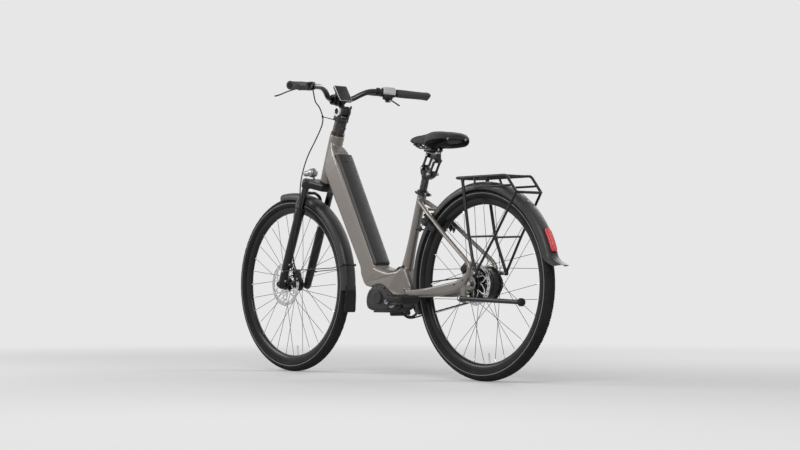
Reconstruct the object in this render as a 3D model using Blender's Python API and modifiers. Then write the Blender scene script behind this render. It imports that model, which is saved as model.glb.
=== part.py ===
"""Step-through electric bicycle with a mid motor, in metres, +X forward, +Y to the rider's left, +Z up."""
from math import acos, atan2, cos, hypot, pi, radians, sin

import bmesh
import bpy
from mathutils import Matrix, Vector

# Wheels and tyres
WHEELBASE = 1.153
RIM_RADIUS = 0.317
TYRE_HEIGHT = 0.041
TYRE_RADIUS = RIM_RADIUS + TYRE_HEIGHT
TYRE_WIDTH = 0.047
RIM_WIDTH = 0.027
RIM_DEPTH = 0.024
SPOKES = 32
SPOKE_RADIUS = 0.0010
FRONT_HUB_RADIUS = 0.017
FRONT_FLANGE_RADIUS = 0.027
REAR_HUB_RADIUS = 0.060
REAR_FLANGE_RADIUS = 0.066
FRONT_FLANGE_SPAN = 0.056
REAR_FLANGE_SPAN = 0.052
AXLE_RADIUS = 0.0055
FRONT_ROTOR_RADIUS = 0.090
REAR_ROTOR_RADIUS = 0.080
ROTOR_THICKNESS = 0.0018
ROTOR_BAND = 0.014
ROTOR_PLANE = 0.0445
CALIPER_LENGTH = 0.050
FRONT_CALIPER = (156.0, 0.088)
REAR_CALIPER = (52.0, 0.078)

# Mudguards
GUARD_CLEARANCE = 0.019
GUARD_RADIUS = TYRE_RADIUS + GUARD_CLEARANCE
GUARD_WIDTH = 0.062
GUARD_DEPTH = 0.030
GUARD_WALL = 0.0022
REAR_GUARD_START = -18.0
REAR_GUARD_END = 171.0
REAR_GUARD_LIP = 0.045
REAR_GUARD_LIP_ARC = 6.5
FRONT_GUARD_START = 80.0
FRONT_GUARD_END = 184.0

# Fork and steering
HEAD_ANGLE = 68.0
FORK_OFFSET = 0.041
HEAD_TUBE_LOW = 0.470
HEAD_TUBE_HIGH = 0.665
HEAD_CUP_LOW = 0.4604
HEAD_TUBE_RADIUS = 0.0300
HEAD_LOW_RADIUS = 0.0240
HEAD_BORE = 0.0195
STEERER_RADIUS = 0.0143
CROWN_HEIGHT = 0.032
LEG_SPREAD = 0.066
LEG_FORWARD = 0.036
STANCHION_RADIUS = 0.0140
LOWER_RADIUS = 0.0200
LOWER_TOP = 0.330
STANCHION_FOOT = 0.120
FORK_TRAVEL = 0.045
STEM_RADIUS = 0.0250
STEM_CAP_RADIUS = 0.0280
STEM_PIVOT_S = 0.762
STEM_PIVOT_F = 0.0045
STEM_BOSS_RADIUS = 0.0215

# Handlebar
BAR_RADIUS = 0.0111
BAR_CLAMP = (WHEELBASE - 0.287, 1.100)
BAR_CLAMP_RADIUS = 0.0159
BAR_END = 0.350
LEFT_GRIP_START = 0.0350
RIGHT_GRIP_START = 0.0130
REMOTE_SEAT = 0.0170
SHIFTER_SEAT = -0.0210
LEFT_BRAKE_SEAT = -0.0190
RIGHT_BRAKE_SEAT = -0.0650
LEVER_PIVOT_OUT = 0.0330
LEVER_PIVOT_FORWARD = 0.0345
LEVER_PIVOT_DROP = 0.0060

# Frame
DOWN_TUBE_FOOT = (0.585, 0.431)
DOWN_TUBE_TOP = (WHEELBASE - 0.324, 0.878)
DOWN_TUBE_HALF = 0.045
DOWN_TUBE_WALL = 0.0045
DOWN_TUBE_DEPTH_LOW = 0.080
DOWN_TUBE_DEPTH_HIGH = 0.095
SEAT_TUBE_TOP = (0.343, 0.714)
SEAT_TUBE_FOOT = (0.432, 0.425)
SEAT_TUBE_RADIUS = 0.0175
POST_RADIUS = 0.0150
CRANK_CENTRE = (0.475, 0.290)
STAY_SPREAD = 0.066
STAY_RADIUS = 0.0085

# Drive
CRANK_LENGTH = 0.170
CRANK_RISE = 4.0
CRANK_FACE = 0.0715
CRANK_AXLE_RADIUS = 0.0105
PEDAL_LENGTH = 0.092
PEDAL_WIDTH = 0.094
PEDAL_THICKNESS = 0.026
RIGHT_PEDAL_HANG = 76.0
BELT_PITCH = 0.011
RING_TEETH = 36
SPROCKET_TEETH = 22
BELT_PLANE = -0.0515
BELT_WIDTH = 0.010
BELT_THICKNESS = 0.0040

# Saddle and seatpost
SADDLE_TOP = 0.930
SADDLE_NOSE = 0.414
SADDLE_TAIL = 0.146
LOWER_PIVOT_FRONT = (0.330, 0.800)
LOWER_PIVOT_REAR = (0.288, 0.775)
LINK_REACH = (-0.028, 0.050)

# Rack
DECK_HEIGHT = 0.750
DECK_HALF = 0.062
DECK_FRONT = 0.104
DECK_REAR = -0.183
RACK_TAIL = (-0.236, 0.687)
RACK_TUBE = 0.0052
RACK_FOOT = (-0.036, 0.398)

# Kickstand
STAND_PIVOT = (0.036, 0.305)
STAND_LENGTH = 0.322
STAND_SIDE = 0.0855
STAND_SPLAY = 0.28
STAND_INNER = 0.0100
CLAMP_CAM = 0.0235

WHEEL_STEPS = 32
GAP = 0.0004
MERGE = 0.00002

CENTRE_X = (WHEELBASE + TYRE_RADIUS - 0.417) / 2

PARTS = bpy.data.collections.new("electric_bicycle")
CUTTERS = bpy.data.collections.new("cutters")


def start_scene():
    for old in list(bpy.data.objects):
        bpy.data.objects.remove(old, do_unlink=True)
    bpy.context.scene.collection.children.link(PARTS)
    bpy.context.scene.collection.children.link(CUTTERS)
    CUTTERS.hide_render = True
    root = bpy.data.objects.new("bicycle_origin", None)
    root.location = (-CENTRE_X, 0.0, 0.0)
    PARTS.objects.link(root)
    return root


ROOT = start_scene()


def finish_of(name, colour, roughness, metallic):
    made = bpy.data.materials.new(name)
    made.use_nodes = True
    shader = made.node_tree.nodes["Principled BSDF"]
    shader.inputs["Base Color"].default_value = (*colour, 1.0)
    shader.inputs["Roughness"].default_value = roughness
    shader.inputs["Metallic"].default_value = metallic
    made.diffuse_color = (*colour, 1.0)
    return made


FRAME_PAINT = finish_of("champagne_paint", (0.50, 0.45, 0.41), 0.35, 0.55)
BLACK_METAL = finish_of("black_anodised", (0.02, 0.02, 0.022), 0.40, 0.80)
STEEL = finish_of("bright_steel", (0.60, 0.60, 0.60), 0.25, 1.0)
BLACK_PLASTIC = finish_of("black_plastic", (0.02, 0.02, 0.02), 0.55, 0.0)
GREY_PLASTIC = finish_of("charcoal_plastic", (0.06, 0.06, 0.065), 0.50, 0.0)
RUBBER = finish_of("rubber", (0.025, 0.025, 0.025), 0.80, 0.0)
RED_LENS = finish_of("red_lens", (0.60, 0.01, 0.01), 0.20, 0.0)


def point(x, y, z):
    return Vector((x, y, z))


def direction(vector):
    return Vector(vector).normalized()


STEER_UP = direction((-cos(radians(HEAD_ANGLE)), 0.0, sin(radians(HEAD_ANGLE))))
STEER_FORWARD = direction((sin(radians(HEAD_ANGLE)), 0.0, cos(radians(HEAD_ANGLE))))
FRONT_AXLE = point(WHEELBASE, 0.0, TYRE_RADIUS)
REAR_AXLE = point(0.0, 0.0, TYRE_RADIUS)
STEER_FOOT = FRONT_AXLE - FORK_OFFSET * STEER_FORWARD
SIDE = point(0.0, 1.0, 0.0)
STAND_AXIS = direction((0.0, 1.0, STAND_SPLAY))


def on_fork(up, forward, side=0.0):
    """A point measured along the steering axis, ahead of it and to its left."""
    return STEER_FOOT + up * STEER_UP + forward * STEER_FORWARD + side * SIDE


def temporary(name, mesh):
    made = bpy.data.objects.new(name, mesh)
    CUTTERS.objects.link(made)
    made.display_type = "WIRE"
    made.hide_render = True
    return made


def clear(radius, sides):
    """Corner radius of a faceted bore whose flats clear a round of this radius."""
    return (radius + GAP) / cos(pi / sides)


def evaluated_mesh(shape):
    bpy.context.view_layer.update()
    graph = bpy.context.evaluated_depsgraph_get()
    return bpy.data.meshes.new_from_object(shape.evaluated_get(graph))


def settle(shape):
    """Applies the modifiers and turns a curve into a mesh with welded caps."""
    mesh = evaluated_mesh(shape)
    matrix = shape.matrix_world.copy()
    bm = bmesh.new()
    bm.from_mesh(mesh)
    bmesh.ops.transform(bm, matrix=matrix, verts=bm.verts)
    bmesh.ops.remove_doubles(bm, verts=bm.verts, dist=MERGE)
    bmesh.ops.dissolve_degenerate(bm, dist=MERGE / 2, edges=bm.edges)
    bmesh.ops.recalc_face_normals(bm, faces=bm.faces)
    bm.to_mesh(mesh)
    bm.free()
    bpy.data.objects.remove(shape, do_unlink=True)
    return temporary("shape", mesh)


def frame_matrix(origin, z_axis, x_hint=(1.0, 0.0, 0.0)):
    z = direction(z_axis)
    x = Vector(x_hint) - Vector(x_hint).dot(z) * z
    if x.length < 0.01:
        x = Vector((0.0, 1.0, 0.0)) - Vector((0.0, 1.0, 0.0)).dot(z) * z
    x.normalize()
    y = z.cross(x)
    matrix = Matrix((x, y, z)).transposed().to_4x4()
    matrix.translation = Vector(origin)
    return matrix


def rod(start, end, radius, end_radius=None, sides=8):
    start, end = Vector(start), Vector(end)
    bm = bmesh.new()
    bmesh.ops.create_cone(bm, cap_ends=True, segments=sides, radius1=radius,
                          radius2=radius if end_radius is None else end_radius,
                          depth=(end - start).length)
    bmesh.ops.transform(bm, matrix=frame_matrix((start + end) / 2, end - start), verts=bm.verts)
    mesh = bpy.data.meshes.new("rod")
    bm.to_mesh(mesh)
    bm.free()
    return temporary("rod", mesh)


def pin(centre, radius, low, high, sides=8):
    """A cylinder across the bicycle, from one side position to another."""
    return rod((centre[0], low, centre[1]), (centre[0], high, centre[1]), radius, sides=sides)


def block(centre, size, along=(1.0, 0.0, 0.0), up=(0.0, 0.0, 1.0), edge=0.0, steps=2):
    bm = bmesh.new()
    bmesh.ops.create_cube(bm, size=1.0)
    bmesh.ops.scale(bm, vec=size, verts=bm.verts)
    if edge:
        bmesh.ops.bevel(bm, geom=list(bm.edges), offset=edge, segments=steps, affect="EDGES", profile=0.5)
    bmesh.ops.transform(bm, matrix=frame_matrix(centre, up, along), verts=bm.verts)
    mesh = bpy.data.meshes.new("block")
    bm.to_mesh(mesh)
    bm.free()
    return temporary("block", mesh)


def wire(points, radius, closed=False, resolution=1):
    """A round tube along points."""
    data = bpy.data.curves.new("wire", "CURVE")
    data.dimensions = "3D"
    data.bevel_depth = radius
    data.bevel_resolution = resolution
    data.use_fill_caps = not closed
    data.twist_mode = "MINIMUM"
    spline = data.splines.new("POLY")
    spline.points.add(len(points) - 1)
    for index, place in enumerate(points):
        spline.points[index].co = (*place, 1.0)
    spline.use_cyclic_u = closed
    made = bpy.data.objects.new("wire", data)
    CUTTERS.objects.link(made)
    return settle(made)


def stretch(shape, middle, axis, factor):
    axis = direction(axis)
    for vertex in shape.data.vertices:
        reach = (vertex.co - Vector(middle)).dot(axis)
        vertex.co += axis * reach * (factor - 1.0)


def rounded_path(corners, bend, steps=2):
    """Replaces each inner corner of a route by a short curve that starts and ends at the bend length."""
    corners = [Vector(c) for c in corners]
    path = [corners[0]]
    for before, corner, after in zip(corners, corners[1:], corners[2:]):
        entry = corner + (before - corner).normalized() * min(bend, (before - corner).length * 0.48)
        leave = corner + (after - corner).normalized() * min(bend, (after - corner).length * 0.48)
        for step in range(steps + 1):
            t = step / steps
            path.append(entry * (1 - t) ** 2 + corner * 2 * t * (1 - t) + leave * t ** 2)
    path.append(corners[-1])
    return path


def plate(outline, half, origin=(0.0, 0.0, 0.0), normal=(0.0, -1.0, 0.0), along=(1.0, 0.0, 0.0), edge=0.0):
    """A flat outline given as x, z pairs and drawn to a thickness across the bicycle."""
    data = bpy.data.curves.new("plate", "CURVE")
    data.dimensions = "2D"
    data.fill_mode = "BOTH"
    data.extrude = half
    spline = data.splines.new("POLY")
    spline.points.add(len(outline) - 1)
    for index, (x, y) in enumerate(outline):
        spline.points[index].co = (x, y, 0.0, 1.0)
    spline.use_cyclic_u = True
    made = bpy.data.objects.new("plate", data)
    CUTTERS.objects.link(made)
    made.matrix_world = frame_matrix(origin, normal, along)
    made = settle(made)
    if edge:
        soften(made, edge)
    return made


def soften(shape, width, segments=1, angle=35.0):
    bevel = shape.modifiers.new("edges", "BEVEL")
    bevel.width = width
    bevel.segments = segments
    bevel.limit_method = "ANGLE"
    bevel.angle_limit = radians(angle)
    shape.data = evaluated_mesh(shape)
    shape.modifiers.clear()


def turned(profile, origin, axis, steps=20):
    """Turns an outline of radius and height pairs, listed from top to bottom, about an axis."""
    mesh = bpy.data.meshes.new("turned")
    bm = bmesh.new()
    corners = [bm.verts.new((radius, 0.0, height)) for radius, height in profile]
    for first, second in zip(corners, corners[1:]):
        bm.edges.new((first, second))
    bm.to_mesh(mesh)
    bm.free()
    made = temporary("turned", mesh)
    screw = made.modifiers.new("turn", "SCREW")
    screw.steps = steps
    screw.render_steps = steps
    screw.use_merge_vertices = True
    screw.merge_threshold = MERGE
    made.matrix_world = frame_matrix(origin, axis)
    return settle(made)


def ring(profile, origin, axis, steps=20):
    """A turned ring whose outline closes on itself."""
    return turned(profile + [profile[0]], origin, axis, steps)


def loft(sections):
    """Joins closed rings of as many points by walls, with flat ends."""
    bm = bmesh.new()
    rows = [[bm.verts.new(place) for place in section] for section in sections]
    count = len(rows[0])
    for first, second in zip(rows, rows[1:]):
        for index in range(count):
            after = (index + 1) % count
            bm.faces.new((first[index], first[after], second[after], second[index]))
    bm.faces.new(list(reversed(rows[0])))
    bm.faces.new(rows[-1])
    bmesh.ops.recalc_face_normals(bm, faces=bm.faces)
    mesh = bpy.data.meshes.new("loft")
    bm.to_mesh(mesh)
    bm.free()
    return temporary("loft", mesh)


def rounded_section(centre, across, upward, half_width, half_height, corner, steps=2):
    """A rounded rectangle in the plane of two directions."""
    across, upward = direction(across), direction(upward)
    places = []
    for sign_x, sign_y, begin in ((1, 1, 0), (-1, 1, 90), (-1, -1, 180), (1, -1, 270)):
        for step in range(steps + 1):
            angle = radians(begin + 90 * step / steps)
            x = sign_x * (half_width - corner) + corner * cos(angle)
            y = sign_y * (half_height - corner) + corner * sin(angle)
            places.append(Vector(centre) + across * x + upward * y)
    return places


def combine(shape, other, operation):
    join = shape.modifiers.new("join", "BOOLEAN")
    join.operation = operation
    join.solver = "EXACT"
    join.object = other
    mesh = evaluated_mesh(shape)
    shape.modifiers.clear()
    bm = bmesh.new()
    bm.from_mesh(mesh)
    bmesh.ops.remove_doubles(bm, verts=bm.verts, dist=MERGE)
    bmesh.ops.dissolve_degenerate(bm, dist=MERGE / 2, edges=bm.edges)
    bm.to_mesh(mesh)
    bm.free()
    shape.data = mesh
    bpy.data.objects.remove(other, do_unlink=True)
    return shape


def union(shape, *others):
    for other in others:
        combine(shape, other, "UNION")
    return shape


def cut(shape, *others):
    for other in others:
        combine(shape, other, "DIFFERENCE")
    return shape


def joined(shapes):
    """Puts shapes that don't touch into one mesh, for a later union with what carries them."""
    bm = bmesh.new()
    for shape in shapes:
        bm.from_mesh(shape.data)
    mesh = bpy.data.meshes.new("joined")
    bm.to_mesh(mesh)
    bm.free()
    for shape in shapes:
        bpy.data.objects.remove(shape, do_unlink=True)
    return temporary("joined", mesh)


def mirrored(shape):
    """Moves a shape to the other side of the middle plane."""
    bm = bmesh.new()
    bm.from_mesh(shape.data)
    bmesh.ops.scale(bm, vec=(1.0, -1.0, 1.0), verts=bm.verts)
    bmesh.ops.reverse_faces(bm, faces=bm.faces)
    bm.to_mesh(shape.data)
    bm.free()
    return shape


def part(name, shape, finish, pivot=(0.0, 0.0, 0.0), smooth=40.0):
    """Names a finished shape and sets its origin on the pivot."""
    mesh = shape.data
    mesh.name = name
    bm = bmesh.new()
    bm.from_mesh(mesh)
    bmesh.ops.dissolve_limit(bm, angle_limit=radians(0.6), verts=bm.verts, edges=bm.edges)
    bm.to_mesh(mesh)
    bm.free()
    mesh.transform(Matrix.Translation(-Vector(pivot)))
    mesh.materials.clear()
    mesh.materials.append(finish)
    mesh.shade_smooth()
    mesh.set_sharp_from_angle(angle=radians(smooth))
    CUTTERS.objects.unlink(shape)
    PARTS.objects.link(shape)
    shape.name = name
    shape.display_type = "TEXTURED"
    shape.hide_render = False
    shape.parent = ROOT
    shape.location = Vector(pivot)
    return shape


def arc_point(centre, radius, degrees_up, side=0.0):
    """A point on a circle about an axle; zero degrees is forward and ninety is up."""
    angle = radians(degrees_up)
    return point(centre[0] + radius * cos(angle), side, centre[2] + radius * sin(angle))


# Wheels

def tyre_profile():
    """Section of the tyre as radius and side pairs, crowned at the tread."""
    half = TYRE_WIDTH / 2
    seat = RIM_RADIUS + GAP
    middle = TYRE_RADIUS - half
    outer = []
    for step in range(5):
        angle = radians(-120 + 60 * step)
        outer.append((middle + half * cos(angle), half * sin(angle)))
    outer.reverse()
    foot = RIM_WIDTH / 2 - 0.001
    return [(seat, foot)] + outer + [(seat, -foot)]


def make_tyre(name, axle):
    return part(name, ring(tyre_profile(), axle, SIDE, WHEEL_STEPS), RUBBER, axle)


def make_rim(name, axle):
    half = RIM_WIDTH / 2
    inner = RIM_RADIUS - RIM_DEPTH
    profile = [(RIM_RADIUS, half), (RIM_RADIUS, -half), (RIM_RADIUS - 0.010, -half), (inner, -0.004),
               (inner, 0.004), (RIM_RADIUS - 0.010, half)]
    return part(name, ring(profile, axle, SIDE, WHEEL_STEPS), BLACK_METAL, axle)


def spoke_set(axle, flange_radius, flange_span, rim_reach):
    """Crossed spokes; each leaves one face of its flange, so that crossing spokes pass clear."""
    shapes = []
    for index in range(SPOKES):
        side = 1 if index % 2 == 0 else -1
        pair = index // 2
        lean = 1 if pair % 2 == 0 else -1
        rim_angle = 360.0 * index / SPOKES
        hub_angle = rim_angle + lean * 62.0
        face = side * (flange_span / 2 + lean * 0.0026)
        start = arc_point(axle, flange_radius - 0.0065, hub_angle, face)
        end = arc_point(axle, rim_reach, rim_angle, side * 0.002)
        shapes.append(rod(start, end, SPOKE_RADIUS, sides=3))
    return joined(shapes)


def flanged_hub(axle, body_radius, flange_radius, flange_span, ends, steps=16):
    """Hub shell with two flanges and a bore for its axle; ends are its side limits."""
    right, left = ends
    half = flange_span / 2
    thick = 0.0042
    bore = clear(AXLE_RADIUS, steps)
    profile = [(body_radius * 0.62, left), (flange_radius, half + thick), (flange_radius, half - thick),
               (body_radius, half - thick), (body_radius, -half + thick), (flange_radius, -half + thick),
               (flange_radius, -half - thick), (body_radius * 0.62, right), (bore, right), (bore, left)]
    return ring(profile, axle, SIDE, steps)


def make_hub(name, axle, body_radius, flange_radius, flange_span, ends):
    hub = flanged_hub(axle, body_radius, flange_radius, flange_span, ends)
    spokes = spoke_set(axle, flange_radius, flange_span,
                       (RIM_RADIUS - RIM_DEPTH) * cos(pi / WHEEL_STEPS) - 0.0012)
    return part(name, union(hub, spokes), BLACK_METAL, axle)


def make_rotor(name, axle, radius, bore, plane):
    """Disc brake rotor: a braking band on slanted arms round a carrier."""
    half = ROTOR_THICKNESS / 2
    inner = radius - ROTOR_BAND
    band = ring([(radius, half), (radius, -half), (inner, -half), (inner, half)],
                axle + plane * SIDE, SIDE, 20)
    carrier = ring([(bore + 0.009, half), (bore + 0.009, -half), (bore, -half), (bore, half)],
                   axle + plane * SIDE, SIDE, 10)
    arms = []
    for index in range(5):
        turn = 72.0 * index
        start = arc_point(axle, bore + 0.004, turn, plane)
        end = arc_point(axle, inner + 0.004, turn + 34.0, plane)
        arms.append(block((start + end) / 2, ((end - start).length, 0.0052, ROTOR_THICKNESS * 0.94),
                          end - start, SIDE))
    shape = union(band, joined(arms))
    return part(name, union(shape, carrier), STEEL, axle)


def guard_section(radius):
    """Section of a mudguard: crowned middle, turned-down sides and inner face."""
    half = GUARD_WIDTH / 2
    outer = [(-half, -GUARD_DEPTH), (-half * 0.90, -GUARD_DEPTH * 0.28), (-half * 0.40, 0.0)]
    outer += [(-side, drop) for side, drop in reversed(outer)]
    inner = [(side * (1 - 2 * GUARD_WALL / GUARD_WIDTH), drop - GUARD_WALL)
             for side, drop in reversed(outer)]
    inner[0] = (half - GUARD_WALL, -GUARD_DEPTH)
    inner[-1] = (-half + GUARD_WALL, -GUARD_DEPTH)
    return [(side, radius + drop) for side, drop in outer + inner]


def guard_shape(axle, begin, end, steps, flare_at=None):
    sections = []
    for step in range(steps + 1):
        angle = begin + (end - begin) * step / steps
        lift = 0.0
        if flare_at is not None and abs(angle - flare_at) < REAR_GUARD_LIP_ARC:
            lift = REAR_GUARD_LIP * (1 - abs(angle - flare_at) / REAR_GUARD_LIP_ARC) ** 1.6
        sections.append([arc_point(axle, reach + lift, angle, side)
                         for side, reach in guard_section(GUARD_RADIUS)])
    return loft(sections)


# Frame

DOWN_ALONG = direction((DOWN_TUBE_TOP[0] - DOWN_TUBE_FOOT[0], 0.0, DOWN_TUBE_TOP[1] - DOWN_TUBE_FOOT[1]))
DOWN_OUT = point(-DOWN_ALONG.z, 0.0, DOWN_ALONG.x)
COVER_LENGTH = hypot(DOWN_TUBE_TOP[0] - DOWN_TUBE_FOOT[0], DOWN_TUBE_TOP[1] - DOWN_TUBE_FOOT[1])


def on_down_tube(along, out, side=0.0):
    """A point measured along the battery opening from its foot, out of it and to its left."""
    foot = point(DOWN_TUBE_FOOT[0], 0.0, DOWN_TUBE_FOOT[1])
    return foot + along * DOWN_ALONG + out * DOWN_OUT + side * SIDE


def section_between(top, bottom, half_width, corner):
    top, bottom = Vector(top), Vector(bottom)
    return rounded_section((top + bottom) / 2, SIDE, top - bottom, half_width,
                           (top - bottom).length / 2, corner)


def make_head_tube():
    profile = head_outline(0.0) + [(HEAD_BORE, HEAD_CUP_LOW), (HEAD_BORE, HEAD_TUBE_HIGH - 0.0003)]
    return part("head_tube", ring(profile, STEER_FOOT, STEER_UP, 20), FRAME_PAINT,
                on_fork(HEAD_TUBE_HIGH, 0))


def head_outline(room):
    """The head tube's outside from its top to its lower cup, let out by a clearance."""
    return [(HEAD_TUBE_RADIUS + room, HEAD_TUBE_HIGH - 0.0003),
            (HEAD_TUBE_RADIUS + room, HEAD_TUBE_HIGH - 0.014),
            (HEAD_LOW_RADIUS + 0.0020 + room, HEAD_TUBE_LOW + 0.045),
            (HEAD_LOW_RADIUS + room, HEAD_TUBE_LOW + 0.012),
            (HEAD_LOW_RADIUS + room, HEAD_CUP_LOW)]


def make_down_tube():
    rows = []
    for along in (-0.030, 0.0, 0.18, 0.41):
        share = max(along, 0.0) / 0.41
        depth = DOWN_TUBE_DEPTH_LOW + (DOWN_TUBE_DEPTH_HIGH - DOWN_TUBE_DEPTH_LOW) * share
        rows.append(section_between(on_down_tube(along, 0.0), on_down_tube(along, -depth),
                                    DOWN_TUBE_HALF, 0.014))
    rows.append(section_between(on_down_tube(0.470, 0.0), on_down_tube(0.452, -0.0965), DOWN_TUBE_HALF,
                                0.014))
    rows.append(section_between(on_down_tube(COVER_LENGTH + 0.008, 0.0), on_down_tube(0.4905, -0.0985),
                                0.0435, 0.016))
    rows.append(section_between(on_fork(0.640, -0.020), on_fork(0.528, -0.014), 0.033, 0.016))
    rows.append(section_between(on_fork(0.652, -0.004), on_fork(0.540, -0.002), 0.028, 0.012))
    shape = loft(rows)
    outline = head_outline(GAP)
    head_room = turned([(0.0, HEAD_TUBE_HIGH + 0.05), (outline[0][0], HEAD_TUBE_HIGH + 0.05)] + outline[1:4]
                       + [(outline[4][0], HEAD_TUBE_LOW - 0.06), (0.0, HEAD_TUBE_LOW - 0.06)],
                       STEER_FOOT, STEER_UP, 20)
    bay = block(on_down_tube(COVER_LENGTH / 2, -0.010),
                (COVER_LENGTH - 0.004, 2 * (DOWN_TUBE_HALF - DOWN_TUBE_WALL), 0.126), DOWN_ALONG, DOWN_OUT)
    return part("down_tube", cut(shape, bay, head_room), FRAME_PAINT, on_down_tube(0.0, 0.0))


def make_battery():
    """Battery with its cover and lock barrel, lying in the down tube's bay."""
    half = DOWN_TUBE_HALF - DOWN_TUBE_WALL - GAP
    length = COVER_LENGTH - 0.006
    rows = []
    for along, scale in ((0.0, 0.90), (0.006, 1.0), (length - 0.006, 1.0), (length, 0.90)):
        outline = [(-1.0, -0.006), (-1.0, 0.002), (-0.82, 0.0085), (-0.45, 0.0115), (0.0, 0.0125)]
        outline += [(-x, z) for x, z in reversed(outline[:-1])]
        outline += [(0.9, -0.006), (-0.9, -0.006)]
        rows.append([on_down_tube(along + 0.003, z if z < 0 else z * scale, x * half) for x, z in outline])
    shape = loft(rows)
    core = block(on_down_tube(COVER_LENGTH / 2, -0.0330), (COVER_LENGTH - 0.02, 2 * half - 0.0030, 0.060),
                 DOWN_ALONG, DOWN_OUT, 0.006, 1)
    barrel = rod(on_down_tube(COVER_LENGTH - 0.034, 0.0), on_down_tube(COVER_LENGTH - 0.034, 0.0145),
                 0.0082, sides=14)
    return part("battery", union(shape, core, barrel), GREY_PLASTIC, on_down_tube(0.0, 0.0))


SHELL_OUTLINE = [(0.665, 0.412), (0.634, 0.352), (0.604, 0.345), (0.588, 0.352), (0.566, 0.357),
                 (0.545, 0.358), (0.524, 0.352), (0.500, 0.336), (0.470, 0.316), (0.418, 0.310),
                 (0.396, 0.318), (0.394, 0.350), (0.402, 0.372), (0.414, 0.398), (0.452, 0.405),
                 (0.500, 0.400), (0.556, 0.412), (0.599, 0.4175), (0.669, 0.4195)]
MOTOR_OUTLINE = [(0.603, 0.3445), (0.622, 0.322), (0.631, 0.295), (0.624, 0.266), (0.588, 0.255),
                 (0.550, 0.250), (0.500, 0.253), (0.452, 0.262), (0.424, 0.280), (0.416, 0.3094),
                 (0.470, 0.3154), (0.500, 0.3354), (0.524, 0.3514), (0.545, 0.3574), (0.566, 0.3564),
                 (0.588, 0.3514)]


def make_motor_bracket():
    """Welded shell that carries the motor and takes the foot of the seat tube and the chain stays."""
    shape = plate(SHELL_OUTLINE, DOWN_TUBE_HALF, edge=0.006)
    foot = point(SEAT_TUBE_FOOT[0], 0.0, SEAT_TUBE_FOOT[1])
    top = point(SEAT_TUBE_TOP[0], 0.0, SEAT_TUBE_TOP[1])
    along = (top - foot).normalized()
    socket = rod(foot - along * 0.030, foot + along * 0.2, clear(SEAT_TUBE_RADIUS, 16), sides=16)
    tube_end = block(on_down_tube(-0.030 + 0.15 - GAP, -0.03), (0.30, 0.12, 0.20), DOWN_ALONG, DOWN_OUT)
    arch = plate(SHELL_OUTLINE[2:10] + [(0.418, 0.20), (0.604, 0.20)], 0.09)
    return part("motor_bracket", cut(shape, socket, tube_end, arch), FRAME_PAINT, (*SHELL_OUTLINE[9], 0.0))


def make_motor_unit():
    shape = plate(MOTOR_OUTLINE, DOWN_TUBE_HALF - 0.001, edge=0.004)
    cap = pin((0.551, 0.306), 0.0235, DOWN_TUBE_HALF - 0.006, 0.0575, 16)
    left_boss = pin(CRANK_CENTRE, 0.021, DOWN_TUBE_HALF - 0.006, 0.0520, 16)
    right_boss = pin(CRANK_CENTRE, 0.020, BELT_PLANE + BELT_WIDTH / 2 + 0.0006, -DOWN_TUBE_HALF + 0.006, 16)
    bore = pin(CRANK_CENTRE, clear(CRANK_AXLE_RADIUS, 16), -0.09, 0.09, 16)
    return part("motor_unit", cut(union(shape, cap, left_boss, right_boss), bore), BLACK_PLASTIC,
                (CRANK_CENTRE[0], 0.0, CRANK_CENTRE[1]))


def seat_tube_frame():
    foot = point(SEAT_TUBE_FOOT[0], 0.0, SEAT_TUBE_FOOT[1])
    top = point(SEAT_TUBE_TOP[0], 0.0, SEAT_TUBE_TOP[1])
    return foot, top, (top - foot).normalized()


def make_seat_tube():
    foot, top, along = seat_tube_frame()
    length = (top - foot).length
    bore = clear(POST_RADIUS, 20)
    profile = [(SEAT_TUBE_RADIUS, length), (SEAT_TUBE_RADIUS, -0.030 + GAP), (bore, -0.030 + GAP),
               (bore, length)]
    return part("seat_tube", ring(profile, foot, along, 20), FRAME_PAINT, top)


def clamp_bolt_place():
    """Where the quick release crosses behind the seat tube, with its backward and upward directions."""
    foot, top, along = seat_tube_frame()
    back = direction(SIDE.cross(along))
    back = back if back.x < 0 else -back
    return top + back * (SEAT_TUBE_RADIUS + 0.0100) - along * 0.008, back, along


def make_seat_clamp():
    """Slotted collar with its two ears and the skewer with its nut."""
    foot, top, along = seat_tube_frame()
    place, back, along = clamp_bolt_place()
    outer = SEAT_TUBE_RADIUS + 0.0045
    inner = clear(SEAT_TUBE_RADIUS, 20)
    collar = ring([(outer, 0.0), (outer, -0.016), (inner, -0.016), (inner, 0.0)], top, along, 20)
    ear = block(top + back * (outer + 0.004) - along * 0.008, (0.014, 0.022, 0.014), back, along, 0.002, 1)
    slot = block(top + back * (outer + 0.006) - along * 0.008, (0.024, 0.0020, 0.030), back, along)
    skewer = turned([(0.0, CLAMP_CAM - 0.0065), (0.0060, CLAMP_CAM - 0.0065), (0.0060, 0.0105),
                     (0.0026, 0.0100), (0.0026, -0.0100), (0.0060, -0.0105), (0.0060, -0.0180),
                     (0.0, -0.0180)], place, SIDE, 10)
    return part("seat_clamp", union(cut(union(collar, ear), slot), skewer), BLACK_METAL, top)


def make_clamp_lever():
    """Cam lever of the quick release, lying forward along the collar's left side."""
    place, back, along = clamp_bolt_place()
    centre = place + SIDE * CLAMP_CAM
    cam = rod(centre - along * 0.0060, centre + along * 0.0060, 0.0060, sides=10)
    blade = block(centre - back * 0.022 + SIDE * 0.0020, (0.044, 0.0040, 0.0085), back, along, 0.0012, 1)
    return part("clamp_lever", union(cam, blade), BLACK_METAL, centre)


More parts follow.
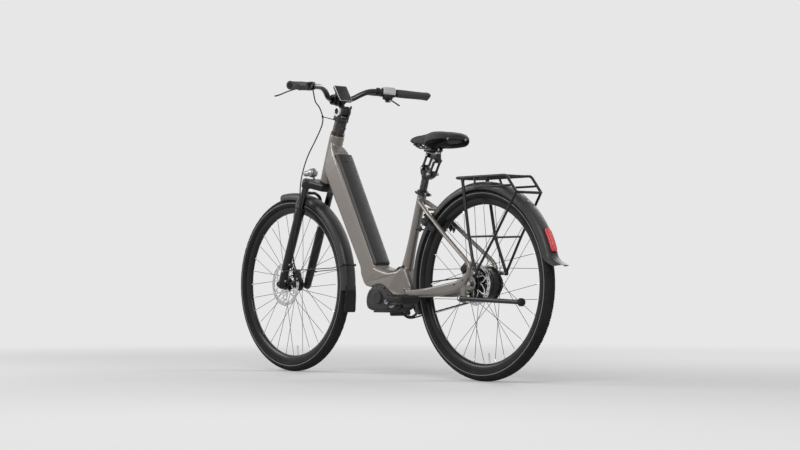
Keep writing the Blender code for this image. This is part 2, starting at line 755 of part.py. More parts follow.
def make_rear_triangle(side):
    """Seat stay and chain stay of one side, joined by the curved yoke that carries the dropout."""
    y = STAY_SPREAD
    foot, top, along = seat_tube_frame()
    stay_top = top - along * 0.046 + SIDE * 0.0205 + point(-0.018, 0.0, 0.0)
    route = [stay_top, point(0.262, 0.0425, 0.620), point(0.165, 0.052, 0.545), point(0.024, y, 0.444),
             point(0.008, y, 0.420), point(0.008, y, 0.384), point(0.028, y, 0.352),
             point(0.070, y, 0.341)]
    path = rounded_path(route, 0.016, 2)
    stay = wire(path, STAY_RADIUS, resolution=2)
    bracket_end = point(0.3925 - GAP, 0.034, 0.330)
    chain_rows = []
    for t in (0.0, 0.15, 0.5, 0.8, 1.0):
        centre = point(0.046, y, 0.343).lerp(bracket_end, t)
        if 0.0 < t < 1.0:
            centre.y = y + (bracket_end.y - y) * max(0.0, (t - 0.55) / 0.45)
        chain_rows.append(rounded_section(centre, SIDE, (0, 0, 1), 0.0088, 0.0105 + 0.0050 * min(t * 2, 1),
                                          0.005))
    chain = loft(chain_rows)
    drop = plate([(0.022, 0.415), (0.010, 0.388), (-0.014, 0.378), (-0.020, 0.358), (-0.012, 0.340),
                  (0.012, 0.333), (0.060, 0.333), (0.040, 0.350), (0.022, 0.376)],
                 0.0030, origin=(0.0, y - 0.0052, 0.0))
    shape = union(stay, chain, drop)
    boss = pin(RACK_FOOT, 0.0062, y - 0.0100, y + 0.0040, 12)
    tab = plate([(0.012, 0.412), (0.014, 0.388), (RACK_FOOT[0] - 0.004, RACK_FOOT[1] - 0.007),
                 (RACK_FOOT[0] - 0.004, RACK_FOOT[1] + 0.006)], 0.0026, origin=(0.0, y - 0.0045, 0.0))
    shape = union(shape, tab, boss)
    axle_hole = pin((0.0, TYRE_RADIUS), clear(AXLE_RADIUS, 12), 0.03, 0.10, 12)
    shape = cut(shape, axle_hole)
    if side > 0:
        pivot = point(STAND_PIVOT[0], STAND_SIDE, STAND_PIVOT[1])
        lug = rod(pivot - STAND_AXIS * 0.0235, pivot - STAND_AXIS * (STAND_INNER + GAP), 0.0125, sides=16)
        web = block(point(STAND_PIVOT[0] + 0.006, y + 0.001, 0.320), (0.026, 0.009, 0.034), edge=0.002,
                    steps=1)
        shape = union(shape, web, lug)
        reach = 0.0345 - STAY_RADIUS
        shape = union(shape, pin((0.291, 0.642), 0.0060, -reach + 0.0040, reach + 0.0040, 10))
    else:
        shape = mirrored(shape)
    name = "rear_triangle_left" if side > 0 else "rear_triangle_right"
    return part(name, shape, FRAME_PAINT, (0.0, side * y, TYRE_RADIUS))


def make_rear_axle():
    bar = pin((0.0, TYRE_RADIUS), AXLE_RADIUS, -0.0810, 0.0810, 10)
    nuts = joined([pin((0.0, TYRE_RADIUS), 0.0105, 0.0720, 0.0790, 6),
                   pin((0.0, TYRE_RADIUS), 0.0105, -0.0790, -0.0720, 6)])
    return part("rear_axle", union(bar, nuts), STEEL, (0.0, 0.0, TYRE_RADIUS))


# Fork

CROWN_LOW = HEAD_TUBE_LOW - 0.010 - CROWN_HEIGHT


def make_fork_crown():
    """Steerer, crown and stanchions as one piece, as they are pressed together."""
    top = HEAD_TUBE_HIGH + 0.008
    steerer = rod(on_fork(CROWN_LOW + 0.006, 0), on_fork(top, 0), STEERER_RADIUS, sides=16)
    seat = [(-0.024, -0.030), (-0.030, 0.0), (-0.024, 0.030)]
    places = [(LEG_FORWARD + 0.018, LEG_SPREAD + 0.012), (LEG_FORWARD - 0.004, LEG_SPREAD + 0.021),
              (LEG_FORWARD - 0.020, LEG_SPREAD + 0.008)]
    outline = [(f, s) for f, s in places] + [(f, s) for f, s in reversed(seat)]
    outline += [(f, -s) for f, s in reversed(places)]
    outline += [(0.050, -0.030), (0.050, 0.030)]
    rows = []
    for height, grow in ((CROWN_LOW, 0.0), (CROWN_LOW + 0.004, 0.0016),
                         (CROWN_LOW + CROWN_HEIGHT - 0.006, 0.0016),
                         (CROWN_LOW + CROWN_HEIGHT, -0.002)):
        rows.append([on_fork(height, f * (1 + grow * 8), s * (1 + grow * 8)) for f, s in outline])
    crown = loft(rows)
    legs = [rod(on_fork(STANCHION_FOOT, LEG_FORWARD, s * LEG_SPREAD),
                on_fork(CROWN_LOW + 0.01, LEG_FORWARD, s * LEG_SPREAD),
                STANCHION_RADIUS, sides=16) for s in (1, -1)]
    return part("fork_crown", union(crown, joined(legs), steerer), BLACK_METAL, on_fork(HEAD_TUBE_LOW, 0.0))


def make_fork_lowers():
    """Lower legs, their arch ahead of the crown and the through axle."""
    legs = []
    bores = []
    for side in (1, -1):
        base = on_fork(0.0, LEG_FORWARD, side * LEG_SPREAD)
        profile = [(LOWER_RADIUS - 0.001, LOWER_TOP), (LOWER_RADIUS, LOWER_TOP - 0.004),
                   (LOWER_RADIUS - 0.0014, LOWER_TOP - 0.034), (LOWER_RADIUS - 0.0030, 0.040),
                   (LOWER_RADIUS - 0.0065, -0.012), (0.0, -0.0165)]
        legs.append(turned([(0.0, LOWER_TOP)] + profile, base, STEER_UP, 12))
        bores.append(rod(on_fork(STANCHION_FOOT - FORK_TRAVEL - 0.002, LEG_FORWARD, side * LEG_SPREAD),
                         on_fork(LOWER_TOP + 0.02, LEG_FORWARD, side * LEG_SPREAD),
                         clear(STANCHION_RADIUS, 12), sides=12))
    arch_route = [on_fork(LOWER_TOP - 0.022, LEG_FORWARD + 0.012, LEG_SPREAD),
                  on_fork(LOWER_TOP + 0.012, LEG_FORWARD + 0.034, LEG_SPREAD - 0.006),
                  on_fork(0.383, LEG_FORWARD + 0.036, 0.034), on_fork(0.389, LEG_FORWARD + 0.036, 0.0)]
    arch_route += [point(p.x, -p.y, p.z) for p in reversed(arch_route[:-1])]
    arch = wire(rounded_path(arch_route, 0.020), 0.0072)
    axle = rod(FRONT_AXLE - SIDE * (LEG_SPREAD + 0.017), FRONT_AXLE + SIDE * (LEG_SPREAD + 0.017),
               AXLE_RADIUS, sides=16)
    mounts = [block(on_fork(height, LEG_FORWARD - 0.020, LEG_SPREAD - 0.004), (0.014, 0.011, 0.018),
                    STEER_FORWARD, STEER_UP, 0.002, 1) for height in (0.024, 0.096)]
    shape = union(joined(legs), arch)
    shape = union(shape, axle)
    for mount in mounts:
        shape = union(shape, mount)
    return part("fork_lowers", cut(shape, joined(bores)), BLACK_METAL, on_fork(LOWER_TOP, LEG_FORWARD))


def make_stem():
    """Stem column on its bearing cap, forked at the top round the pivot with its hollow bolt."""
    low, top = HEAD_TUBE_HIGH + GAP, HEAD_TUBE_HIGH + 0.0085
    column = turned([(0.0, STEM_PIVOT_S - 0.012), (STEM_RADIUS, STEM_PIVOT_S - 0.012),
                     (STEM_RADIUS, top + 0.0030),
                     (STEM_CAP_RADIUS, top), (STEM_CAP_RADIUS, low), (0.0, low)], STEER_FOOT, STEER_UP, 20)
    head = block(on_fork(STEM_PIVOT_S - 0.014, STEM_PIVOT_F * 0.6), (0.040, 0.050, 0.040),
                 STEER_FORWARD, STEER_UP, 0.006, 1)
    boss = rod(on_fork(STEM_PIVOT_S, STEM_PIVOT_F, -0.026), on_fork(STEM_PIVOT_S, STEM_PIVOT_F, 0.032),
               STEM_BOSS_RADIUS, sides=16)
    slot = block(on_fork(STEM_PIVOT_S + 0.020, STEM_PIVOT_F + 0.004), (0.090, 0.0302, 0.086),
                 STEER_FORWARD, STEER_UP)
    shape = cut(union(column, head, boss), slot)
    bolt = rod(on_fork(STEM_PIVOT_S, STEM_PIVOT_F, -0.020), on_fork(STEM_PIVOT_S, STEM_PIVOT_F, 0.020),
               0.0050)
    hollow = rod(on_fork(STEM_PIVOT_S, STEM_PIVOT_F, 0.0260), on_fork(STEM_PIVOT_S, STEM_PIVOT_F, 0.034),
                 0.0105, sides=12)
    steerer = rod(on_fork(0.6, 0.0), on_fork(HEAD_TUBE_HIGH + 0.0085, 0.0), clear(STEERER_RADIUS, 16),
                  sides=16)
    return part("stem", cut(union(shape, bolt), hollow, steerer), BLACK_METAL,
                on_fork(STEM_PIVOT_S, STEM_PIVOT_F))


def make_stem_arm():
    """Upper part of the stem: tongue on the angle pivot and ring clamp round the bar."""
    pivot = on_fork(STEM_PIVOT_S, STEM_PIVOT_F)
    clamp = point(BAR_CLAMP[0], 0.0, BAR_CLAMP[1])
    tongue = rod(pivot - SIDE * 0.0148, pivot + SIDE * 0.0148, 0.0185, sides=16)
    along = (clamp - pivot)
    body = block(pivot.lerp(clamp, 0.5), (along.length, 0.0290, 0.026), along, along.cross(SIDE), 0.004, 1)
    shell = rod(clamp - SIDE * 0.021, clamp + SIDE * 0.021, BAR_CLAMP_RADIUS + 0.0055, sides=14)
    bore = rod(clamp - SIDE * 0.05, clamp + SIDE * 0.05, clear(BAR_CLAMP_RADIUS, 16), sides=16)
    eye = rod(pivot - SIDE * 0.05, pivot + SIDE * 0.05, clear(0.0050, 8))
    return part("stem_arm", cut(union(tongue, body, shell), bore, eye), BLACK_METAL, pivot)


GRIP_ROOT = point(BAR_CLAMP[0] - 0.092, 0.215, BAR_CLAMP[1] + 0.0345)
GRIP_TIP = (GRIP_ROOT.x - 0.054, BAR_END, GRIP_ROOT.z - 0.0095)
GRIP_AXIS = (point(*GRIP_TIP) - GRIP_ROOT).normalized()
BAR_REACH = (point(*GRIP_TIP) - GRIP_ROOT).length


def bar_route():
    """The left half of the handlebar: up and back from its clamp, then out to the grip."""
    x, z = BAR_CLAMP
    return [point(x, 0.0, z), point(x, 0.034, z), point(x - 0.016, 0.064, z + 0.006),
            point(x - 0.038, 0.092, z + 0.026),
            GRIP_ROOT - GRIP_AXIS * 0.094, point(*GRIP_TIP)]


def on_grip(reach, side, up=0.0, forward=0.0):
    """A point on the bar's grip stretch, reach metres out from where that stretch begins."""
    base = GRIP_ROOT + GRIP_AXIS * reach
    ahead = direction(Vector((1.0, 0.0, 0.0)) - GRIP_AXIS * GRIP_AXIS.x)
    upward = ahead.cross(GRIP_AXIS)
    place = base + ahead * forward + upward * up
    return point(place.x, side * place.y, place.z)


def grip_up(side):
    return direction(on_grip(0.0, side, 1.0) - on_grip(0.0, side))


def grip_ahead(side):
    return direction(on_grip(0.0, side, 0.0, 1.0) - on_grip(0.0, side))


def make_handlebar():
    half = bar_route()
    full = [point(p.x, -p.y, p.z) for p in reversed(half[1:])] + half
    path = rounded_path(full, 0.024, 1)
    tube = wire(path, BAR_RADIUS, resolution=2)
    clamp = point(BAR_CLAMP[0], 0.0, BAR_CLAMP[1])
    sleeve = turned([(0.0, 0.030), (BAR_RADIUS + 0.0006, 0.030), (BAR_CLAMP_RADIUS, 0.0235),
                     (BAR_CLAMP_RADIUS, -0.0235), (BAR_RADIUS + 0.0006, -0.030), (0.0, -0.030)],
                    clamp, SIDE, 20)
    return part("handlebar", union(tube, sleeve), BLACK_METAL, clamp)


def make_grip(name, side):
    """Ergonomic grip: a round body with a palm wing that grows toward the end."""
    rows = []
    start = LEFT_GRIP_START if side > 0 else RIGHT_GRIP_START
    length = BAR_REACH + 0.0035 - start
    for share, thick, wing in ((0.0, 0.0165, 0.0), (0.28, 0.0168, 0.004),
                               (0.60, 0.0160, 0.010), (0.86, 0.0158, 0.020), (0.97, 0.0175, 0.026),
                               (1.0, 0.0165, 0.024)):
        row = []
        for step in range(12):
            angle = 2 * pi * step / 12
            forward = thick * cos(angle)
            up = thick * sin(angle)
            if cos(angle) < 0:
                forward -= wing * (-cos(angle)) ** 1.5
                up *= 1.0 - 0.30 * (wing / 0.026) * (-cos(angle))
            row.append(on_grip(start + length * share, side, up, forward))
        rows.append(row)
    shape = loft(rows)
    bore = rod(on_grip(start - 0.01, side), on_grip(BAR_REACH + GAP, side), clear(BAR_RADIUS, 10), sides=10)
    return part(name, cut(shape, bore), RUBBER, on_grip(start, side))


def make_lever_housing(name, side):
    """Brake master cylinder clamped round the bar inboard of the grip."""
    ring_at = brake_seat(side)
    clamp = rod(on_grip(ring_at - 0.007, side), on_grip(ring_at + 0.007, side), BAR_RADIUS + 0.0050,
                sides=10)
    body = rod(on_grip(ring_at - 0.034, side, -0.006, 0.028),
               on_grip(ring_at + 0.030, side, -0.006, 0.028), 0.0085, sides=12)
    neck = block(on_grip(ring_at, side, -0.003, 0.018), (0.024, 0.013, 0.014),
                 grip_ahead(side), grip_up(side), 0.002, 1)
    fork_block = block(on_grip(ring_at + 0.030, side, -0.006, 0.0305), (0.022, 0.016, 0.015),
                       grip_ahead(side), grip_up(side), 0.003, 1)
    shape = union(clamp, neck, body, fork_block)
    slot = block(on_grip(ring_at + 0.040, side, -0.006, 0.036), (0.050, 0.030, 0.0076),
                 grip_ahead(side), grip_up(side))
    pivot = lever_pivot(side)
    up = grip_up(side)
    hole = rod(pivot - up * 0.03, pivot + up * 0.03, clear(0.0025, 10), sides=10)
    bore = rod(on_grip(ring_at - 0.05, side), on_grip(ring_at + 0.05, side), clear(BAR_RADIUS, 10),
               sides=10)
    return part(name, cut(shape, bore, slot, hole), BLACK_METAL, on_grip(ring_at, side))


def brake_seat(side):
    return LEFT_BRAKE_SEAT if side > 0 else RIGHT_BRAKE_SEAT


def lever_pivot(side):
    return on_grip(brake_seat(side) + LEVER_PIVOT_OUT, side, -LEVER_PIVOT_DROP, LEVER_PIVOT_FORWARD)


def make_brake_lever(name, side):
    """Lever blade with its pivot pin; it reaches out ahead of the grip."""
    pivot = lever_pivot(side)
    up = grip_up(side)
    seat = brake_seat(side) + LEVER_PIVOT_OUT
    route = [pivot] + [on_grip(seat + out, side, -drop, forward)
                       for out, drop, forward in ((0.016, 0.009, 0.050), (0.044, 0.018, 0.068),
                                                  (0.074, 0.029, 0.082), (0.090, 0.034, 0.094))]
    blade = wire(rounded_path(route, 0.012, 1), 0.0062)
    stretch(blade, pivot, up, 0.52)
    knuckle = rod(pivot - up * 0.0033, pivot + up * 0.0033, 0.0068, sides=16)
    pin_rod = rod(pivot - up * 0.0084, pivot + up * 0.0084, 0.0025, sides=12)
    return part(name, union(blade, knuckle, pin_rod), BLACK_METAL, pivot)


def make_shifter():
    """Shift unit under the right bar, with its bright window on top."""
    side = -1
    clamp_at = SHIFTER_SEAT
    clamp = rod(on_grip(clamp_at - 0.029, side), on_grip(clamp_at + 0.029, side), BAR_RADIUS + 0.0068,
                sides=14)
    window = block(on_grip(clamp_at + 0.001, side, 0.0150, -0.001), (0.030, 0.054, 0.0120),
                   grip_ahead(side), grip_up(side), 0.004, 1)
    body = block(on_grip(clamp_at - 0.002, side, -0.019, -0.002), (0.030, 0.040, 0.022),
                 grip_ahead(side), grip_up(side), 0.006, 1)
    bore = rod(on_grip(clamp_at - 0.05, side), on_grip(clamp_at + 0.05, side), clear(BAR_RADIUS, 10),
               sides=10)
    return part("shifter", cut(union(clamp, window, body), bore), BLACK_PLASTIC, on_grip(clamp_at, side))


def shift_pivot():
    return on_grip(SHIFTER_SEAT - 0.002, -1, -0.0335, 0.0)


def make_shift_lever():
    """Thumb paddle under the shifter, on its own pin."""
    side = -1
    pivot = shift_pivot()
    hub = rod(pivot, pivot - grip_up(side) * 0.0060, 0.0085, sides=12)
    start = pivot - grip_up(side) * 0.0040 - grip_ahead(side) * 0.004
    end = start - grip_ahead(side) * 0.026 - grip_up(side) * 0.004
    paddle = block((start + end) / 2, ((end - start).length, 0.0150, 0.0040), end - start, grip_up(side),
                   0.0015, 1)
    return part("shift_lever", union(hub, paddle), BLACK_PLASTIC, pivot)


def make_remote():
    """Control pad beside the left grip, clamped on the bar, with a seat for its key."""
    side = 1
    at = REMOTE_SEAT
    clamp = rod(on_grip(at - 0.006, side), on_grip(at + 0.006, side), BAR_RADIUS + 0.0050, sides=10)
    pad = block(on_grip(at, side, 0.0080, -0.0200), (0.020, 0.032, 0.0120), grip_ahead(side),
                grip_up(side), 0.003, 1)
    bore = rod(on_grip(at - 0.05, side), on_grip(at + 0.05, side), clear(BAR_RADIUS, 10), sides=10)
    seat = rod(on_grip(at, side, 0.0105, -0.0210), on_grip(at, side, 0.0200, -0.0210), clear(0.0064, 12),
               sides=12)
    return part("remote", cut(union(clamp, pad), bore, seat), BLACK_PLASTIC, on_grip(at, side))


def make_remote_key():
    place = on_grip(REMOTE_SEAT, 1, 0.0118, -0.0210)
    return part("remote_key", rod(place, place + grip_up(1) * 0.0040, 0.0064, sides=12), GREY_PLASTIC,
                place)


def make_display():
    """Display on two arms that hold it above the bar clamp."""
    top_edge = point(BAR_CLAMP[0] - 0.0170, 0.0, BAR_CLAMP[1] + 0.0565)
    low_edge = point(BAR_CLAMP[0] - 0.0575, 0.0, BAR_CLAMP[1] - 0.0080)
    along = (top_edge - low_edge)
    normal = direction(along.cross(SIDE))
    normal = normal if normal.x < 0 else -normal
    centre = (top_edge + low_edge) / 2 - normal * 0.006
    screen = block(centre, (along.length, 0.064, 0.012), along, normal, 0.003, 1)
    clamp = point(BAR_CLAMP[0], 0.0, BAR_CLAMP[1])
    pieces = [screen]
    for side in (1, -1):
        start = centre + SIDE * side * 0.0262 - normal * 0.004
        end = clamp + SIDE * side * 0.0262
        pieces.append(block((start + end) / 2, ((end - start).length + 0.006, 0.005, 0.012), end - start,
                            (end - start).cross(SIDE), 0.001, 1))
        pieces.append(rod(end - SIDE * 0.0024, end + SIDE * 0.0024, BAR_CLAMP_RADIUS + 0.0050, sides=16))
    shape = pieces[0]
    for other in pieces[1:]:
        shape = union(shape, other)
    bore = rod(clamp - SIDE * 0.06, clamp + SIDE * 0.06, clear(BAR_CLAMP_RADIUS, 16), sides=16)
    return part("display", cut(shape, bore), BLACK_PLASTIC, clamp)


def make_headlight():
    centre = on_fork(0.468, 0.098)
    shape = turned([(0.0, 0.050), (0.0105, 0.049), (0.0115, 0.046), (0.0115, 0.022), (0.0180, 0.014),
                    (0.0190, 0.008), (0.0190, -0.010), (0.0140, -0.018), (0.0, -0.020)],
                   centre, (1.0, 0.0, -0.04), 20)
    arm_start = on_fork(CROWN_LOW + 0.020, 0.0550)
    arm = block(arm_start.lerp(centre, 0.5), ((centre - arm_start).length, 0.012, 0.005),
                centre - arm_start, STEER_UP, 0.001, 1)
    foot = block(on_fork(CROWN_LOW + 0.018, 0.0535 + GAP), (0.005, 0.020, 0.020), STEER_FORWARD, STEER_UP,
                 0.001, 1)
    return part("headlight", union(shape, arm, foot), BLACK_PLASTIC, centre)


def front_flap():
    """Rubber flap under the front mudguard's lower end, flared outward at its lip."""
    rows = []
    for step, lift, half in ((0, 0.0008, 0.025), (1, 0.0020, 0.0265), (2, 0.0036, 0.0285),
                             (3, 0.0060, 0.0305)):
        angle = FRONT_GUARD_END - 3.0 + 5.2 * step
        centre = arc_point(FRONT_AXLE, GUARD_RADIUS + lift, angle)
        outward = direction(centre - FRONT_AXLE)
        rows.append(rounded_section(centre, SIDE, outward, half, 0.0016, 0.0008, 1))
    return loft(rows)


def front_stay():
    """Wire stay from both fork legs round the front mudguard's back."""
    half = GUARD_WIDTH / 2
    clip = arc_point(FRONT_AXLE, GUARD_RADIUS - 0.0080, 168.0)
    eye = on_fork(0.062, LEG_FORWARD - 0.0080, LEG_SPREAD + 0.0205)
    left = [eye, eye + point(-0.030, 0.0, 0.002), point(clip.x + 0.050, half + 0.012, clip.z - 0.012),
            point(clip.x, half + 0.0004, clip.z), point(clip.x - 0.0095, half - 0.008, clip.z + 0.001)]
    right = [point(p.x, -p.y, p.z) for p in left]
    shape = wire(left + right[::-1], 0.0020)
    eyes = joined([rod(on_fork(0.062, LEG_FORWARD - 0.0080, s * (LEG_SPREAD + 0.0188)),
                       on_fork(0.062, LEG_FORWARD - 0.0080,
                               s * (LEG_SPREAD + 0.0232)), 0.0045) for s in (1, -1)])
    return union(shape, eyes)


def make_front_guard():
    shape = guard_shape(FRONT_AXLE, FRONT_GUARD_START, FRONT_GUARD_END, 13)
    shape = union(shape, front_flap(), front_stay())
    return part("front_mudguard", shape, GREY_PLASTIC, arc_point(FRONT_AXLE, GUARD_RADIUS, 96.0))


def make_rear_guard():
    shape = guard_shape(REAR_AXLE, REAR_GUARD_START, REAR_GUARD_END, 24, flare_at=REAR_GUARD_END)
    return part("rear_mudguard", shape, GREY_PLASTIC, arc_point(REAR_AXLE, GUARD_RADIUS, 90.0))


def make_rear_light():
    """Light strip seated on the mudguard's crown above its lip."""
    rows = []
    for step in range(7):
        angle = 149.8 + 12.6 * step / 6
        centre = arc_point(REAR_AXLE, GUARD_RADIUS + 0.0052, angle)
        outward = direction(centre - REAR_AXLE)
        rows.append(rounded_section(centre, SIDE, outward, 0.0155, 0.0046, 0.0030, 2))
    return part("rear_light", loft(rows), RED_LENS, arc_point(REAR_AXLE, GUARD_RADIUS, 156.0))


def caliper_frame(axle, angle, reach):
    outward = direction(arc_point(axle, 1.0, angle) - axle)
    return axle + outward * reach + SIDE * (ROTOR_PLANE + 0.0002), direction(outward.cross(SIDE)), outward


def caliper_port(reach):
    """A point above the front caliper's upper end, where its hose arrives."""
    centre, along, outward = caliper_frame(FRONT_AXLE, *FRONT_CALIPER)
    return centre - along * (CALIPER_LENGTH / 2 + reach)


def make_caliper(name, axle, angle, reach, inner_side):
    """Brake caliper straddling the rotor."""
    centre, along, outward = caliper_frame(axle, angle, reach)
    body = block(centre, (CALIPER_LENGTH, 0.0255, 0.030), along, outward, 0.004, 1)
    slot = block(centre - outward * 0.010, (0.080, 0.0046, 0.036), along, outward)
    bump = rod(centre + SIDE * 0.006, centre + SIDE * inner_side, 0.0120, sides=14)
    return part(name, cut(union(body, bump), slot), BLACK_METAL, centre)


def make_rack():
    """Rear carrier: side rails that run down to a rear loop, cross bars, pannier rails and legs."""
    left = [point(DECK_FRONT, 0.030, DECK_HEIGHT), point(DECK_FRONT - 0.020, DECK_HALF, DECK_HEIGHT),
            point(DECK_REAR, DECK_HALF, DECK_HEIGHT), point(RACK_TAIL[0], DECK_HALF, RACK_TAIL[1])]
    full = [point(p.x, -p.y, p.z) for p in left[::-1]] + left
    loop = wire(rounded_path(full + [full[0]], 0.012)[:-1], RACK_TUBE, closed=True)
    shape = loop
    for x in (0.045, -0.045, -0.120, DECK_REAR + 0.006):
        bar = rod(point(x, -DECK_HALF, DECK_HEIGHT - 0.001), point(x, DECK_HALF, DECK_HEIGHT - 0.001),
                  0.0040, sides=6)
        shape = union(shape, bar)
    for side in (1, -1):
        rail = wire(rounded_path([point(-0.016, side * DECK_HALF, DECK_HEIGHT - 0.001),
                                  point(-0.026, side * (DECK_HALF + 0.010), 0.712),
                                  point(-0.190, side * (DECK_HALF + 0.008), 0.712),
                                  point(-0.2150, side * DECK_HALF, 0.7125)], 0.012, 1),
                    0.0042, resolution=1)
        front = wire([point(0.052, side * DECK_HALF, DECK_HEIGHT - 0.001),
                      point(0.011, side * (DECK_HALF + 0.004), 0.531),
                      point(-0.020, side * 0.0750, 0.440),
                      point(RACK_FOOT[0], side * 0.0765, RACK_FOOT[1])], 0.0060, resolution=1)
        rear = wire([point(RACK_TAIL[0] + 0.002, side * DECK_HALF, RACK_TAIL[1]),
                     point(-0.127, side * (DECK_HALF + 0.004), 0.531),
                     point(RACK_FOOT[0], side * 0.0765, RACK_FOOT[1])], 0.0048, resolution=1)
        cross = rod(point(0.011, side * (DECK_HALF + 0.004), 0.531),
                    point(-0.127, side * (DECK_HALF + 0.004), 0.531),
                    0.0038, sides=6)
        shape = union(shape, rail)
        shape = union(shape, front)
        shape = union(shape, rear)
        shape = union(shape, cross)
        low, high = sorted((side * 0.0705, side * 0.0820))
        eye = pin(RACK_FOOT, 0.0090, low, high, 12)
        shape = union(shape, eye)
    top_plate = block((-0.0825, 0.0, DECK_HEIGHT + 0.0030), (0.090, 0.064, 0.0030))
    shape = union(shape, top_plate)
    return part("rear_rack", shape, BLACK_METAL, (RACK_TAIL[0], 0.0, RACK_TAIL[1]))


# Drive

def crank_end(side):
    """Pedal eye; the left arm points back and up and the right one forward and down."""
    angle = radians(180.0 - CRANK_RISE) if side > 0 else radians(-CRANK_RISE)
    return (CRANK_CENTRE[0] + CRANK_LENGTH * cos(angle), CRANK_CENTRE[1] + CRANK_LENGTH * sin(angle))


def make_crank(side):
    """Forged arm that narrows from its boss to the pedal eye; the left one carries the axle."""
    end = crank_end(side)
    face = side * CRANK_FACE
    inner = side * (CRANK_FACE - 0.0135)
    rows = []
    start = point(CRANK_CENTRE[0], 0.0, CRANK_CENTRE[1])
    finish = point(end[0], 0.0, end[1])
    for t in (0.03, 0.25, 0.6, 1.0):
        centre = start.lerp(finish, t)
        centre.y = side * (CRANK_FACE - 0.0068 + 0.0130 * t)
        upward = direction((finish - start).cross(SIDE))
        rows.append(rounded_section(centre, SIDE, upward, 0.0066 - 0.0008 * t, 0.0162 - 0.0042 * t, 0.004))
    arm = loft(rows)
    boss = pin(CRANK_CENTRE, 0.0180, min(face + side * 0.003, inner), max(face + side * 0.003, inner), 16)
    eye_low = side * (CRANK_FACE - 0.0005)
    eye_high = side * (CRANK_FACE + 0.0125)
    eye = pin(end, 0.0145, min(eye_low, eye_high), max(eye_low, eye_high), 16)
    shape = union(arm, boss, eye)
    if side > 0:
        axle = pin(CRANK_CENTRE, CRANK_AXLE_RADIUS, -CRANK_FACE + 0.0006, CRANK_FACE - 0.004, 16)
        shape = union(shape, axle)
    else:
        shape = cut(shape, pin(CRANK_CENTRE, clear(CRANK_AXLE_RADIUS, 16), -CRANK_FACE, 0.0, 16))
    shape = cut(shape, pin(end, clear(0.0058, 10), -0.1, 0.1, 10))
    name = "crank_left" if side > 0 else "crank_right"
    return part(name, shape, BLACK_METAL, (CRANK_CENTRE[0], 0.0, CRANK_CENTRE[1]))


def make_pedal(side):
    """Flat city pedal: a frame with two tread bars and a barrel on its spindle."""
    end = crank_end(side)
    inner = CRANK_FACE + 0.0125 + 0.004
    centre = point(end[0], side * (inner + PEDAL_WIDTH / 2), end[1])
    tilt = radians(RIGHT_PEDAL_HANG) if side < 0 else radians(4.0)
    along = point(cos(tilt), 0.0, sin(tilt))
    up = point(-sin(tilt), 0.0, cos(tilt))
    body = block(centre, (PEDAL_LENGTH, PEDAL_WIDTH, PEDAL_THICKNESS), along, up, 0.007, 1)
    windows = [block(centre + along * s * PEDAL_LENGTH * 0.26,
                     (PEDAL_LENGTH * 0.24, PEDAL_WIDTH * 0.66, 0.1), along, up)
               for s in (1, -1)]
    spindle = rod((end[0], side * (CRANK_FACE + 0.0010), end[1]), (end[0], side * (inner + 0.02), end[1]),
                  0.0058, sides=14)
    collar = rod((end[0], side * (CRANK_FACE + 0.0125 + GAP), end[1]),
                 (end[0], side * (inner + 0.006), end[1]), 0.0090, sides=14)
    shape = cut(body, *windows)
    shape = union(shape, spindle, collar)
    name = "pedal_left" if side > 0 else "pedal_right"
    return part(name, shape, BLACK_PLASTIC, (end[0], 0.0, end[1]))


def pitch_radius(teeth):
    return teeth * BELT_PITCH / (2 * pi)


def toothed(centre, teeth, half_width, bore, plane, depth=0.0032):
    """Belt pulley: an outline with one notch for each tooth, and a bore."""
    outer = pitch_radius(teeth) - 0.0008
    outline = []
    for index in range(teeth * 2):
        reach = outer if index % 2 == 0 else outer - depth
        angle = 2 * pi * index / (teeth * 2)
        outline.append((reach * cos(angle), reach * sin(angle)))
    disc = plate(outline, half_width, origin=(centre[0], plane, centre[1]))
    hole = pin(centre, bore, plane - 0.05, plane + 0.05, 16)
    return cut(disc, hole)


def make_belt_ring():
    """Front pulley with five windows, bolted to the right crank's boss."""
    shape = toothed(CRANK_CENTRE, RING_TEETH, BELT_WIDTH / 2, clear(CRANK_AXLE_RADIUS, 16), BELT_PLANE)
    windows = []
    centre = point(CRANK_CENTRE[0], BELT_PLANE, CRANK_CENTRE[1])
    for index in range(5):
        place = arc_point(centre, 0.0425, 72.0 * index + 20.0, BELT_PLANE)
        windows.append(pin((place.x, place.z), 0.0125, BELT_PLANE - 0.05, BELT_PLANE + 0.05, 12))
    return part("belt_ring", cut(shape, joined(windows)), BLACK_METAL,
                (CRANK_CENTRE[0], 0.0, CRANK_CENTRE[1]))


def make_rear_sprocket():
    shape = toothed((0.0, TYRE_RADIUS), SPROCKET_TEETH, BELT_WIDTH / 2, clear(AXLE_RADIUS, 16), BELT_PLANE)
    return part("rear_sprocket", shape, BLACK_METAL, (0.0, 0.0, TYRE_RADIUS))


def make_belt():
    """Belt loop round both pulleys, just clear of their tooth tips."""
    big, small = pitch_radius(RING_TEETH), pitch_radius(SPROCKET_TEETH)
    start, end = Vector((CRANK_CENTRE[0], CRANK_CENTRE[1])), Vector((0.0, TYRE_RADIUS))
    line = end - start
    base = atan2(line.y, line.x)
    wrap = acos((big - small) / line.length)

    def loop(extra):
        places = []
        for step in range(21):
            angle = base + wrap + (2 * pi - 2 * wrap) * step / 20
            places.append((start.x + (big + extra) * cos(angle), start.y + (big + extra) * sin(angle)))
        for step in range(13):
            angle = base - wrap + 2 * wrap * step / 12
            places.append((end.x + (small + extra) * cos(angle), end.y + (small + extra) * sin(angle)))
        return places
    outer = plate(loop(BELT_THICKNESS), BELT_WIDTH / 2 - 0.0006, origin=(0.0, BELT_PLANE, 0.0))
    inner = plate(loop(0.0), BELT_WIDTH, origin=(0.0, BELT_PLANE, 0.0))
    return part("belt", cut(outer, inner), RUBBER, (CRANK_CENTRE[0], BELT_PLANE, CRANK_CENTRE[1]))


# Saddle and seatpost

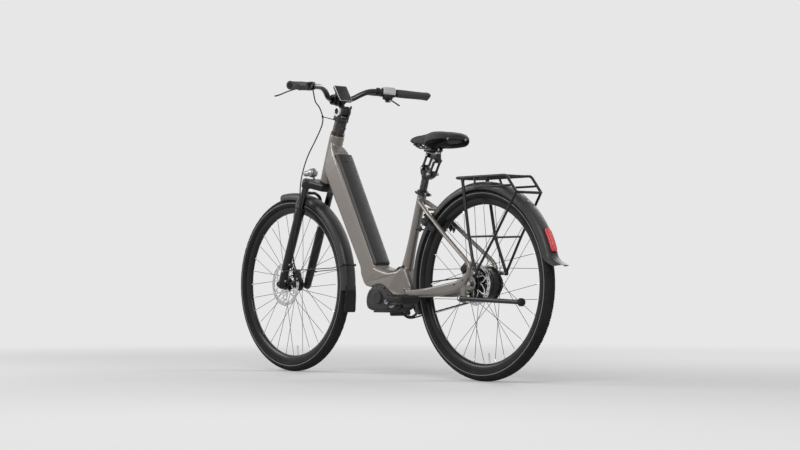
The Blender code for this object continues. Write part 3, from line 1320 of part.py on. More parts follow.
def link_top(pivot):
    return (pivot[0] + LINK_REACH[0], pivot[1] + LINK_REACH[1])


def make_seatpost():
    """Post with a forked head that holds the lower pivots of the parallelogram."""
    foot, top, along = seat_tube_frame()
    low = foot + along * 0.105
    tube = rod(low, top + along * 0.0775, POST_RADIUS, sides=16)
    head = plate([(0.343, 0.775), (0.346, 0.800), (0.336, 0.814), (0.320, 0.812), (0.300, 0.790),
                  (0.279, 0.785),
                  (0.276, 0.770), (0.290, 0.760), (0.310, 0.756)], 0.0115, edge=0.003)
    shape = union(tube, head)
    holes = [pin(LOWER_PIVOT_FRONT, clear(0.0036, 8), -0.05, 0.05, 8),
             pin(LOWER_PIVOT_REAR, clear(0.0036, 8), -0.05, 0.05, 8)]
    return part("seatpost", cut(shape, *holes), BLACK_METAL, top)


def make_post_link(name, pivot, pin_half):
    """Pair of side arms joined by their lower pin."""
    upper = link_top(pivot)
    arms = []
    for side in (1, -1):
        low, high = sorted((side * (0.0115 + GAP), side * 0.0170))
        start, end = point(pivot[0], side * 0.01445, pivot[1]), point(upper[0], side * 0.01445, upper[1])
        web = block((start + end) / 2, ((end - start).length, 0.0100, 0.0050), end - start, SIDE)
        arms.append(union(web, pin(pivot, 0.0068, low, high), pin(upper, 0.0068, low, high)))
    shape = union(joined(arms), pin(pivot, 0.0036, -pin_half, pin_half))
    shape = union(shape, pin(pivot, 0.0058, 0.0165, pin_half), pin(pivot, 0.0058, -pin_half, -0.0165))
    return part(name, cut(shape, pin(upper, clear(0.0036, 8), -0.05, 0.05, 8)), BLACK_METAL,
                (pivot[0], 0.0, pivot[1]))


def make_post_head():
    """Moving head on the upper pivots, with the clamp for the saddle rails."""
    front, rear = link_top(LOWER_PIVOT_FRONT), link_top(LOWER_PIVOT_REAR)
    plate_shape = plate([(front[0] + 0.010, front[1] - 0.006), (front[0] + 0.012, front[1] + 0.018),
                         (rear[0] - 0.008, rear[1] + 0.036), (rear[0] - 0.010, rear[1] - 0.004),
                         (rear[0] + 0.004, rear[1] - 0.009)], 0.0110, edge=0.003)
    pins = [pin(front, 0.0036, -0.0200, 0.0200), pin(rear, 0.0036, -0.0200, 0.0200)]
    cradle_height = 0.8735
    cradle = block((0.283, 0.0, cradle_height - 0.006), (0.046, 0.062, 0.012), edge=0.003, steps=1)
    shape = union(plate_shape, *pins)
    shape = union(shape, cradle)
    grooves = [rod((0.2, side * 0.022, cradle_height + 0.0005),
                   (0.4, side * 0.022, cradle_height + 0.0005), clear(0.0036, 8), sides=8)
               for side in (1, -1)]
    return part("post_head", cut(shape, *grooves), BLACK_METAL, (front[0], 0.0, front[1]))


def make_saddle_rails():
    """Two rails under the saddle, joined at the nose."""
    height = 0.8740
    left = [point(0.378, 0.012, 0.893), point(0.352, 0.018, 0.880), point(0.326, 0.022, height),
            point(0.236, 0.022, height), point(0.205, 0.034, 0.884), point(0.176, 0.046, 0.893)]
    full = left[::-1] + [point(p.x, -p.y, p.z) for p in left]
    clamp_top = block((0.283, 0.0, height + 0.0045), (0.036, 0.056, 0.005), edge=0.001, steps=1)
    rails = wire(rounded_path(full, 0.012, 1), 0.0035)
    return part("saddle_rails", union(rails, clamp_top), STEEL, (0.283, 0.0, height))


def make_saddle():
    """Padded saddle: wide crowned tail, drawn-in waist, narrow nose, turned-down skirt."""
    rows = []
    length = SADDLE_NOSE - SADDLE_TAIL
    for t, half, top, low in ((0.0, 0.052, 0.914, 0.893), (0.05, 0.083, 0.927, 0.876),
                              (0.16, 0.094, 0.932, 0.862), (0.32, 0.088, 0.931, 0.862),
                              (0.46, 0.066, 0.926, 0.872), (0.60, 0.040, 0.921, 0.880),
                              (0.76, 0.028, 0.919, 0.886), (0.90, 0.024, 0.918, 0.888),
                              (0.975, 0.018, 0.914, 0.892), (1.0, 0.009, 0.909, 0.898)):
        x = SADDLE_TAIL + length * t
        shoulder = top - (top - low) * 0.28
        channel = 0.0035 if 0.05 < t < 0.9 else 0.0
        section = [(-half * 0.86, low), (-half, low + (top - low) * 0.35), (-half * 0.93, shoulder),
                   (-half * 0.66, top - 0.003), (-half * 0.25, top), (0.0, top - channel)]
        section += [(-y, z) for y, z in reversed(section[:-1])]
        section += [(half * 0.45, low + 0.010), (-half * 0.45, low + 0.010)]
        rows.append([point(x, y, z) for y, z in section])
    shape = loft(rows)
    soft = shape.modifiers.new("soft", "SUBSURF")
    soft.levels = 1
    soft.render_levels = 1
    shape.data = evaluated_mesh(shape)
    shape.modifiers.clear()
    hollow = loft([rounded_section((x, 0.0, 0.872), SIDE, (0, 0, 1), half, 0.026, 0.006, 1)
                   for x, half in ((0.160, 0.054), (0.250, 0.054), (0.320, 0.030), (0.392, 0.0175))])
    return part("saddle", cut(shape, hollow), RUBBER, (0.283, 0.0, 0.90))


# Kickstand, lock, hose

def make_kickstand():
    """Folded side stand: eye on its pivot, tube and rubber foot."""
    pivot = point(STAND_PIVOT[0], STAND_SIDE, STAND_PIVOT[1])
    tip = pivot + point(-STAND_LENGTH, 0.0, -0.012)
    eye = rod(pivot - STAND_AXIS * STAND_INNER, pivot + STAND_AXIS * 0.0080, 0.0120, sides=14)
    leg = rod(pivot + point(-0.004, 0.0, 0.0), tip, 0.0092, 0.0082, sides=16)
    foot = rod(tip + point(0.012, 0.0, 0.0005), tip + point(-0.006, 0.0, -0.0002), 0.0145, sides=16)
    return part("kickstand", union(eye, leg, foot), BLACK_METAL, pivot)


LOCK_ANGLE = 40.2
LOCK_REACH = 0.333
LOCK_RADIUS = 0.056
LOCK_ABOVE = 0.0100
SHACKLE_RADIUS = 0.0040
LOCK_UPWARD = direction(arc_point(REAR_AXLE, 1.0, LOCK_ANGLE) - REAR_AXLE)
LOCK_AXIS = direction(point(-LOCK_UPWARD.z, 0.0, LOCK_UPWARD.x))
LOCK_CENTRE = REAR_AXLE + LOCK_UPWARD * LOCK_REACH + LOCK_AXIS * LOCK_ABOVE


def on_lock(angle, radius, above=0.0):
    """A point on the lock's ring, which stands across the tyre; zero degrees is at the left."""
    turn = radians(angle)
    return LOCK_CENTRE + SIDE * radius * cos(turn) + LOCK_UPWARD * radius * sin(turn) + LOCK_AXIS * above


def make_lock_body():
    """Horseshoe housing, grooved below for its shackle, with the barrel at its left end."""
    section = [(-0.0088, -0.0100), (-0.0088, 0.0100), (0.0088, 0.0100), (0.0088, -0.0100),
               (0.0060, -0.0100), (0.0060, 0.0056), (-0.0056, 0.0056), (-0.0056, -0.0100)]
    rows = []
    for step in range(11):
        angle = -34.0 + 248.0 * step / 10
        rows.append([on_lock(angle, LOCK_RADIUS + out, above) for out, above in section])
    shape = loft(rows)
    barrel = block(on_lock(14.0, LOCK_RADIUS + 0.0135, 0.0), (0.030, 0.0125, 0.0196), LOCK_UPWARD,
                   LOCK_AXIS, 0.002, 1)
    hole = rod(on_lock(14.0, LOCK_RADIUS + 0.0135, -0.0140), on_lock(14.0, LOCK_RADIUS + 0.0135, 0.0040),
               clear(0.0045, 10), sides=10)
    return part("lock_body", cut(union(shape, barrel), hole), BLACK_PLASTIC, LOCK_CENTRE)


def make_lock_shackle():
    """Steel bow that runs round in the housing, with the knob that draws it."""
    bow = wire([on_lock(84.0 + 124.0 * step / 9, LOCK_RADIUS) for step in range(10)], SHACKLE_RADIUS)
    knob = rod(on_lock(90.0, LOCK_RADIUS), on_lock(90.0, LOCK_RADIUS, -0.0200), 0.0040, 0.0050)
    return part("lock_shackle", union(bow, knob), STEEL, LOCK_CENTRE)


def make_lock_key():
    barrel = rod(on_lock(14.0, LOCK_RADIUS + 0.0135, -0.0115), on_lock(14.0, LOCK_RADIUS + 0.0135, 0.0036),
                 0.0045, sides=10)
    blade = block(on_lock(14.0, LOCK_RADIUS + 0.0135, -0.0180), (0.0050, 0.0016, 0.0150), LOCK_UPWARD,
                  LOCK_AXIS)
    bow = block(on_lock(14.0, LOCK_RADIUS + 0.0135, -0.0330), (0.0180, 0.0050, 0.0190), LOCK_UPWARD,
                LOCK_AXIS, 0.002, 1)
    return part("lock_key", union(barrel, blade, bow), BLACK_PLASTIC, on_lock(14.0, LOCK_RADIUS + 0.0135))


def hose_route():
    """Stations of the front brake hose, from the left lever housing down to the caliper."""
    port = LEFT_BRAKE_SEAT - 0.034 - 2 * GAP
    lever = [on_grip(port, 1, -0.006, 0.028), on_grip(port - 0.020, 1, -0.0085, 0.029)]
    bend = [point(BAR_CLAMP[0] + x, y, BAR_CLAMP[1] + z)
            for x, y, z in ((-0.0144, 0.1250, -0.0145), (0.0000, 0.0930, -0.0360), (0.0200, 0.0620, -0.0665),
                            (0.0360, 0.0490, -0.0915), (0.0547, 0.0460, -0.1195))]
    middle = [on_fork(0.6111, 0.0692, 0.0500), on_fork(0.5613, 0.0790, 0.0560),
              on_fork(0.5219, 0.0805, 0.0620), on_fork(0.4861, 0.0711, 0.0720),
              on_fork(0.4559, 0.0578, 0.0820), on_fork(0.4197, 0.0391, 0.0910)]
    fork = [on_fork(0.370, 0.0230, 0.0900), on_fork(0.320, 0.0155, 0.0862), on_fork(0.250, 0.0125, 0.0830),
            on_fork(0.170, 0.0090, 0.0770), on_fork(0.125, 0.0060, 0.0640)]
    return lever + bend + middle + fork + [caliper_port(0.018), caliper_port(GAP)]


def smooth_route(places, count):
    """Evenly spread points on a smooth curve through the given places."""
    places = [Vector(p) for p in places]
    dense = []
    for index in range(len(places) - 1):
        p0 = places[max(index - 1, 0)]
        p1, p2 = places[index], places[index + 1]
        p3 = places[min(index + 2, len(places) - 1)]
        for step in range(12):
            t = step / 12
            dense.append(0.5 * ((2 * p1) + (p2 - p0) * t + (2 * p0 - 5 * p1 + 4 * p2 - p3) * t * t
                                + (3 * p1 - p0 - 3 * p2 + p3) * t ** 3))
    dense.append(places[-1])
    lengths = [0.0]
    for first, second in zip(dense, dense[1:]):
        lengths.append(lengths[-1] + (second - first).length)
    made = []
    cursor = 0
    for step in range(count):
        target = lengths[-1] * step / (count - 1)
        while cursor < len(lengths) - 2 and lengths[cursor + 1] < target:
            cursor += 1
        share = (target - lengths[cursor]) / max(lengths[cursor + 1] - lengths[cursor], 1e-9)
        made.append(dense[cursor].lerp(dense[cursor + 1], share))
    return made


def build():
    make_head_tube()
    make_down_tube()
    make_battery()
    make_motor_bracket()
    make_motor_unit()
    make_seat_tube()
    make_seat_clamp()
    make_clamp_lever()
    make_rear_triangle(1)
    make_rear_triangle(-1)
    make_rear_axle()
    for name, axle in (("front", FRONT_AXLE), ("rear", REAR_AXLE)):
        make_tyre(name + "_tyre", axle)
        make_rim(name + "_rim", axle)
    make_hub("front_hub", FRONT_AXLE, FRONT_HUB_RADIUS, FRONT_FLANGE_RADIUS, FRONT_FLANGE_SPAN,
             (-0.040, 0.040))
    make_hub("rear_hub", REAR_AXLE, REAR_HUB_RADIUS, REAR_FLANGE_RADIUS, REAR_FLANGE_SPAN, (-0.043, 0.036))
    make_rotor("front_rotor", FRONT_AXLE, FRONT_ROTOR_RADIUS, 0.020, ROTOR_PLANE)
    make_rotor("rear_rotor", REAR_AXLE, REAR_ROTOR_RADIUS, 0.020, ROTOR_PLANE)
    make_front_guard()
    make_rear_guard()
    make_rear_light()
    make_fork_crown()
    make_fork_lowers()
    make_stem()
    make_stem_arm()
    make_handlebar()
    for name, side in (("left", 1), ("right", -1)):
        make_grip("grip_" + name, side)
        make_lever_housing("brake_housing_" + name, side)
        make_brake_lever("brake_lever_" + name, side)
    make_shifter()
    make_display()
    make_headlight()
    make_caliper("front_caliper", FRONT_AXLE, *FRONT_CALIPER, 0.016)
    make_caliper("rear_caliper", REAR_AXLE, *REAR_CALIPER, 0.013)
    make_rack()
    for side in (1, -1):
        make_crank(side)
        make_pedal(side)
    make_belt_ring()
    make_rear_sprocket()
    make_belt()
    make_seatpost()
    make_post_link("post_link_front", LOWER_PIVOT_FRONT, 0.0225)
    make_post_link("post_link_rear", LOWER_PIVOT_REAR, 0.0290)
    make_post_head()
    make_saddle_rails()
    make_saddle()
    make_kickstand()
    make_lock_body()
    make_lock_shackle()
    make_lock_key()
    make_shift_lever()
    make_remote()
    make_remote_key()
    part("front_hose", wire(smooth_route(hose_route(), 38), 0.0025), RUBBER, hose_route()[0])


build()
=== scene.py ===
"""Looks of a step-through electric bicycle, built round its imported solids. Metres, +X forward, +Y left, +Z up."""
from math import acos, atan2, cos, pi, radians, sin

import bmesh
import bpy
from mathutils import Matrix, Vector
from mathutils.bvhtree import BVHTree


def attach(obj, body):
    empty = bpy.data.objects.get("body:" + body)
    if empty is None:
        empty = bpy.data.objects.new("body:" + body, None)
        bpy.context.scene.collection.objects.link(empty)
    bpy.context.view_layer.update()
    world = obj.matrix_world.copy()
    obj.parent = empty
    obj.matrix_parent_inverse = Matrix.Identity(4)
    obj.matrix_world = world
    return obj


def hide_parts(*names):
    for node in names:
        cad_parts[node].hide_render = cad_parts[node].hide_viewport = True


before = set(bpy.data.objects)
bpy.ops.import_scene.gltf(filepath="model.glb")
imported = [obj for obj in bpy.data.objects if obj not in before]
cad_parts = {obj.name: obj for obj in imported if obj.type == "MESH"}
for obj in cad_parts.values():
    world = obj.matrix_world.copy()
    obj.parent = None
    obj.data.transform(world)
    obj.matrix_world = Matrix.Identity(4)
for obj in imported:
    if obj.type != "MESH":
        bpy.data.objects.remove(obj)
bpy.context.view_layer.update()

# The studio: a pale seamless floor, a pale backdrop and soft lamps, with the camera low behind the left side.
# Every place below is measured forward from the rear axle, left from the middle and up from the floor.
REAR_AXLE_X = -0.547
CAMERA_PLACE = (-5.2538, 4.8847, 0.3488)
CAMERA_TILT = 91.8095
CAMERA_TURN = -130.4351
CAMERA_LENS = 87.598
SENSOR_WIDTH = 36.0
PALE_FLOOR = (0.66, 0.66, 0.665)
PALE_WALL = (0.8, 0.8, 0.805)
AIR_GLOW = 0.42
FLOOR_REACH = 60.0
FADE_BEGIN, FADE_END, FADE_NEAR = 1.1, 4.6, 0.12
LEFT = Vector((0.0, 1.0, 0.0))


def at(x, y, z):
    return Vector((x + REAR_AXLE_X, y, z))


def add_camera():
    lens = bpy.data.cameras.new("view_camera")
    lens.lens = CAMERA_LENS
    lens.sensor_width = SENSOR_WIDTH
    lens.sensor_fit = "HORIZONTAL"
    lens.clip_end = 200.0
    camera = bpy.data.objects.new("view_camera", lens)
    camera.location = at(*CAMERA_PLACE)
    camera.rotation_euler = (radians(CAMERA_TILT), 0.0, radians(CAMERA_TURN))
    bpy.context.collection.objects.link(camera)
    bpy.context.scene.camera = camera


def add_lamp(name, place, aim, size, power):
    light = bpy.data.lights.new(name, "AREA")
    light.shape = "RECTANGLE"
    light.size, light.size_y = size
    light.energy = power
    lamp = bpy.data.objects.new(name, light)
    lamp.location = place
    lamp.rotation_euler = (Vector(aim) - Vector(place)).to_track_quat("-Z", "Y").to_euler()
    bpy.context.collection.objects.link(lamp)


def add_node(tree, kind, values=None, **settings):
    """A shader node with its settings, and its inputs set to values or linked to other nodes' outputs."""
    node = tree.nodes.new("ShaderNode" + kind)
    for key, value in settings.items():
        setattr(node, key, value)
    for key, value in (values or {}).items():
        if isinstance(value, bpy.types.NodeSocket):
            tree.links.new(value, node.inputs[key])
        else:
            node.inputs[key].default_value = value
    return node


def seen_by_eye(tree):
    """One for rays from the camera, and for those that metal and glass send on."""
    rays = add_node(tree, "LightPath").outputs
    first = add_node(tree, "Math", {0: rays["Is Camera Ray"], 1: rays["Is Glossy Ray"]}, operation="MAXIMUM")
    return add_node(tree, "Math", {0: first.outputs[0], 1: rays["Is Transmission Ray"]}, operation="MAXIMUM").outputs[0]


def light_world():
    world = bpy.data.worlds.new("studio_air")
    bpy.context.scene.world = world
    world.use_nodes = True
    tree = world.node_tree
    tree.nodes.clear()
    glow = add_node(tree, "Background", {"Color": (1.0, 1.0, 1.0, 1.0), "Strength": AIR_GLOW})
    wall = add_node(tree, "Background", {"Color": (*PALE_WALL, 1.0), "Strength": 1.0})
    mix = add_node(tree, "MixShader", {"Fac": seen_by_eye(tree), 1: glow.outputs[0], 2: wall.outputs[0]})
    add_node(tree, "OutputWorld", {"Surface": mix.outputs[0]})


def lay_floor():
    """Matt floor that brightens into the backdrop a few metres from the bicycle."""
    form = bmesh.new()
    bmesh.ops.create_circle(form, cap_ends=True, segments=64, radius=FLOOR_REACH)
    mesh = bpy.data.meshes.new("studio_floor")
    form.to_mesh(mesh)
    form.free()
    floor = bpy.data.objects.new("studio_floor", mesh)
    bpy.context.collection.objects.link(floor)
    ground = bpy.data.materials.new("studio_floor")
    ground.use_nodes = True
    tree = ground.node_tree
    tree.nodes.clear()
    place = add_node(tree, "TexCoord").outputs["Object"]
    reach = add_node(tree, "VectorMath", {0: place}, operation="LENGTH").outputs["Value"]
    fade = add_node(tree, "MapRange", {"Value": reach, "From Min": FADE_BEGIN, "From Max": FADE_END,
                                       "To Min": FADE_NEAR}, interpolation_type="SMOOTHSTEP")
    seen = add_node(tree, "Math", {0: fade.outputs[0], 1: seen_by_eye(tree)}, operation="MULTIPLY")
    cloth = add_node(tree, "BsdfDiffuse", {"Color": (*PALE_FLOOR, 1.0)})
    glow = add_node(tree, "Emission", {"Color": (*PALE_WALL, 1.0)})
    mix = add_node(tree, "MixShader", {"Fac": seen.outputs[0], 1: cloth.outputs[0], 2: glow.outputs[0]})
    add_node(tree, "OutputMaterial", {"Surface": mix.outputs[0]})
    mesh.materials.append(ground)


bpy.context.scene.view_settings.view_transform = "Standard"
add_camera()
light_world()
lay_floor()
add_lamp("key_lamp", at(-1.9, 2.6, 2.7), at(0.5, 0.0, 0.5), (2.4, 1.6), 78.0)
add_lamp("front_lamp", at(3.0, 2.2, 2.2), at(0.7, 0.0, 0.5), (2.0, 1.6), 52.0)
add_lamp("far_lamp", at(0.8, -3.2, 2.4), at(0.5, 0.0, 0.5), (2.6, 1.4), 50.0)

# Frame: an aluminium weldment of head tube, battery down tube, motor shell, seat tube and stays, sprayed in one
# champagne metallic coat. The tubes are laid out as closed forms, then grown together with ground-down weld seams.
HEAD_ANGLE = radians(68.0)
STEER_UP = Vector((-cos(HEAD_ANGLE), 0.0, sin(HEAD_ANGLE)))
STEER_FORWARD = Vector((sin(HEAD_ANGLE), 0.0, cos(HEAD_ANGLE)))
AXLE_HEIGHT = 0.358
FORK_OFFSET = 0.041
REAR_AXLE = at(0.0, 0.0, AXLE_HEIGHT)
FRONT_AXLE = at(1.153, 0.0, AXLE_HEIGHT)
STEER_FOOT = FRONT_AXLE - FORK_OFFSET * STEER_FORWARD
HEAD_TOP = 0.6647
HEAD_FOOT = 0.4604
HEAD_BORE = 0.0195
BAY_FOOT = at(0.585, 0.0, 0.431)
BAY_UP = Vector((0.829 - 0.585, 0.0, 0.878 - 0.431)).normalized()
BAY_OUT = Vector((-BAY_UP.z, 0.0, BAY_UP.x))
BAY_LENGTH = 0.5093
BAY_HALF = 0.0405
SEAT_TUBE_FOOT = at(0.432, 0.0, 0.425)
SEAT_TUBE_TOP = at(0.343, 0.0, 0.714)
SEAT_ALONG = (SEAT_TUBE_TOP - SEAT_TUBE_FOOT).normalized()
CRANK_CENTRE = at(0.475, 0.0, 0.29)
STAY_SIDE = 0.066
SEAT_BORE = 0.0154
STAND_PIVOT = at(0.036, 0.0855, 0.305)
STAND_AXIS = Vector((0.0, 1.0, 0.28)).normalized()
WELD_GRAIN = 0.0024


def on_fork(up, forward, side=0.0):
    return STEER_FOOT + STEER_UP * up + STEER_FORWARD * forward + LEFT * side


def on_bay(along, out, side=0.0):
    return BAY_FOOT + BAY_UP * along + BAY_OUT * out + LEFT * side


def square_to(axis):
    """Two directions square to an axis and to each other."""
    up = Vector(axis).normalized()
    front = Vector((1.0, 0.0, 0.0)) - up * up.x
    if front.length < 0.05:
        front = Vector((0.0, 0.0, 1.0)) - up * up.z
    front.normalize()
    return front, up.cross(front)


def skin(form, rows, finish=0):
    """Faces between neighbouring rows of points; a row of one point is a pole."""
    for low, high in zip(rows, rows[1:]):
        count = max(len(low), len(high))
        for k in range(count):
            after = (k + 1) % count
            if len(low) == 1:
                corners = (low[0], high[after], high[k])
            elif len(high) == 1:
                corners = (low[k], low[after], high[0])
            else:
                corners = (low[k], low[after], high[after], high[k])
            form.faces.new(corners).material_index = finish


def mm(*sizes):
    """Pairs in metres, such as radius and height, from a row of millimetres."""
    return [(a / 1000, b / 1000) for a, b in zip(sizes[::2], sizes[1::2])]


def turned(form, profile, centre, axis, steps=40, finish=0, closed=False):
    """Spins an outline of radius and height pairs about an axis, as on a lathe."""
    up = Vector(axis).normalized()
    front, side = square_to(up)
    rows = []
    for radius, height in profile:
        middle = Vector(centre) + up * height
        if radius < 1e-6:
            rows.append([form.verts.new(middle)])
            continue
        turns = [2.0 * pi * k / steps for k in range(steps)]
        rows.append([form.verts.new(middle + (front * cos(t) + side * sin(t)) * radius) for t in turns])
    if closed:
        rows.append(rows[0])
    skin(form, rows, finish)


def tube(form, path, radius, sides=10, finish=0, flat=1.0, broad=None, closed=False):
    """A drawn tube along a path, its radius one number or one for each point; flat squashes it square to broad."""
    path = [Vector(p) for p in path]
    count = len(path)
    radii = [radius] * count if isinstance(radius, float) else list(radius)
    if closed:
        ways = [(path[(k + 1) % count] - path[k - 1]).normalized() for k in range(count)]
    else:
        ways = [(path[min(k + 1, count - 1)] - path[max(k - 1, 0)]).normalized() for k in range(count)]
    side = Vector(broad) if broad is not None else square_to(ways[0])[0]
    rows = []
    for place, way, size in zip(path, ways, radii):
        side = (side - way * side.dot(way)).normalized()
        other = way.cross(side)
        turns = [2.0 * pi * (k + 0.5) / sides for k in range(sides)]
        rows.append([form.verts.new(place + (side * cos(t) + other * sin(t) * flat) * size) for t in turns])
    if closed:
        rows.append(rows[0])
    else:
        rows.insert(0, [form.verts.new(path[0] - ways[0] * radii[0] * 0.12)])
        rows.append([form.verts.new(path[-1] + ways[-1] * radii[-1] * 0.12)])
    skin(form, rows, finish)


def round_the_axle(axle, radius, degrees_up, side=0.0):
    """A point on a circle about an axle; zero degrees is forward and ninety is up."""
    turn = radians(degrees_up)
    return Vector((axle.x + radius * cos(turn), side, axle.z + radius * sin(turn)))


def made(name, form, finishes, body, *nodes, sharp=32.0, slot=None):
    """Turns a form into a finished piece that rides on its body and stands for its solids."""
    bmesh.ops.recalc_face_normals(form, faces=form.faces)
    mesh = bpy.data.meshes.new(name)
    form.to_mesh(mesh)
    form.free()
    for finish in finishes:
        mesh.materials.append(finish)
    mesh.shade_smooth()
    mesh.set_sharp_from_angle(angle=radians(sharp))
    piece = bpy.data.objects.new(name, mesh)
    bpy.context.collection.objects.link(piece)
    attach(piece, body)
    if nodes:
        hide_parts(*nodes)
    return piece


def finish_nodes(name, colour, roughness, metallic):
    """A shader and its texture space, for one finish of the bicycle."""
    material = bpy.data.materials.new(name)
    material.use_nodes = True
    tree = material.node_tree
    shader = tree.nodes["Principled BSDF"]
    shader.inputs["Base Color"].default_value = (*colour, 1.0)
    shader.inputs["Roughness"].default_value = roughness
    shader.inputs["Metallic"].default_value = metallic
    return material, tree, shader, add_node(tree, "TexCoord").outputs["Object"]


def noise_of(tree, space, scale, detail=3.0, stretch=None):
    if stretch is not None:
        space = add_node(tree, "Mapping", {"Scale": stretch, "Vector": space}).outputs[0]
    return add_node(tree, "TexNoise", {"Scale": scale, "Detail": detail, "Vector": space}).outputs["Fac"]


def vary(tree, source, low, high, socket, start=0.3, stop=0.7):
    """Spreads a texture's middle values between two numbers on a socket."""
    node = add_node(tree, "MapRange", {"Value": source, "From Min": start, "From Max": stop, "To Min": low,
                                       "To Max": high})
    tree.links.new(node.outputs[0], socket)


def tint(tree, source, first, second, socket, start=0.3, stop=0.7):
    """Blends two colours by a texture."""
    ramp = add_node(tree, "ValToRGB", {"Fac": source})
    for stop_of_ramp, position, colour in zip(ramp.color_ramp.elements, (start, stop), (first, second)):
        stop_of_ramp.position, stop_of_ramp.color = position, (*colour, 1.0)
    tree.links.new(ramp.outputs["Color"], socket)


def relief(tree, shader, source, depth, strength=1.0):
    bump = add_node(tree, "Bump", {"Distance": depth, "Strength": strength, "Height": source})
    tree.links.new(bump.outputs["Normal"], shader.inputs["Normal"])


def moulded_finish(name, colour, worn, roughness, grain, depth, metallic=0.0, coat=0.0, gleam=0.24):
    """Even finish with slow shade changes, fine grain and patchy gloss."""
    material, tree, shader, space = finish_nodes(name, colour, roughness, metallic)
    tint(tree, noise_of(tree, space, 14.0, 5.0), colour, worn, shader.inputs["Base Color"])
    vary(tree, noise_of(tree, space, 60.0, 4.0), roughness - 0.06, roughness + 0.08, shader.inputs["Roughness"])
    relief(tree, shader, noise_of(tree, space, grain, 2.0), depth)
    shader.inputs["Specular IOR Level"].default_value = gleam
    shader.inputs["Coat Weight"].default_value = coat
    shader.inputs["Coat Roughness"].default_value = 0.12
    return material


def brushed_finish(name, colour, worn, roughness, stretch):
    """Bright metal with fine machining lines."""
    material, tree, shader, space = finish_nodes(name, colour, roughness, 1.0)
    lines = noise_of(tree, space, 90.0, 3.0, stretch)
    tint(tree, lines, worn, colour, shader.inputs["Base Color"])
    vary(tree, lines, roughness - 0.05, roughness + 0.12, shader.inputs["Roughness"])
    relief(tree, shader, lines, 0.00005, 0.6)
    return material


def mirrored(places):
    """The same places on the other side of the bicycle."""
    return [Vector((p.x, -p.y, p.z)) for p in places]


def smoothed(places, steps=6, closed=False):
    """A soft curve through the given places."""
    places = [Vector(p) for p in places]
    count = len(places)
    out = []
    for k in range(count if closed else count - 1):
        if closed:
            p0, p1, p2, p3 = places[k - 1], places[k], places[(k + 1) % count], places[(k + 2) % count]
        else:
            p0, p1, p2, p3 = places[max(k - 1, 0)], places[k], places[k + 1], places[min(k + 2, count - 1)]
        for step in range(steps):
            t = step / steps
            out.append(0.5 * (2 * p1 + (p2 - p0) * t + (2 * p0 - 5 * p1 + 4 * p2 - p3) * t * t
                              + (3 * p1 - p0 - 3 * p2 + p3) * t ** 3))
    return out if closed else out + [places[-1]]


def bent(corners, reach, steps=4):
    """A route whose inner corners are rounded, as a tube bender leaves them."""
    corners = [Vector(c) for c in corners]
    path = [corners[0]]
    for before, corner, after in zip(corners, corners[1:], corners[2:]):
        entry = corner + (before - corner).normalized() * min(reach, (before - corner).length * 0.48)
        leave = corner + (after - corner).normalized() * min(reach, (after - corner).length * 0.48)
        for step in range(steps + 1):
            t = step / steps
            path.append(entry * (1 - t) ** 2 + corner * 2 * t * (1 - t) + leave * t ** 2)
    return path + [corners[-1]]


def section(centre, across, upward, half_width, half_height, corner, steps=4):
    """A rounded rectangle in the plane of two directions."""
    across, upward = Vector(across).normalized(), Vector(upward).normalized()
    places = []
    for sign_x, sign_y, begin in ((1, 1, 0), (-1, 1, 90), (-1, -1, 180), (1, -1, 270)):
        for step in range(steps + 1):
            turn = radians(begin + 90 * step / steps)
            places.append(Vector(centre) + across * (sign_x * (half_width - corner) + corner * cos(turn)) + upward
                          * (sign_y * (half_height - corner) + corner * sin(turn)))
    return places


def loft(form, sections, finish=0):
    """A closed solid through rings of as many points."""
    rows = [[form.verts.new(place) for place in ring] for ring in sections]
    skin(form, rows, finish)
    form.faces.new(list(reversed(rows[0]))).material_index = finish
    form.faces.new(rows[-1]).material_index = finish


def drawn_in(outline, depth):
    """A flat outline in the middle plane, moved inward by a depth."""
    outline = [Vector(p) for p in outline]
    area = sum(a.x * b.z - b.x * a.z for a, b in zip(outline, outline[1:] + outline[:1]))
    out = []
    for k, place in enumerate(outline):
        way = outline[(k + 1) % len(outline)] - outline[k - 1]
        inward = Vector((-way.z, 0.0, way.x)).normalized() * (1.0 if area > 0 else -1.0)
        out.append(place + inward * depth)
    return out


def slab(form, outline, low, high, finish=0, edge=0.0):
    """A flat outline in the middle plane, drawn from one side position to another, with eased edges."""
    steps = ((0.0, 0.0),) if edge == 0.0 else ((0.0, edge), (edge * 0.3, edge * 0.3), (edge, 0.0))
    rows = [[p + LEFT * (low + rise) for p in drawn_in(outline, inset)] for rise, inset in steps]
    rows += [[p + LEFT * (high - rise) for p in drawn_in(outline, inset)] for rise, inset in reversed(steps)]
    loft(form, rows, finish)


def brick(form, centre, size, along=(1.0, 0.0, 0.0), up=(0.0, 0.0, 1.0), edge=0.002, finish=0):
    """A block with rounded edges; its size runs along, across and up."""
    up = Vector(up).normalized()
    along = (Vector(along) - up * Vector(along).dot(up)).normalized()
    length, width, height = (s / 2 for s in size)
    edge = min(edge, length * 0.95, width * 0.95, height * 0.95)
    arc = [(edge * (1 - cos(radians(30 * k))), edge * (1 - sin(radians(30 * k)))) for k in range(4)]
    rows = [(rise - height, inset) for rise, inset in arc] + [(height - rise, inset) for rise, inset in reversed(arc)]
    loft(form, [section(Vector(centre) + up * rise, along, up.cross(along), length - inset, width - inset,
                        max(edge * 1.2 - inset * 0.5, 0.0002), 3) for rise, inset in rows], finish)


def rod(form, start, end, radius, edge=0.0006, sides=20, finish=0, end_radius=None):
    """A straight round bar with eased ends."""
    start, end = Vector(start), Vector(end)
    far = radius if end_radius is None else end_radius
    length = (end - start).length
    edge = min(edge, radius * 0.5, far * 0.5, length * 0.3)
    turned(form, [(0.0, 0.0), (radius - edge, 0.0), (radius, edge), (far, length - edge), (far - edge, length),
                  (0.0, length)], start, end - start, sides, finish)


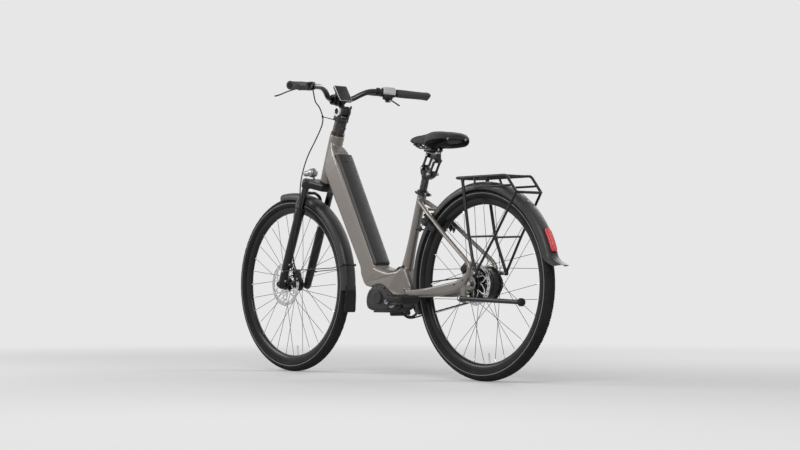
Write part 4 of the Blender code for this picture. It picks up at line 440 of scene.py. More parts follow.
def pin(form, place, radius, low, high, edge=0.0006, sides=20, finish=0):
    """A round bar across the bicycle, between two side positions."""
    rod(form, Vector((place[0], low, place[2])), Vector((place[0], high, place[2])), radius, edge, sides, finish)


def mesh_of(form):
    bmesh.ops.recalc_face_normals(form, faces=form.faces)
    mesh = bpy.data.meshes.new("blank")
    form.to_mesh(mesh)
    form.free()
    return mesh


def worked(mesh, *tools):
    """The mesh as it comes out of the given modifiers, each a type and its settings."""
    blank = bpy.data.objects.new("blank", mesh)
    bpy.context.collection.objects.link(blank)
    helpers = []
    for kind, settings in tools:
        tool = blank.modifiers.new(kind.lower(), kind)
        for key, value in settings.items():
            if isinstance(value, bpy.types.Mesh):
                value = bpy.data.objects.new("cutter", value)
                bpy.context.collection.objects.link(value)
                helpers.append(value)
            setattr(tool, key, value)
    bpy.context.view_layer.update()
    out = bpy.data.meshes.new_from_object(blank.evaluated_get(bpy.context.evaluated_depsgraph_get()))
    for thing in helpers + [blank]:
        bpy.data.objects.remove(thing, do_unlink=True)
    return out


def form_of(mesh):
    form = bmesh.new()
    form.from_mesh(mesh)
    return form


def regrown(mesh, grain, rounds):
    """One even skin over overlapping closed forms, its seams softened in rounds."""
    return worked(mesh, ("REMESH", {"mode": "VOXEL", "voxel_size": grain}),
                  ("SMOOTH", {"factor": 0.5, "iterations": rounds}))


def cut_by(mesh, cutter):
    return worked(mesh, ("BOOLEAN", {"operation": "DIFFERENCE", "solver": "EXACT", "object": mesh_of(cutter)}))


def welded(form, grain, rounds, cutter=None):
    """Grows overlapping closed forms into one body with soft seams, then cuts what has to stay crisp."""
    mesh = regrown(mesh_of(form), grain, rounds)
    return form_of(mesh if cutter is None else cut_by(mesh, cutter))


def paint_finish():
    """Metallic clear-coated paint: fine flakes, a warm body colour and slow shade changes."""
    material, tree, shader, space = finish_nodes("champagne_metallic", (0.176, 0.158, 0.141), 0.34, 0.55)
    tint(tree, noise_of(tree, space, 5.0, 3.0), (0.167, 0.149, 0.133), (0.187, 0.168, 0.151),
         shader.inputs["Base Color"])
    flakes = add_node(tree, "TexVoronoi", {"Scale": 1600.0, "Vector": space})
    vary(tree, flakes.outputs["Distance"], 0.27, 0.43, shader.inputs["Roughness"], 0.1, 0.6)
    relief(tree, shader, noise_of(tree, space, 240.0, 2.0), 0.00006, 0.5)
    shader.inputs["Coat Weight"].default_value = 0.6
    shader.inputs["Coat Roughness"].default_value = 0.08
    return material


CHAMPAGNE = paint_finish()
BLACK_ALLOY = moulded_finish("black_alloy", (0.016, 0.016, 0.017), (0.026, 0.026, 0.028), 0.38, 1400.0, 0.00005,
                             0.75, 0.2)
BOLT_STEEL = brushed_finish("bolt_steel", (0.5, 0.5, 0.51), (0.3, 0.3, 0.31), 0.3, (4.0, 1.0, 4.0))
BLACK_PLASTIC = moulded_finish("black_plastic", (0.01, 0.01, 0.011), (0.017, 0.017, 0.018), 0.5, 1800.0, 0.0001)
SOFT_RUBBER = moulded_finish("soft_rubber", (0.011, 0.011, 0.011), (0.019, 0.018, 0.018), 0.72, 1200.0, 0.00016)


def lay_out_down_tube(form):
    rows = []
    for along in (-0.034, -0.015, 0.0, 0.1, 0.2, 0.3, 0.41):
        depth = 0.08 + 0.015 * max(along, 0.0) / 0.41
        top, low = on_bay(along, 0.0), on_bay(along, -depth)
        rows.append(section((top + low) / 2, LEFT, top - low, 0.045, depth / 2, 0.014, 5))
    for top, low, half, corner in ((on_bay(0.47, 0.0), on_bay(0.452, -0.0965), 0.045, 0.015),
                                   (on_bay(BAY_LENGTH + 0.008, 0.0), on_bay(0.4905, -0.0985), 0.0432, 0.018),
                                   (on_fork(0.625, -0.026), on_fork(0.522, -0.018), 0.0365, 0.02),
                                   (on_fork(0.648, -0.006), on_fork(0.536, -0.004), 0.029, 0.02)):
        rows.append(section((top + low) / 2, LEFT, top - low, half, (top - low).length / 2, corner, 5))
    loft(form, rows)


def lay_out_shell(form):
    """Side walls and back of the shell over the motor, crowned on top and drawn in behind toward the seat tube."""
    outline = mm(665, 412, 648, 378, 634, 352, 604, 345.5, 588, 352, 566, 357, 545, 358, 524, 352, 500, 336, 470,
                 316, 418, 310, 400, 314, 392, 328, 394, 350, 402, 376, 411, 402, 420, 424, 440, 428, 455, 418, 500,
                 412, 556, 424, 599, 440, 669, 445.5)
    shell = bmesh.new()
    sheets = [drawn_in([at(x, 0.0, z) for x, z in outline], inset) for inset in (0.003, 0.0009, 0.0)]
    sides = [-0.044, -0.0431, -0.041] + [0.01 * k for k in range(-3, 4)] + [0.041, 0.0431, 0.044]
    rows = []
    for k, side in enumerate(sides):
        rows.append([p + LEFT * side for p in sheets[min(k, 2, len(sides) - 1 - k)]])
    loft(shell, rows)
    for corner in shell.verts:
        x, y, z = corner.co.x - REAR_AXLE_X, corner.co.y, corner.co.z
        if z > 0.37:
            corner.co.z -= 27.0 * max(0.0, abs(y) - 0.02) ** 2
        if x < 0.48:
            corner.co.y *= 1.0 - 0.58 * min(1.0, (0.48 - x) / 0.088) ** 1.5
    blank = bpy.data.meshes.new("blank")
    shell.to_mesh(blank)
    shell.free()
    form.from_mesh(blank)


def lay_out_rear(form, side):
    """Seat stay, chain stay with its wide yoke, dropout plate and the eyes of one side."""
    y = STAY_SIDE
    turn = Matrix.Scale(side, 4, LEFT)
    top = SEAT_TUBE_TOP - SEAT_ALONG * 0.046 + LEFT * 0.0205 + Vector((-0.018, 0.0, 0.0))
    route = [top, at(0.262, 0.0425, 0.62), at(0.165, 0.052, 0.545), at(0.024, y, 0.444), at(0.01, y, 0.424),
             at(0.009, y, 0.404)]
    stay = [turn @ p for p in smoothed(bent(route, 0.02, 3), 2)]
    tube(form, stay, 0.0087, 16)
    head = turn @ (SEAT_TUBE_TOP - SEAT_ALONG * 0.04 + LEFT * 0.008)
    tube(form, [head, stay[0].lerp(head, 0.3), stay[1]], [0.0105, 0.0098, 0.0087], 14)
    places = [(0.408, 0.034, 0.3262, 0.01), (0.366, 0.044, 0.3244, 0.0122), (0.326, 0.053, 0.3238, 0.0138),
              (0.284, 0.061, 0.3245, 0.0163), (0.243, 0.065, 0.3262, 0.0184), (0.19, y, 0.3312, 0.0204),
              (0.145, y, 0.3378, 0.0212), (0.104, y, 0.345, 0.0204), (0.07, y, 0.3535, 0.0186),
              (0.042, y, 0.367, 0.0165), (0.022, y, 0.3838, 0.0128), (0.012, y, 0.401, 0.0096),
              (0.0095, y, 0.42, 0.0088)]
    soft = smoothed([at(x, where, z) for x, where, z, half in places], 3)
    rows = []
    for k, centre in enumerate(soft):
        way = soft[min(k + 1, len(soft) - 1)] - soft[max(k - 1, 0)]
        share = k / 3
        low = min(int(share), len(places) - 2)
        half = places[low][3] + (places[low + 1][3] - places[low][3]) * (share - low)
        normal = Vector((-way.z, 0.0, way.x)).normalized()
        rows.append(section(turn @ centre, LEFT, normal, 0.009, half, 0.0074, 4))
    loft(form, rows)
    plate = mm(24, 415, 10, 390, -13, 379, -20, 358, -12, 339, 12, 332, 62, 336, 50, 356, 30, 380)
    low, high = sorted((side * (y - 0.0086), side * (y - 0.0018)))
    slab(form, [at(x, 0.0, z) for x, z in plate], low, high)
    tab = mm(12, 412, 14, 388, -40, 391, -40, 404)
    low, high = sorted((side * (y - 0.0075), side * (y - 0.0015)))
    slab(form, [at(x, 0.0, z) for x, z in tab], low, high)
    low, high = sorted((side * (y - 0.01), side * (y + 0.0036)))
    pin(form, at(-0.036, 0.0, 0.398), 0.0066, low, high)
    rod(form, at(0.396, side * 0.028, 0.336), at(0.396, side * 0.0485, 0.336), 0.0092, 0.001, 24)


raw = bmesh.new()
turned(raw, [(0.0, HEAD_TOP), (0.0296, HEAD_TOP), (0.03, HEAD_TOP - 0.014), (0.0258, 0.515), (0.024, 0.482),
             (0.024, HEAD_FOOT), (0.0, HEAD_FOOT)], STEER_FOOT, STEER_UP, 40)
lay_out_down_tube(raw)
lay_out_shell(raw)
turned(raw, [(0.0, -0.062), (0.0275, -0.062), (0.027, -0.04), (0.0245, -0.015), (0.0222, 0.012), (0.02, 0.045),
             (0.0183, 0.085), (0.0178, 0.12), (0.0178, (SEAT_TUBE_TOP - SEAT_TUBE_FOOT).length),
             (0.0, (SEAT_TUBE_TOP - SEAT_TUBE_FOOT).length)], SEAT_TUBE_FOOT, SEAT_ALONG, 36)
for hand in (1, -1):
    lay_out_rear(raw, hand)
rod(raw, at(0.291, -0.03, 0.642), at(0.291, 0.03, 0.642), 0.0062, 0.0, 14)
rod(raw, STAND_PIVOT - STAND_AXIS * 0.0235, STAND_PIVOT - STAND_AXIS * 0.0104, 0.0125, 0.0, 24)
brick(raw, at(0.042, STAY_SIDE + 0.001, 0.33), (0.026, 0.0105, 0.056), edge=0.004)
tools = bmesh.new()
loft(tools, [section(on_bay(along, -0.0445), LEFT, BAY_OUT, BAY_HALF, 0.045, 0.006, 4)
             for along in (0.0022, BAY_LENGTH - 0.0022)])
rod(tools, SEAT_TUBE_FOOT + SEAT_ALONG * 0.004, SEAT_TUBE_TOP + SEAT_ALONG * 0.03, SEAT_BORE, 0.0, 32)
rod(tools, on_fork(HEAD_FOOT - 0.02, 0.0), on_fork(HEAD_TOP + 0.02, 0.0), HEAD_BORE, 0.0, 32)
rod(tools, at(0.0, -0.1, AXLE_HEIGHT), at(0.0, 0.1, AXLE_HEIGHT), 0.006, 0.0, 24)
made("welded_frame", welded(raw, WELD_GRAIN, 5, tools), [CHAMPAGNE], "frame", "head_tube", "down_tube",
     "motor_bracket", "seat_tube", "rear_triangle_left", "rear_triangle_right", sharp=46.0)


fittings = bmesh.new()
brick(fittings, at(0.454, 0.01, 0.4165), (0.06, 0.034, 0.0125), (-0.061, 0.0, 0.021), (0.021, 0.0, 0.061), 0.0042)
brick(fittings, at(0.466, 0.01, 0.4195), (0.02, 0.02, 0.009), (-0.061, 0.0, 0.021), (0.021, 0.0, 0.061), 0.003)
for side in (1, -1):
    for x, z, y in ((0.0831, 0.3556, 0.0748), (0.0368, 0.372, 0.0748), (0.396, 0.336, 0.0484)):
        turned(fittings, mm(0, -3, 3.6, -3, 3.6, 0.6, 2.8, 1.4, 1.6, 1.4, 1.4, 0.4, 0, 0.4), at(x, side * y, z),
               LEFT * side, 20, 1)
    turned(fittings, mm(0, 72, 10.5, 72, 10.5, 75.2, 9, 76, 0, 76), REAR_AXLE, LEFT * side, 30, 1)
made("frame_fittings", fittings, [SOFT_RUBBER, BLACK_ALLOY], "frame", slot="rubber")

# Battery: a pack in a black tray under a grey moulded cover with chamfered long edges, the chamfers painted a lighter
# grey as a painted highlight. The whole hangs on a hook at its foot, swings out of the tube about it, and is held at
# the top by a key lock in the cover.
COVER_GREY = moulded_finish("cover_grey", (0.026, 0.025, 0.025), (0.033, 0.032, 0.032), 0.46, 1500.0, 0.00012)
# Lighter, glossier grey for the cover's chamfered edges: a painted highlight.
COVER_EDGE_HIGHLIGHT = moulded_finish("cover_edge_highlight", (0.062, 0.06, 0.06), (0.08, 0.078, 0.078), 0.38, 1500.0, 0.00008)
COVER_HALF = 0.0401


def build_battery():
    form = bmesh.new()
    length = BAY_LENGTH - 0.006
    half_row = [(-1.0, -0.006), (-1.0, 0.0026), (-0.985, 0.004), (-0.86, 0.009), (-0.83, 0.0097), (-0.55, 0.011),
                (-0.25, 0.0121), (0.0, 0.0125)]
    row = half_row + [(-x, z) for x, z in reversed(half_row[:-1])]
    ends = [(0.0, 0.86, 0.5), (0.0012, 0.92, 0.74), (0.0035, 0.97, 0.9), (0.0075, 0.995, 0.98), (0.012, 1.0, 1.0)]
    stations = ends + [(length * k / 6, 1.0, 1.0) for k in range(1, 6)]
    stations += [(length - a, w, r) for a, w, r in reversed(ends)]
    loft(form, [[on_bay(a + 0.003, z if z < 0 else z * rise, x * COVER_HALF * wide) for x, z in row] for a, wide,
                rise in stations])
    # Faces on the chamfered long edges of the top take the lighter grey, a painted highlight.
    for face in form.faces:
        place = face.calc_center_median() - BAY_FOOT
        if 0.855 < abs(place.y) / COVER_HALF < 0.998 and place.dot(BAY_OUT) > 0.003:
            face.material_index = 1
    brick(form, on_bay(BAY_LENGTH / 2, -0.033), (BAY_LENGTH - 0.02, 0.0772, 0.058), BAY_UP, BAY_OUT, 0.006, 2)
    for side in (1, -1):
        brick(form, on_bay(BAY_LENGTH / 2, -0.03, side * 0.0386), (BAY_LENGTH - 0.09, 0.0022, 0.009), BAY_UP,
              BAY_OUT, 0.0008, 3)
    for k in range(5):
        brick(form, on_bay(0.0085, -0.045 + 0.006 * k), (0.004, 0.028, 0.0024), BAY_UP, BAY_OUT, 0.0006, 3)
    top = BAY_LENGTH - 0.034
    turned(form, mm(0, 0, 9.4, 0, 9.4, 12.8, 8.8, 13.6, 8, 13.6, 7.8, 12.4, 0, 12.4), on_bay(top, 0.0), BAY_OUT, 40,
           1)
    turned(form, mm(0, 0, 7, 0, 7, 13.8, 6.2, 14.5, 0, 14.5), on_bay(top, 0.0), BAY_OUT, 36, 2)
    brick(form, on_bay(top, 0.0143), (0.007, 0.0014, 0.0008), BAY_UP, BAY_OUT, 0.0002, 3)
    return form


made("battery_pack", build_battery(), [COVER_GREY, COVER_EDGE_HIGHLIGHT, BLACK_PLASTIC, BOLT_STEEL], "battery", "battery",
     sharp=28.0)

gasket = bmesh.new()
ring_of_gasket = [section(on_bay(BAY_LENGTH / 2, out), BAY_UP, LEFT, BAY_LENGTH / 2 - grow, 0.0405 - grow, 0.004, 3)
                  for out, grow in ((-0.0075, -0.0004), (-0.0075, 0.0016), (-0.0068, 0.0016), (-0.0068, -0.0004))]
rows = [[gasket.verts.new(p) for p in ring] for ring in ring_of_gasket]
skin(gasket, rows + [rows[0]])
made("bay_gasket", gasket, [SOFT_RUBBER], "frame", slot="rubber")

# Motor: a mid drive in two cast halves under moulded side covers, bolted up into the arch of the shell. The left
# cover carries a round service cap, and the crank axle runs through both covers in steel bosses.
MOTOR_GREY = moulded_finish("motor_grey", (0.022, 0.022, 0.023), (0.034, 0.033, 0.034), 0.44, 1300.0, 0.00014)
CAST_ALLOY = moulded_finish("cast_alloy", (0.04, 0.04, 0.042), (0.066, 0.066, 0.07), 0.5, 520.0, 0.00022, 0.7)
MOTOR_EDGE = mm(600, 344, 622, 323.5, 631, 295, 624, 268, 606, 258.5, 588, 255.2, 550, 250.5, 500, 253.2, 452, 262,
                428, 278, 417, 295, 416.5, 306, 430, 310, 470, 315, 500, 335, 524, 351, 545, 357, 566, 356, 588,
                350.5)


def build_motor():
    form = bmesh.new()
    edge = smoothed([at(x, 0.0, z) for x, z in MOTOR_EDGE], 4, closed=True)
    slab(form, edge, -0.0385, 0.0385, 1, 0.002)
    for low, high in ((0.0372, 0.044), (-0.044, -0.0372)):
        slab(form, drawn_in(edge, -0.0002), low, high, 0, 0.0035)
    slab(form, drawn_in(edge, 0.0085), 0.043, 0.0472, 0, 0.0022)
    slab(form, drawn_in(edge, 0.012), -0.0452, -0.043, 0, 0.001)
    seam = smoothed([at(x, 0.0474, z) for x, z in ((0.466, 0.272), (0.478, 0.3), (0.5, 0.319), (0.53, 0.333),
                                                   (0.566, 0.337), (0.598, 0.327), (0.612, 0.305))], 5)
    tube(form, seam, 0.001, 8, 1)
    turned(form, mm(0, 40, 26.2, 40, 26.2, 47.6, 25, 48.6, 24.2, 48.6, 23.8, 47.4, 23.4, 47.4, 23.4, 54.8, 22.2,
                    56.8, 20, 57.5, 18.6, 57.2, 17.8, 56.2, 6, 55.8, 0, 55.8), at(0.551, 0.0, 0.306), LEFT, 56)
    turned(form, mm(0, 40, 23.5, 40, 23.5, 48, 21.5, 50, 20.8, 52, 16.5, 52, 16, 50.5, 0, 50.5), CRANK_CENTRE, LEFT,
           48, 2)
    turned(form, mm(0, 36, 22.5, 36, 22.5, 44.8, 20.5, 45.9, 0, 45.9), CRANK_CENTRE, -LEFT, 48, 2)
    for x, z in ((0.609, 0.33), (0.618, 0.277), (0.56, 0.259), (0.5, 0.2615), (0.44, 0.276), (0.4285, 0.303),
                 (0.52, 0.342), (0.566, 0.348)):
        for side in (1, -1):
            head = at(x, 0.0, z)
            turned(form, mm(0, 40, 3.6, 40, 3.6, 45.2, 3, 46, 1.6, 46, 1.4, 44.8, 0, 44.8), head, LEFT * side, 18, 3)
    for k in range(13):
        x = 0.448 + 0.0125 * k
        z = 0.2628 - 0.0125 * sin(radians(min(90.0, 90.0 * (x - 0.436) / 0.09)))
        brick(form, at(x, 0.0, z + 0.0005), (0.0036, 0.066, 0.006), edge=0.0014, finish=1)
    rod(form, at(0.438, 0.03, 0.276), at(0.424, 0.03, 0.262), 0.0052, 0.001, 20, 3)
    return form


made("motor_unit_shell", build_motor(), [MOTOR_GREY, CAST_ALLOY, BOLT_STEEL, BLACK_ALLOY], "frame", "motor_unit",
     sharp=30.0)

# Drive: forged black crank arms on the motor's axle, a toothed belt over a five-armed front ring and a small rear
# sprocket, and flat city pedals with rubber treads that turn on steel spindles.
BELT_PITCH = 0.011
BELT_PLANE = -0.0515
RING_TEETH = 36
SPROCKET_TEETH = 22
CRANK_FACE = 0.0715
CRANK_LENGTH = 0.17
FORGED_BLACK = moulded_finish("forged_black", (0.013, 0.013, 0.014), (0.021, 0.021, 0.022), 0.38, 900.0, 0.00008,
                              0.4, 0.15)
BELT_RUBBER = moulded_finish("belt_rubber", (0.01, 0.01, 0.01), (0.016, 0.016, 0.016), 0.66, 1600.0, 0.00014)
TREAD_RUBBER = moulded_finish("tread_rubber", (0.014, 0.014, 0.015), (0.024, 0.024, 0.025), 0.7, 700.0, 0.0003)


def pedal_eye(side):
    turn = radians(176.0) if side > 0 else radians(-4.0)
    return CRANK_CENTRE + Vector((cos(turn), 0.0, sin(turn))) * CRANK_LENGTH


def build_crank(side):
    form = bmesh.new()
    eye = pedal_eye(side)
    way = (eye - CRANK_CENTRE).normalized()
    upward = way.cross(LEFT).normalized()
    rows = []
    for t in (0.0, 0.04, 0.1, 0.18, 0.3, 0.45, 0.6, 0.75, 0.88, 0.96, 1.0):
        centre = CRANK_CENTRE.lerp(eye, t) + LEFT * (side * (CRANK_FACE - 0.0066 + 0.0128 * t))
        thick, tall = 0.0068 - 0.001 * t, 0.0168 - 0.0052 * min(1.0, t * 1.15) + 0.001 * max(0.0, t - 0.8) * 5
        groove = 0.0016 * min(1.0, max(0.0, (t - 0.12) / 0.1)) * min(1.0, max(0.0, (0.9 - t) / 0.1))
        row = []
        for k in range(32):
            turn = 2 * pi * k / 32
            out = thick * (1 if cos(turn) > 0 else -1) * abs(cos(turn)) ** 0.45
            high = tall * (1 if sin(turn) > 0 else -1) * abs(sin(turn)) ** 0.75
            if cos(turn) > 0 and abs(high) < tall * 0.62:
                out -= groove
            row.append(centre + LEFT * (side * out) + upward * high)
        rows.append(row)
    loft(form, rows)
    turned(form, mm(0, 58, 17.8, 58, 18.6, 59, 18.6, 73, 17.4, 74.5, 11.8, 74.5, 11.2, 73.2, 0, 73.2), CRANK_CENTRE,
           LEFT * side, 44)
    turned(form, mm(0, 70, 10, 70, 10, 73.6, 9, 74.4, 5, 74.4, 4.6, 73, 0, 73), CRANK_CENTRE, LEFT * side, 36, 1)
    turned(form, mm(6.4, 71.2, 14, 71.2, 14.5, 72, 14.5, 83.2, 13.8, 84, 6.4, 84), eye, LEFT * side, 36, 0,
           closed=True)
    if side > 0:
        pin(form, CRANK_CENTRE, 0.0105, -0.0709, 0.068, finish=1)
    return form


def build_belt_ring(centre, teeth, bore, arms, half=0.005):
    """A pulley: toothed rim, web with windows and hub, cut from plate and milled."""
    form = bmesh.new()
    pitch = teeth * BELT_PITCH / (2 * pi)
    steps = teeth * 4
    outer = []
    for k in range(steps):
        reach = pitch - 0.0008 - (0.003 if k % 4 in (2, 3) else 0.0)
        outer.append((reach, 360.0 * (k + (0.25 if k % 4 in (0, 2) else -0.25)) / steps))
    rows = []
    for toothed, y in ((True, half), (True, -half), (False, -half), (False, half)):
        rows.append([form.verts.new(round_the_axle(centre, reach if toothed else pitch - 0.0082, turn,
                                                   BELT_PLANE + y)) for reach, turn in outer])
    skin(form, rows + [rows[0]])
    hub = 0.026 if arms else bore + 0.012
    turned(form, [(bore, -half), (hub, -half), (hub, -half * 0.3), (hub, half * 0.3), (hub, half), (bore, half)],
           centre + LEFT * BELT_PLANE, LEFT, 48, 0, closed=True)
    for k in range(arms):
        turn = 360.0 * k / arms + 8.0
        start = round_the_axle(centre, hub - 0.004, turn, BELT_PLANE)
        end = round_the_axle(centre, pitch - 0.007, turn + 6, BELT_PLANE)
        brick(form, (start + end) / 2, ((end - start).length, 0.0115, 0.0062), end - start, LEFT, 0.0016)
        bolt = round_the_axle(centre, hub - 0.006, turn, BELT_PLANE)
        turned(form, [(0.0, -half), (0.0036, -half), (0.0036, half + 0.0006), (0.0028, half + 0.0014),
                      (0.0, half + 0.0014)], bolt, -LEFT, 18, 1)
    if not arms:
        turned(form, [(bore, -0.0026), (pitch - 0.007, -0.0026), (pitch - 0.007, 0.0026), (bore, 0.0026)],
               centre + LEFT * BELT_PLANE, LEFT, 48, 0, closed=True)
    return form


def build_belt():
    big, small = (n * BELT_PITCH / (2 * pi) for n in (RING_TEETH, SPROCKET_TEETH))
    start, end = Vector((CRANK_CENTRE.x, CRANK_CENTRE.z)), Vector((REAR_AXLE_X, AXLE_HEIGHT))
    line = end - start
    base, wrap = atan2(line.y, line.x), acos((big - small) / line.length)
    loop = []
    for steps, centre, radius, first, sweep, ahead, far in (
            (90, start, big, base + wrap, 2 * pi - 2 * wrap, end, small),
            (60, end, small, base - wrap, 2 * wrap, start, big)):
        for k in range(steps + 1):
            turn = first + sweep * k / steps
            loop.append((centre.x + radius * cos(turn), centre.y + radius * sin(turn), cos(turn), sin(turn)))
        leave = base - wrap if centre is start else base + wrap
        last, nx, nz = loop[-1], cos(leave), sin(leave)
        for t in (k / 60 for k in range(1, 60)):
            loop.append((last[0] + (ahead.x + far * nx - last[0]) * t, last[1] + (ahead.y + far * nz - last[1]) * t,
                         nx, nz))
    form = bmesh.new()
    rows = []
    for out, y in ((0.0, 0.0044), (0.0, -0.0044), (0.0034, -0.0044), (0.004, -0.0036), (0.0036, -0.0012),
                   (0.0036, 0.0012),
                   (0.004, 0.0036), (0.0034, 0.0044)):
        row = []
        for k, (x, z, nx, nz) in enumerate(loop):
            tooth = -0.0006 if out == 0.0 and k % 4 < 2 else 0.0
            row.append(form.verts.new((x + nx * (out + tooth), BELT_PLANE + y, z + nz * (out + tooth))))
        rows.append(row)
    skin(form, rows + [rows[0]])
    return form


def build_pedal(side):
    form = bmesh.new()
    eye = pedal_eye(side)
    tilt = radians(4.0 if side > 0 else 76.0)
    along, up = Vector((cos(tilt), 0.0, sin(tilt))), Vector((-sin(tilt), 0.0, cos(tilt)))
    centre = eye + LEFT * (side * 0.135)
    for end in (1, -1):
        brick(form, centre + along * (end * 0.0405), (0.011, 0.09, 0.02), along, up, 0.0034)
        brick(form, centre + LEFT * (end * side * 0.042), (0.086, 0.0095, 0.018), along, up, 0.003)
        for face in (1, -1):
            brick(form, centre + along * (end * 0.027) + up * (face * 0.0085), (0.033, 0.088, 0.009), along, up,
                  0.0022, 1)
            for k in range(7):
                brick(form, centre + along * (end * 0.027) + up * (face * 0.0132) + LEFT
                      * (side * (0.0125 * (k - 3))), (0.029, 0.006, 0.002), along, up, 0.0006, 1)
    brick(form, centre, (0.02, 0.086, 0.02), along, up, 0.006)
    turned(form, mm(0, 72.5, 5.8, 72.5, 5.8, 84.2, 8.8, 84.4, 8.8, 93.5, 6.8, 94.5, 6.8, 170, 0, 170), eye,
           LEFT * side, 28, 2)
    turned(form, mm(0, 174, 9, 174, 9, 179.5, 8, 180.8, 0, 180.8), eye, LEFT * side, 28)
    return form


for side, hand in ((1, "left"), (-1, "right")):
    made("crank_arm_" + hand, build_crank(side), [FORGED_BLACK, BOLT_STEEL], "cranks", "crank_" + hand, sharp=30.0)
    made("city_pedal_" + hand, build_pedal(side), [BLACK_PLASTIC, TREAD_RUBBER, BOLT_STEEL], "pedal_" + hand,
         "pedal_" + hand, sharp=30.0)
made("front_pulley", build_belt_ring(CRANK_CENTRE, RING_TEETH, 0.0109, 5), [FORGED_BLACK, BOLT_STEEL], "cranks",
     "belt_ring")
made("rear_pulley", build_belt_ring(REAR_AXLE, SPROCKET_TEETH, 0.0059, 0), [CAST_ALLOY], "rear_sprocket",
     "rear_sprocket")
made("drive_belt", build_belt(), [BELT_RUBBER], "frame", "belt")

axle = bmesh.new()
pin(axle, REAR_AXLE, 0.0054, -0.081, 0.081, 0.0008, 28)
for side in (1, -1):
    turned(axle, mm(0, 65.2, 12, 65.2, 12.4, 65.8, 12.4, 66.8, 0, 66.8), REAR_AXLE, LEFT * side, 36)
    turned(axle, mm(0, 70, 9.2, 70, 10, 71.2, 10, 77, 9, 78.5, 0, 78.5), REAR_AXLE, LEFT * side, 6)
made("hub_axle", axle, [BOLT_STEEL], "frame", "rear_axle")

# Fork: a forged crown pressed on the steerer and two black stanchions, which slide in cast magnesium lowers. The
# lowers are joined by an arch ahead of the tyre, and carry the hollow axle and the posts for the brake.
LEG_FORWARD = 0.036
LEG_SIDE = 0.066
CROWN_LOW = 0.428
CROWN_TOP = 0.46
LOWER_TOP = 0.33
FORK_BLACK = moulded_finish("fork_black", (0.007, 0.007, 0.008), (0.013, 0.013, 0.014), 0.34, 1300.0, 0.00006, 0.2,
                            0.25)
STANCHION_BLACK = moulded_finish("stanchion_black", (0.03, 0.03, 0.032), (0.044, 0.044, 0.047), 0.16, 300.0, 0.00001,
                                 1.0, 0.4)


def forge_crown():
    form = bmesh.new()
    arms = mm(54, 78, 30, 87, 16, 74, -24, 31, -30, 0)
    outline = arms + [(f, -s) for f, s in reversed(arms[:-1])] + [(0.051, -0.031), (0.051, 0.031)]
    loft(form, [[on_fork(up, 0.012 + (f - 0.012) * grow, s * grow) for f, s in outline] for up,
                grow in ((CROWN_LOW, 0.94), (CROWN_LOW + 0.005, 1.0), (CROWN_TOP - 0.01, 1.0),
                         (CROWN_TOP - 0.001, 0.9))])
    rod(form, on_fork(CROWN_TOP - 0.012, 0.0), on_fork(CROWN_TOP + 0.0016, 0.0), 0.0285, 0.002, 40, 0, 0.0235)
    for side in (1, -1):
        rod(form, on_fork(CROWN_LOW - 0.006, LEG_FORWARD, side * LEG_SIDE),
            on_fork(CROWN_TOP - 0.002, LEG_FORWARD, side * LEG_SIDE), 0.0192, 0.003, 32)
    form = welded(form, 0.0019, 6)
    rod(form, on_fork(CROWN_LOW + 0.008, 0.0), on_fork(0.6728, 0.0), 0.0142, 0.001, 28, 0)
    for side in (1, -1):
        rod(form, on_fork(0.122, LEG_FORWARD, side * LEG_SIDE),
            on_fork(CROWN_LOW + 0.01, LEG_FORWARD, side * LEG_SIDE), 0.014, 0.001, 32, 1)
        turned(form, mm(0, 0, 15, 0, 15, 1.2, 13.5, 3, 6, 3.4, 5.5, 2.2, 0, 2.2),
               on_fork(CROWN_TOP - 0.003, LEG_FORWARD, side * LEG_SIDE), STEER_UP, 32, 2)
    turned(form, [(0.02, CROWN_TOP - 0.0015), (0.0262, CROWN_TOP - 0.0015), (0.0262, CROWN_TOP + 0.0002),
                  (0.02, CROWN_TOP + 0.0002)], STEER_FOOT, STEER_UP, 40, 2, closed=True)
    return form


made("fork_crown_forging", forge_crown(), [FORK_BLACK, STANCHION_BLACK, BLACK_ALLOY], "steering", "fork_crown",
     sharp=38.0)


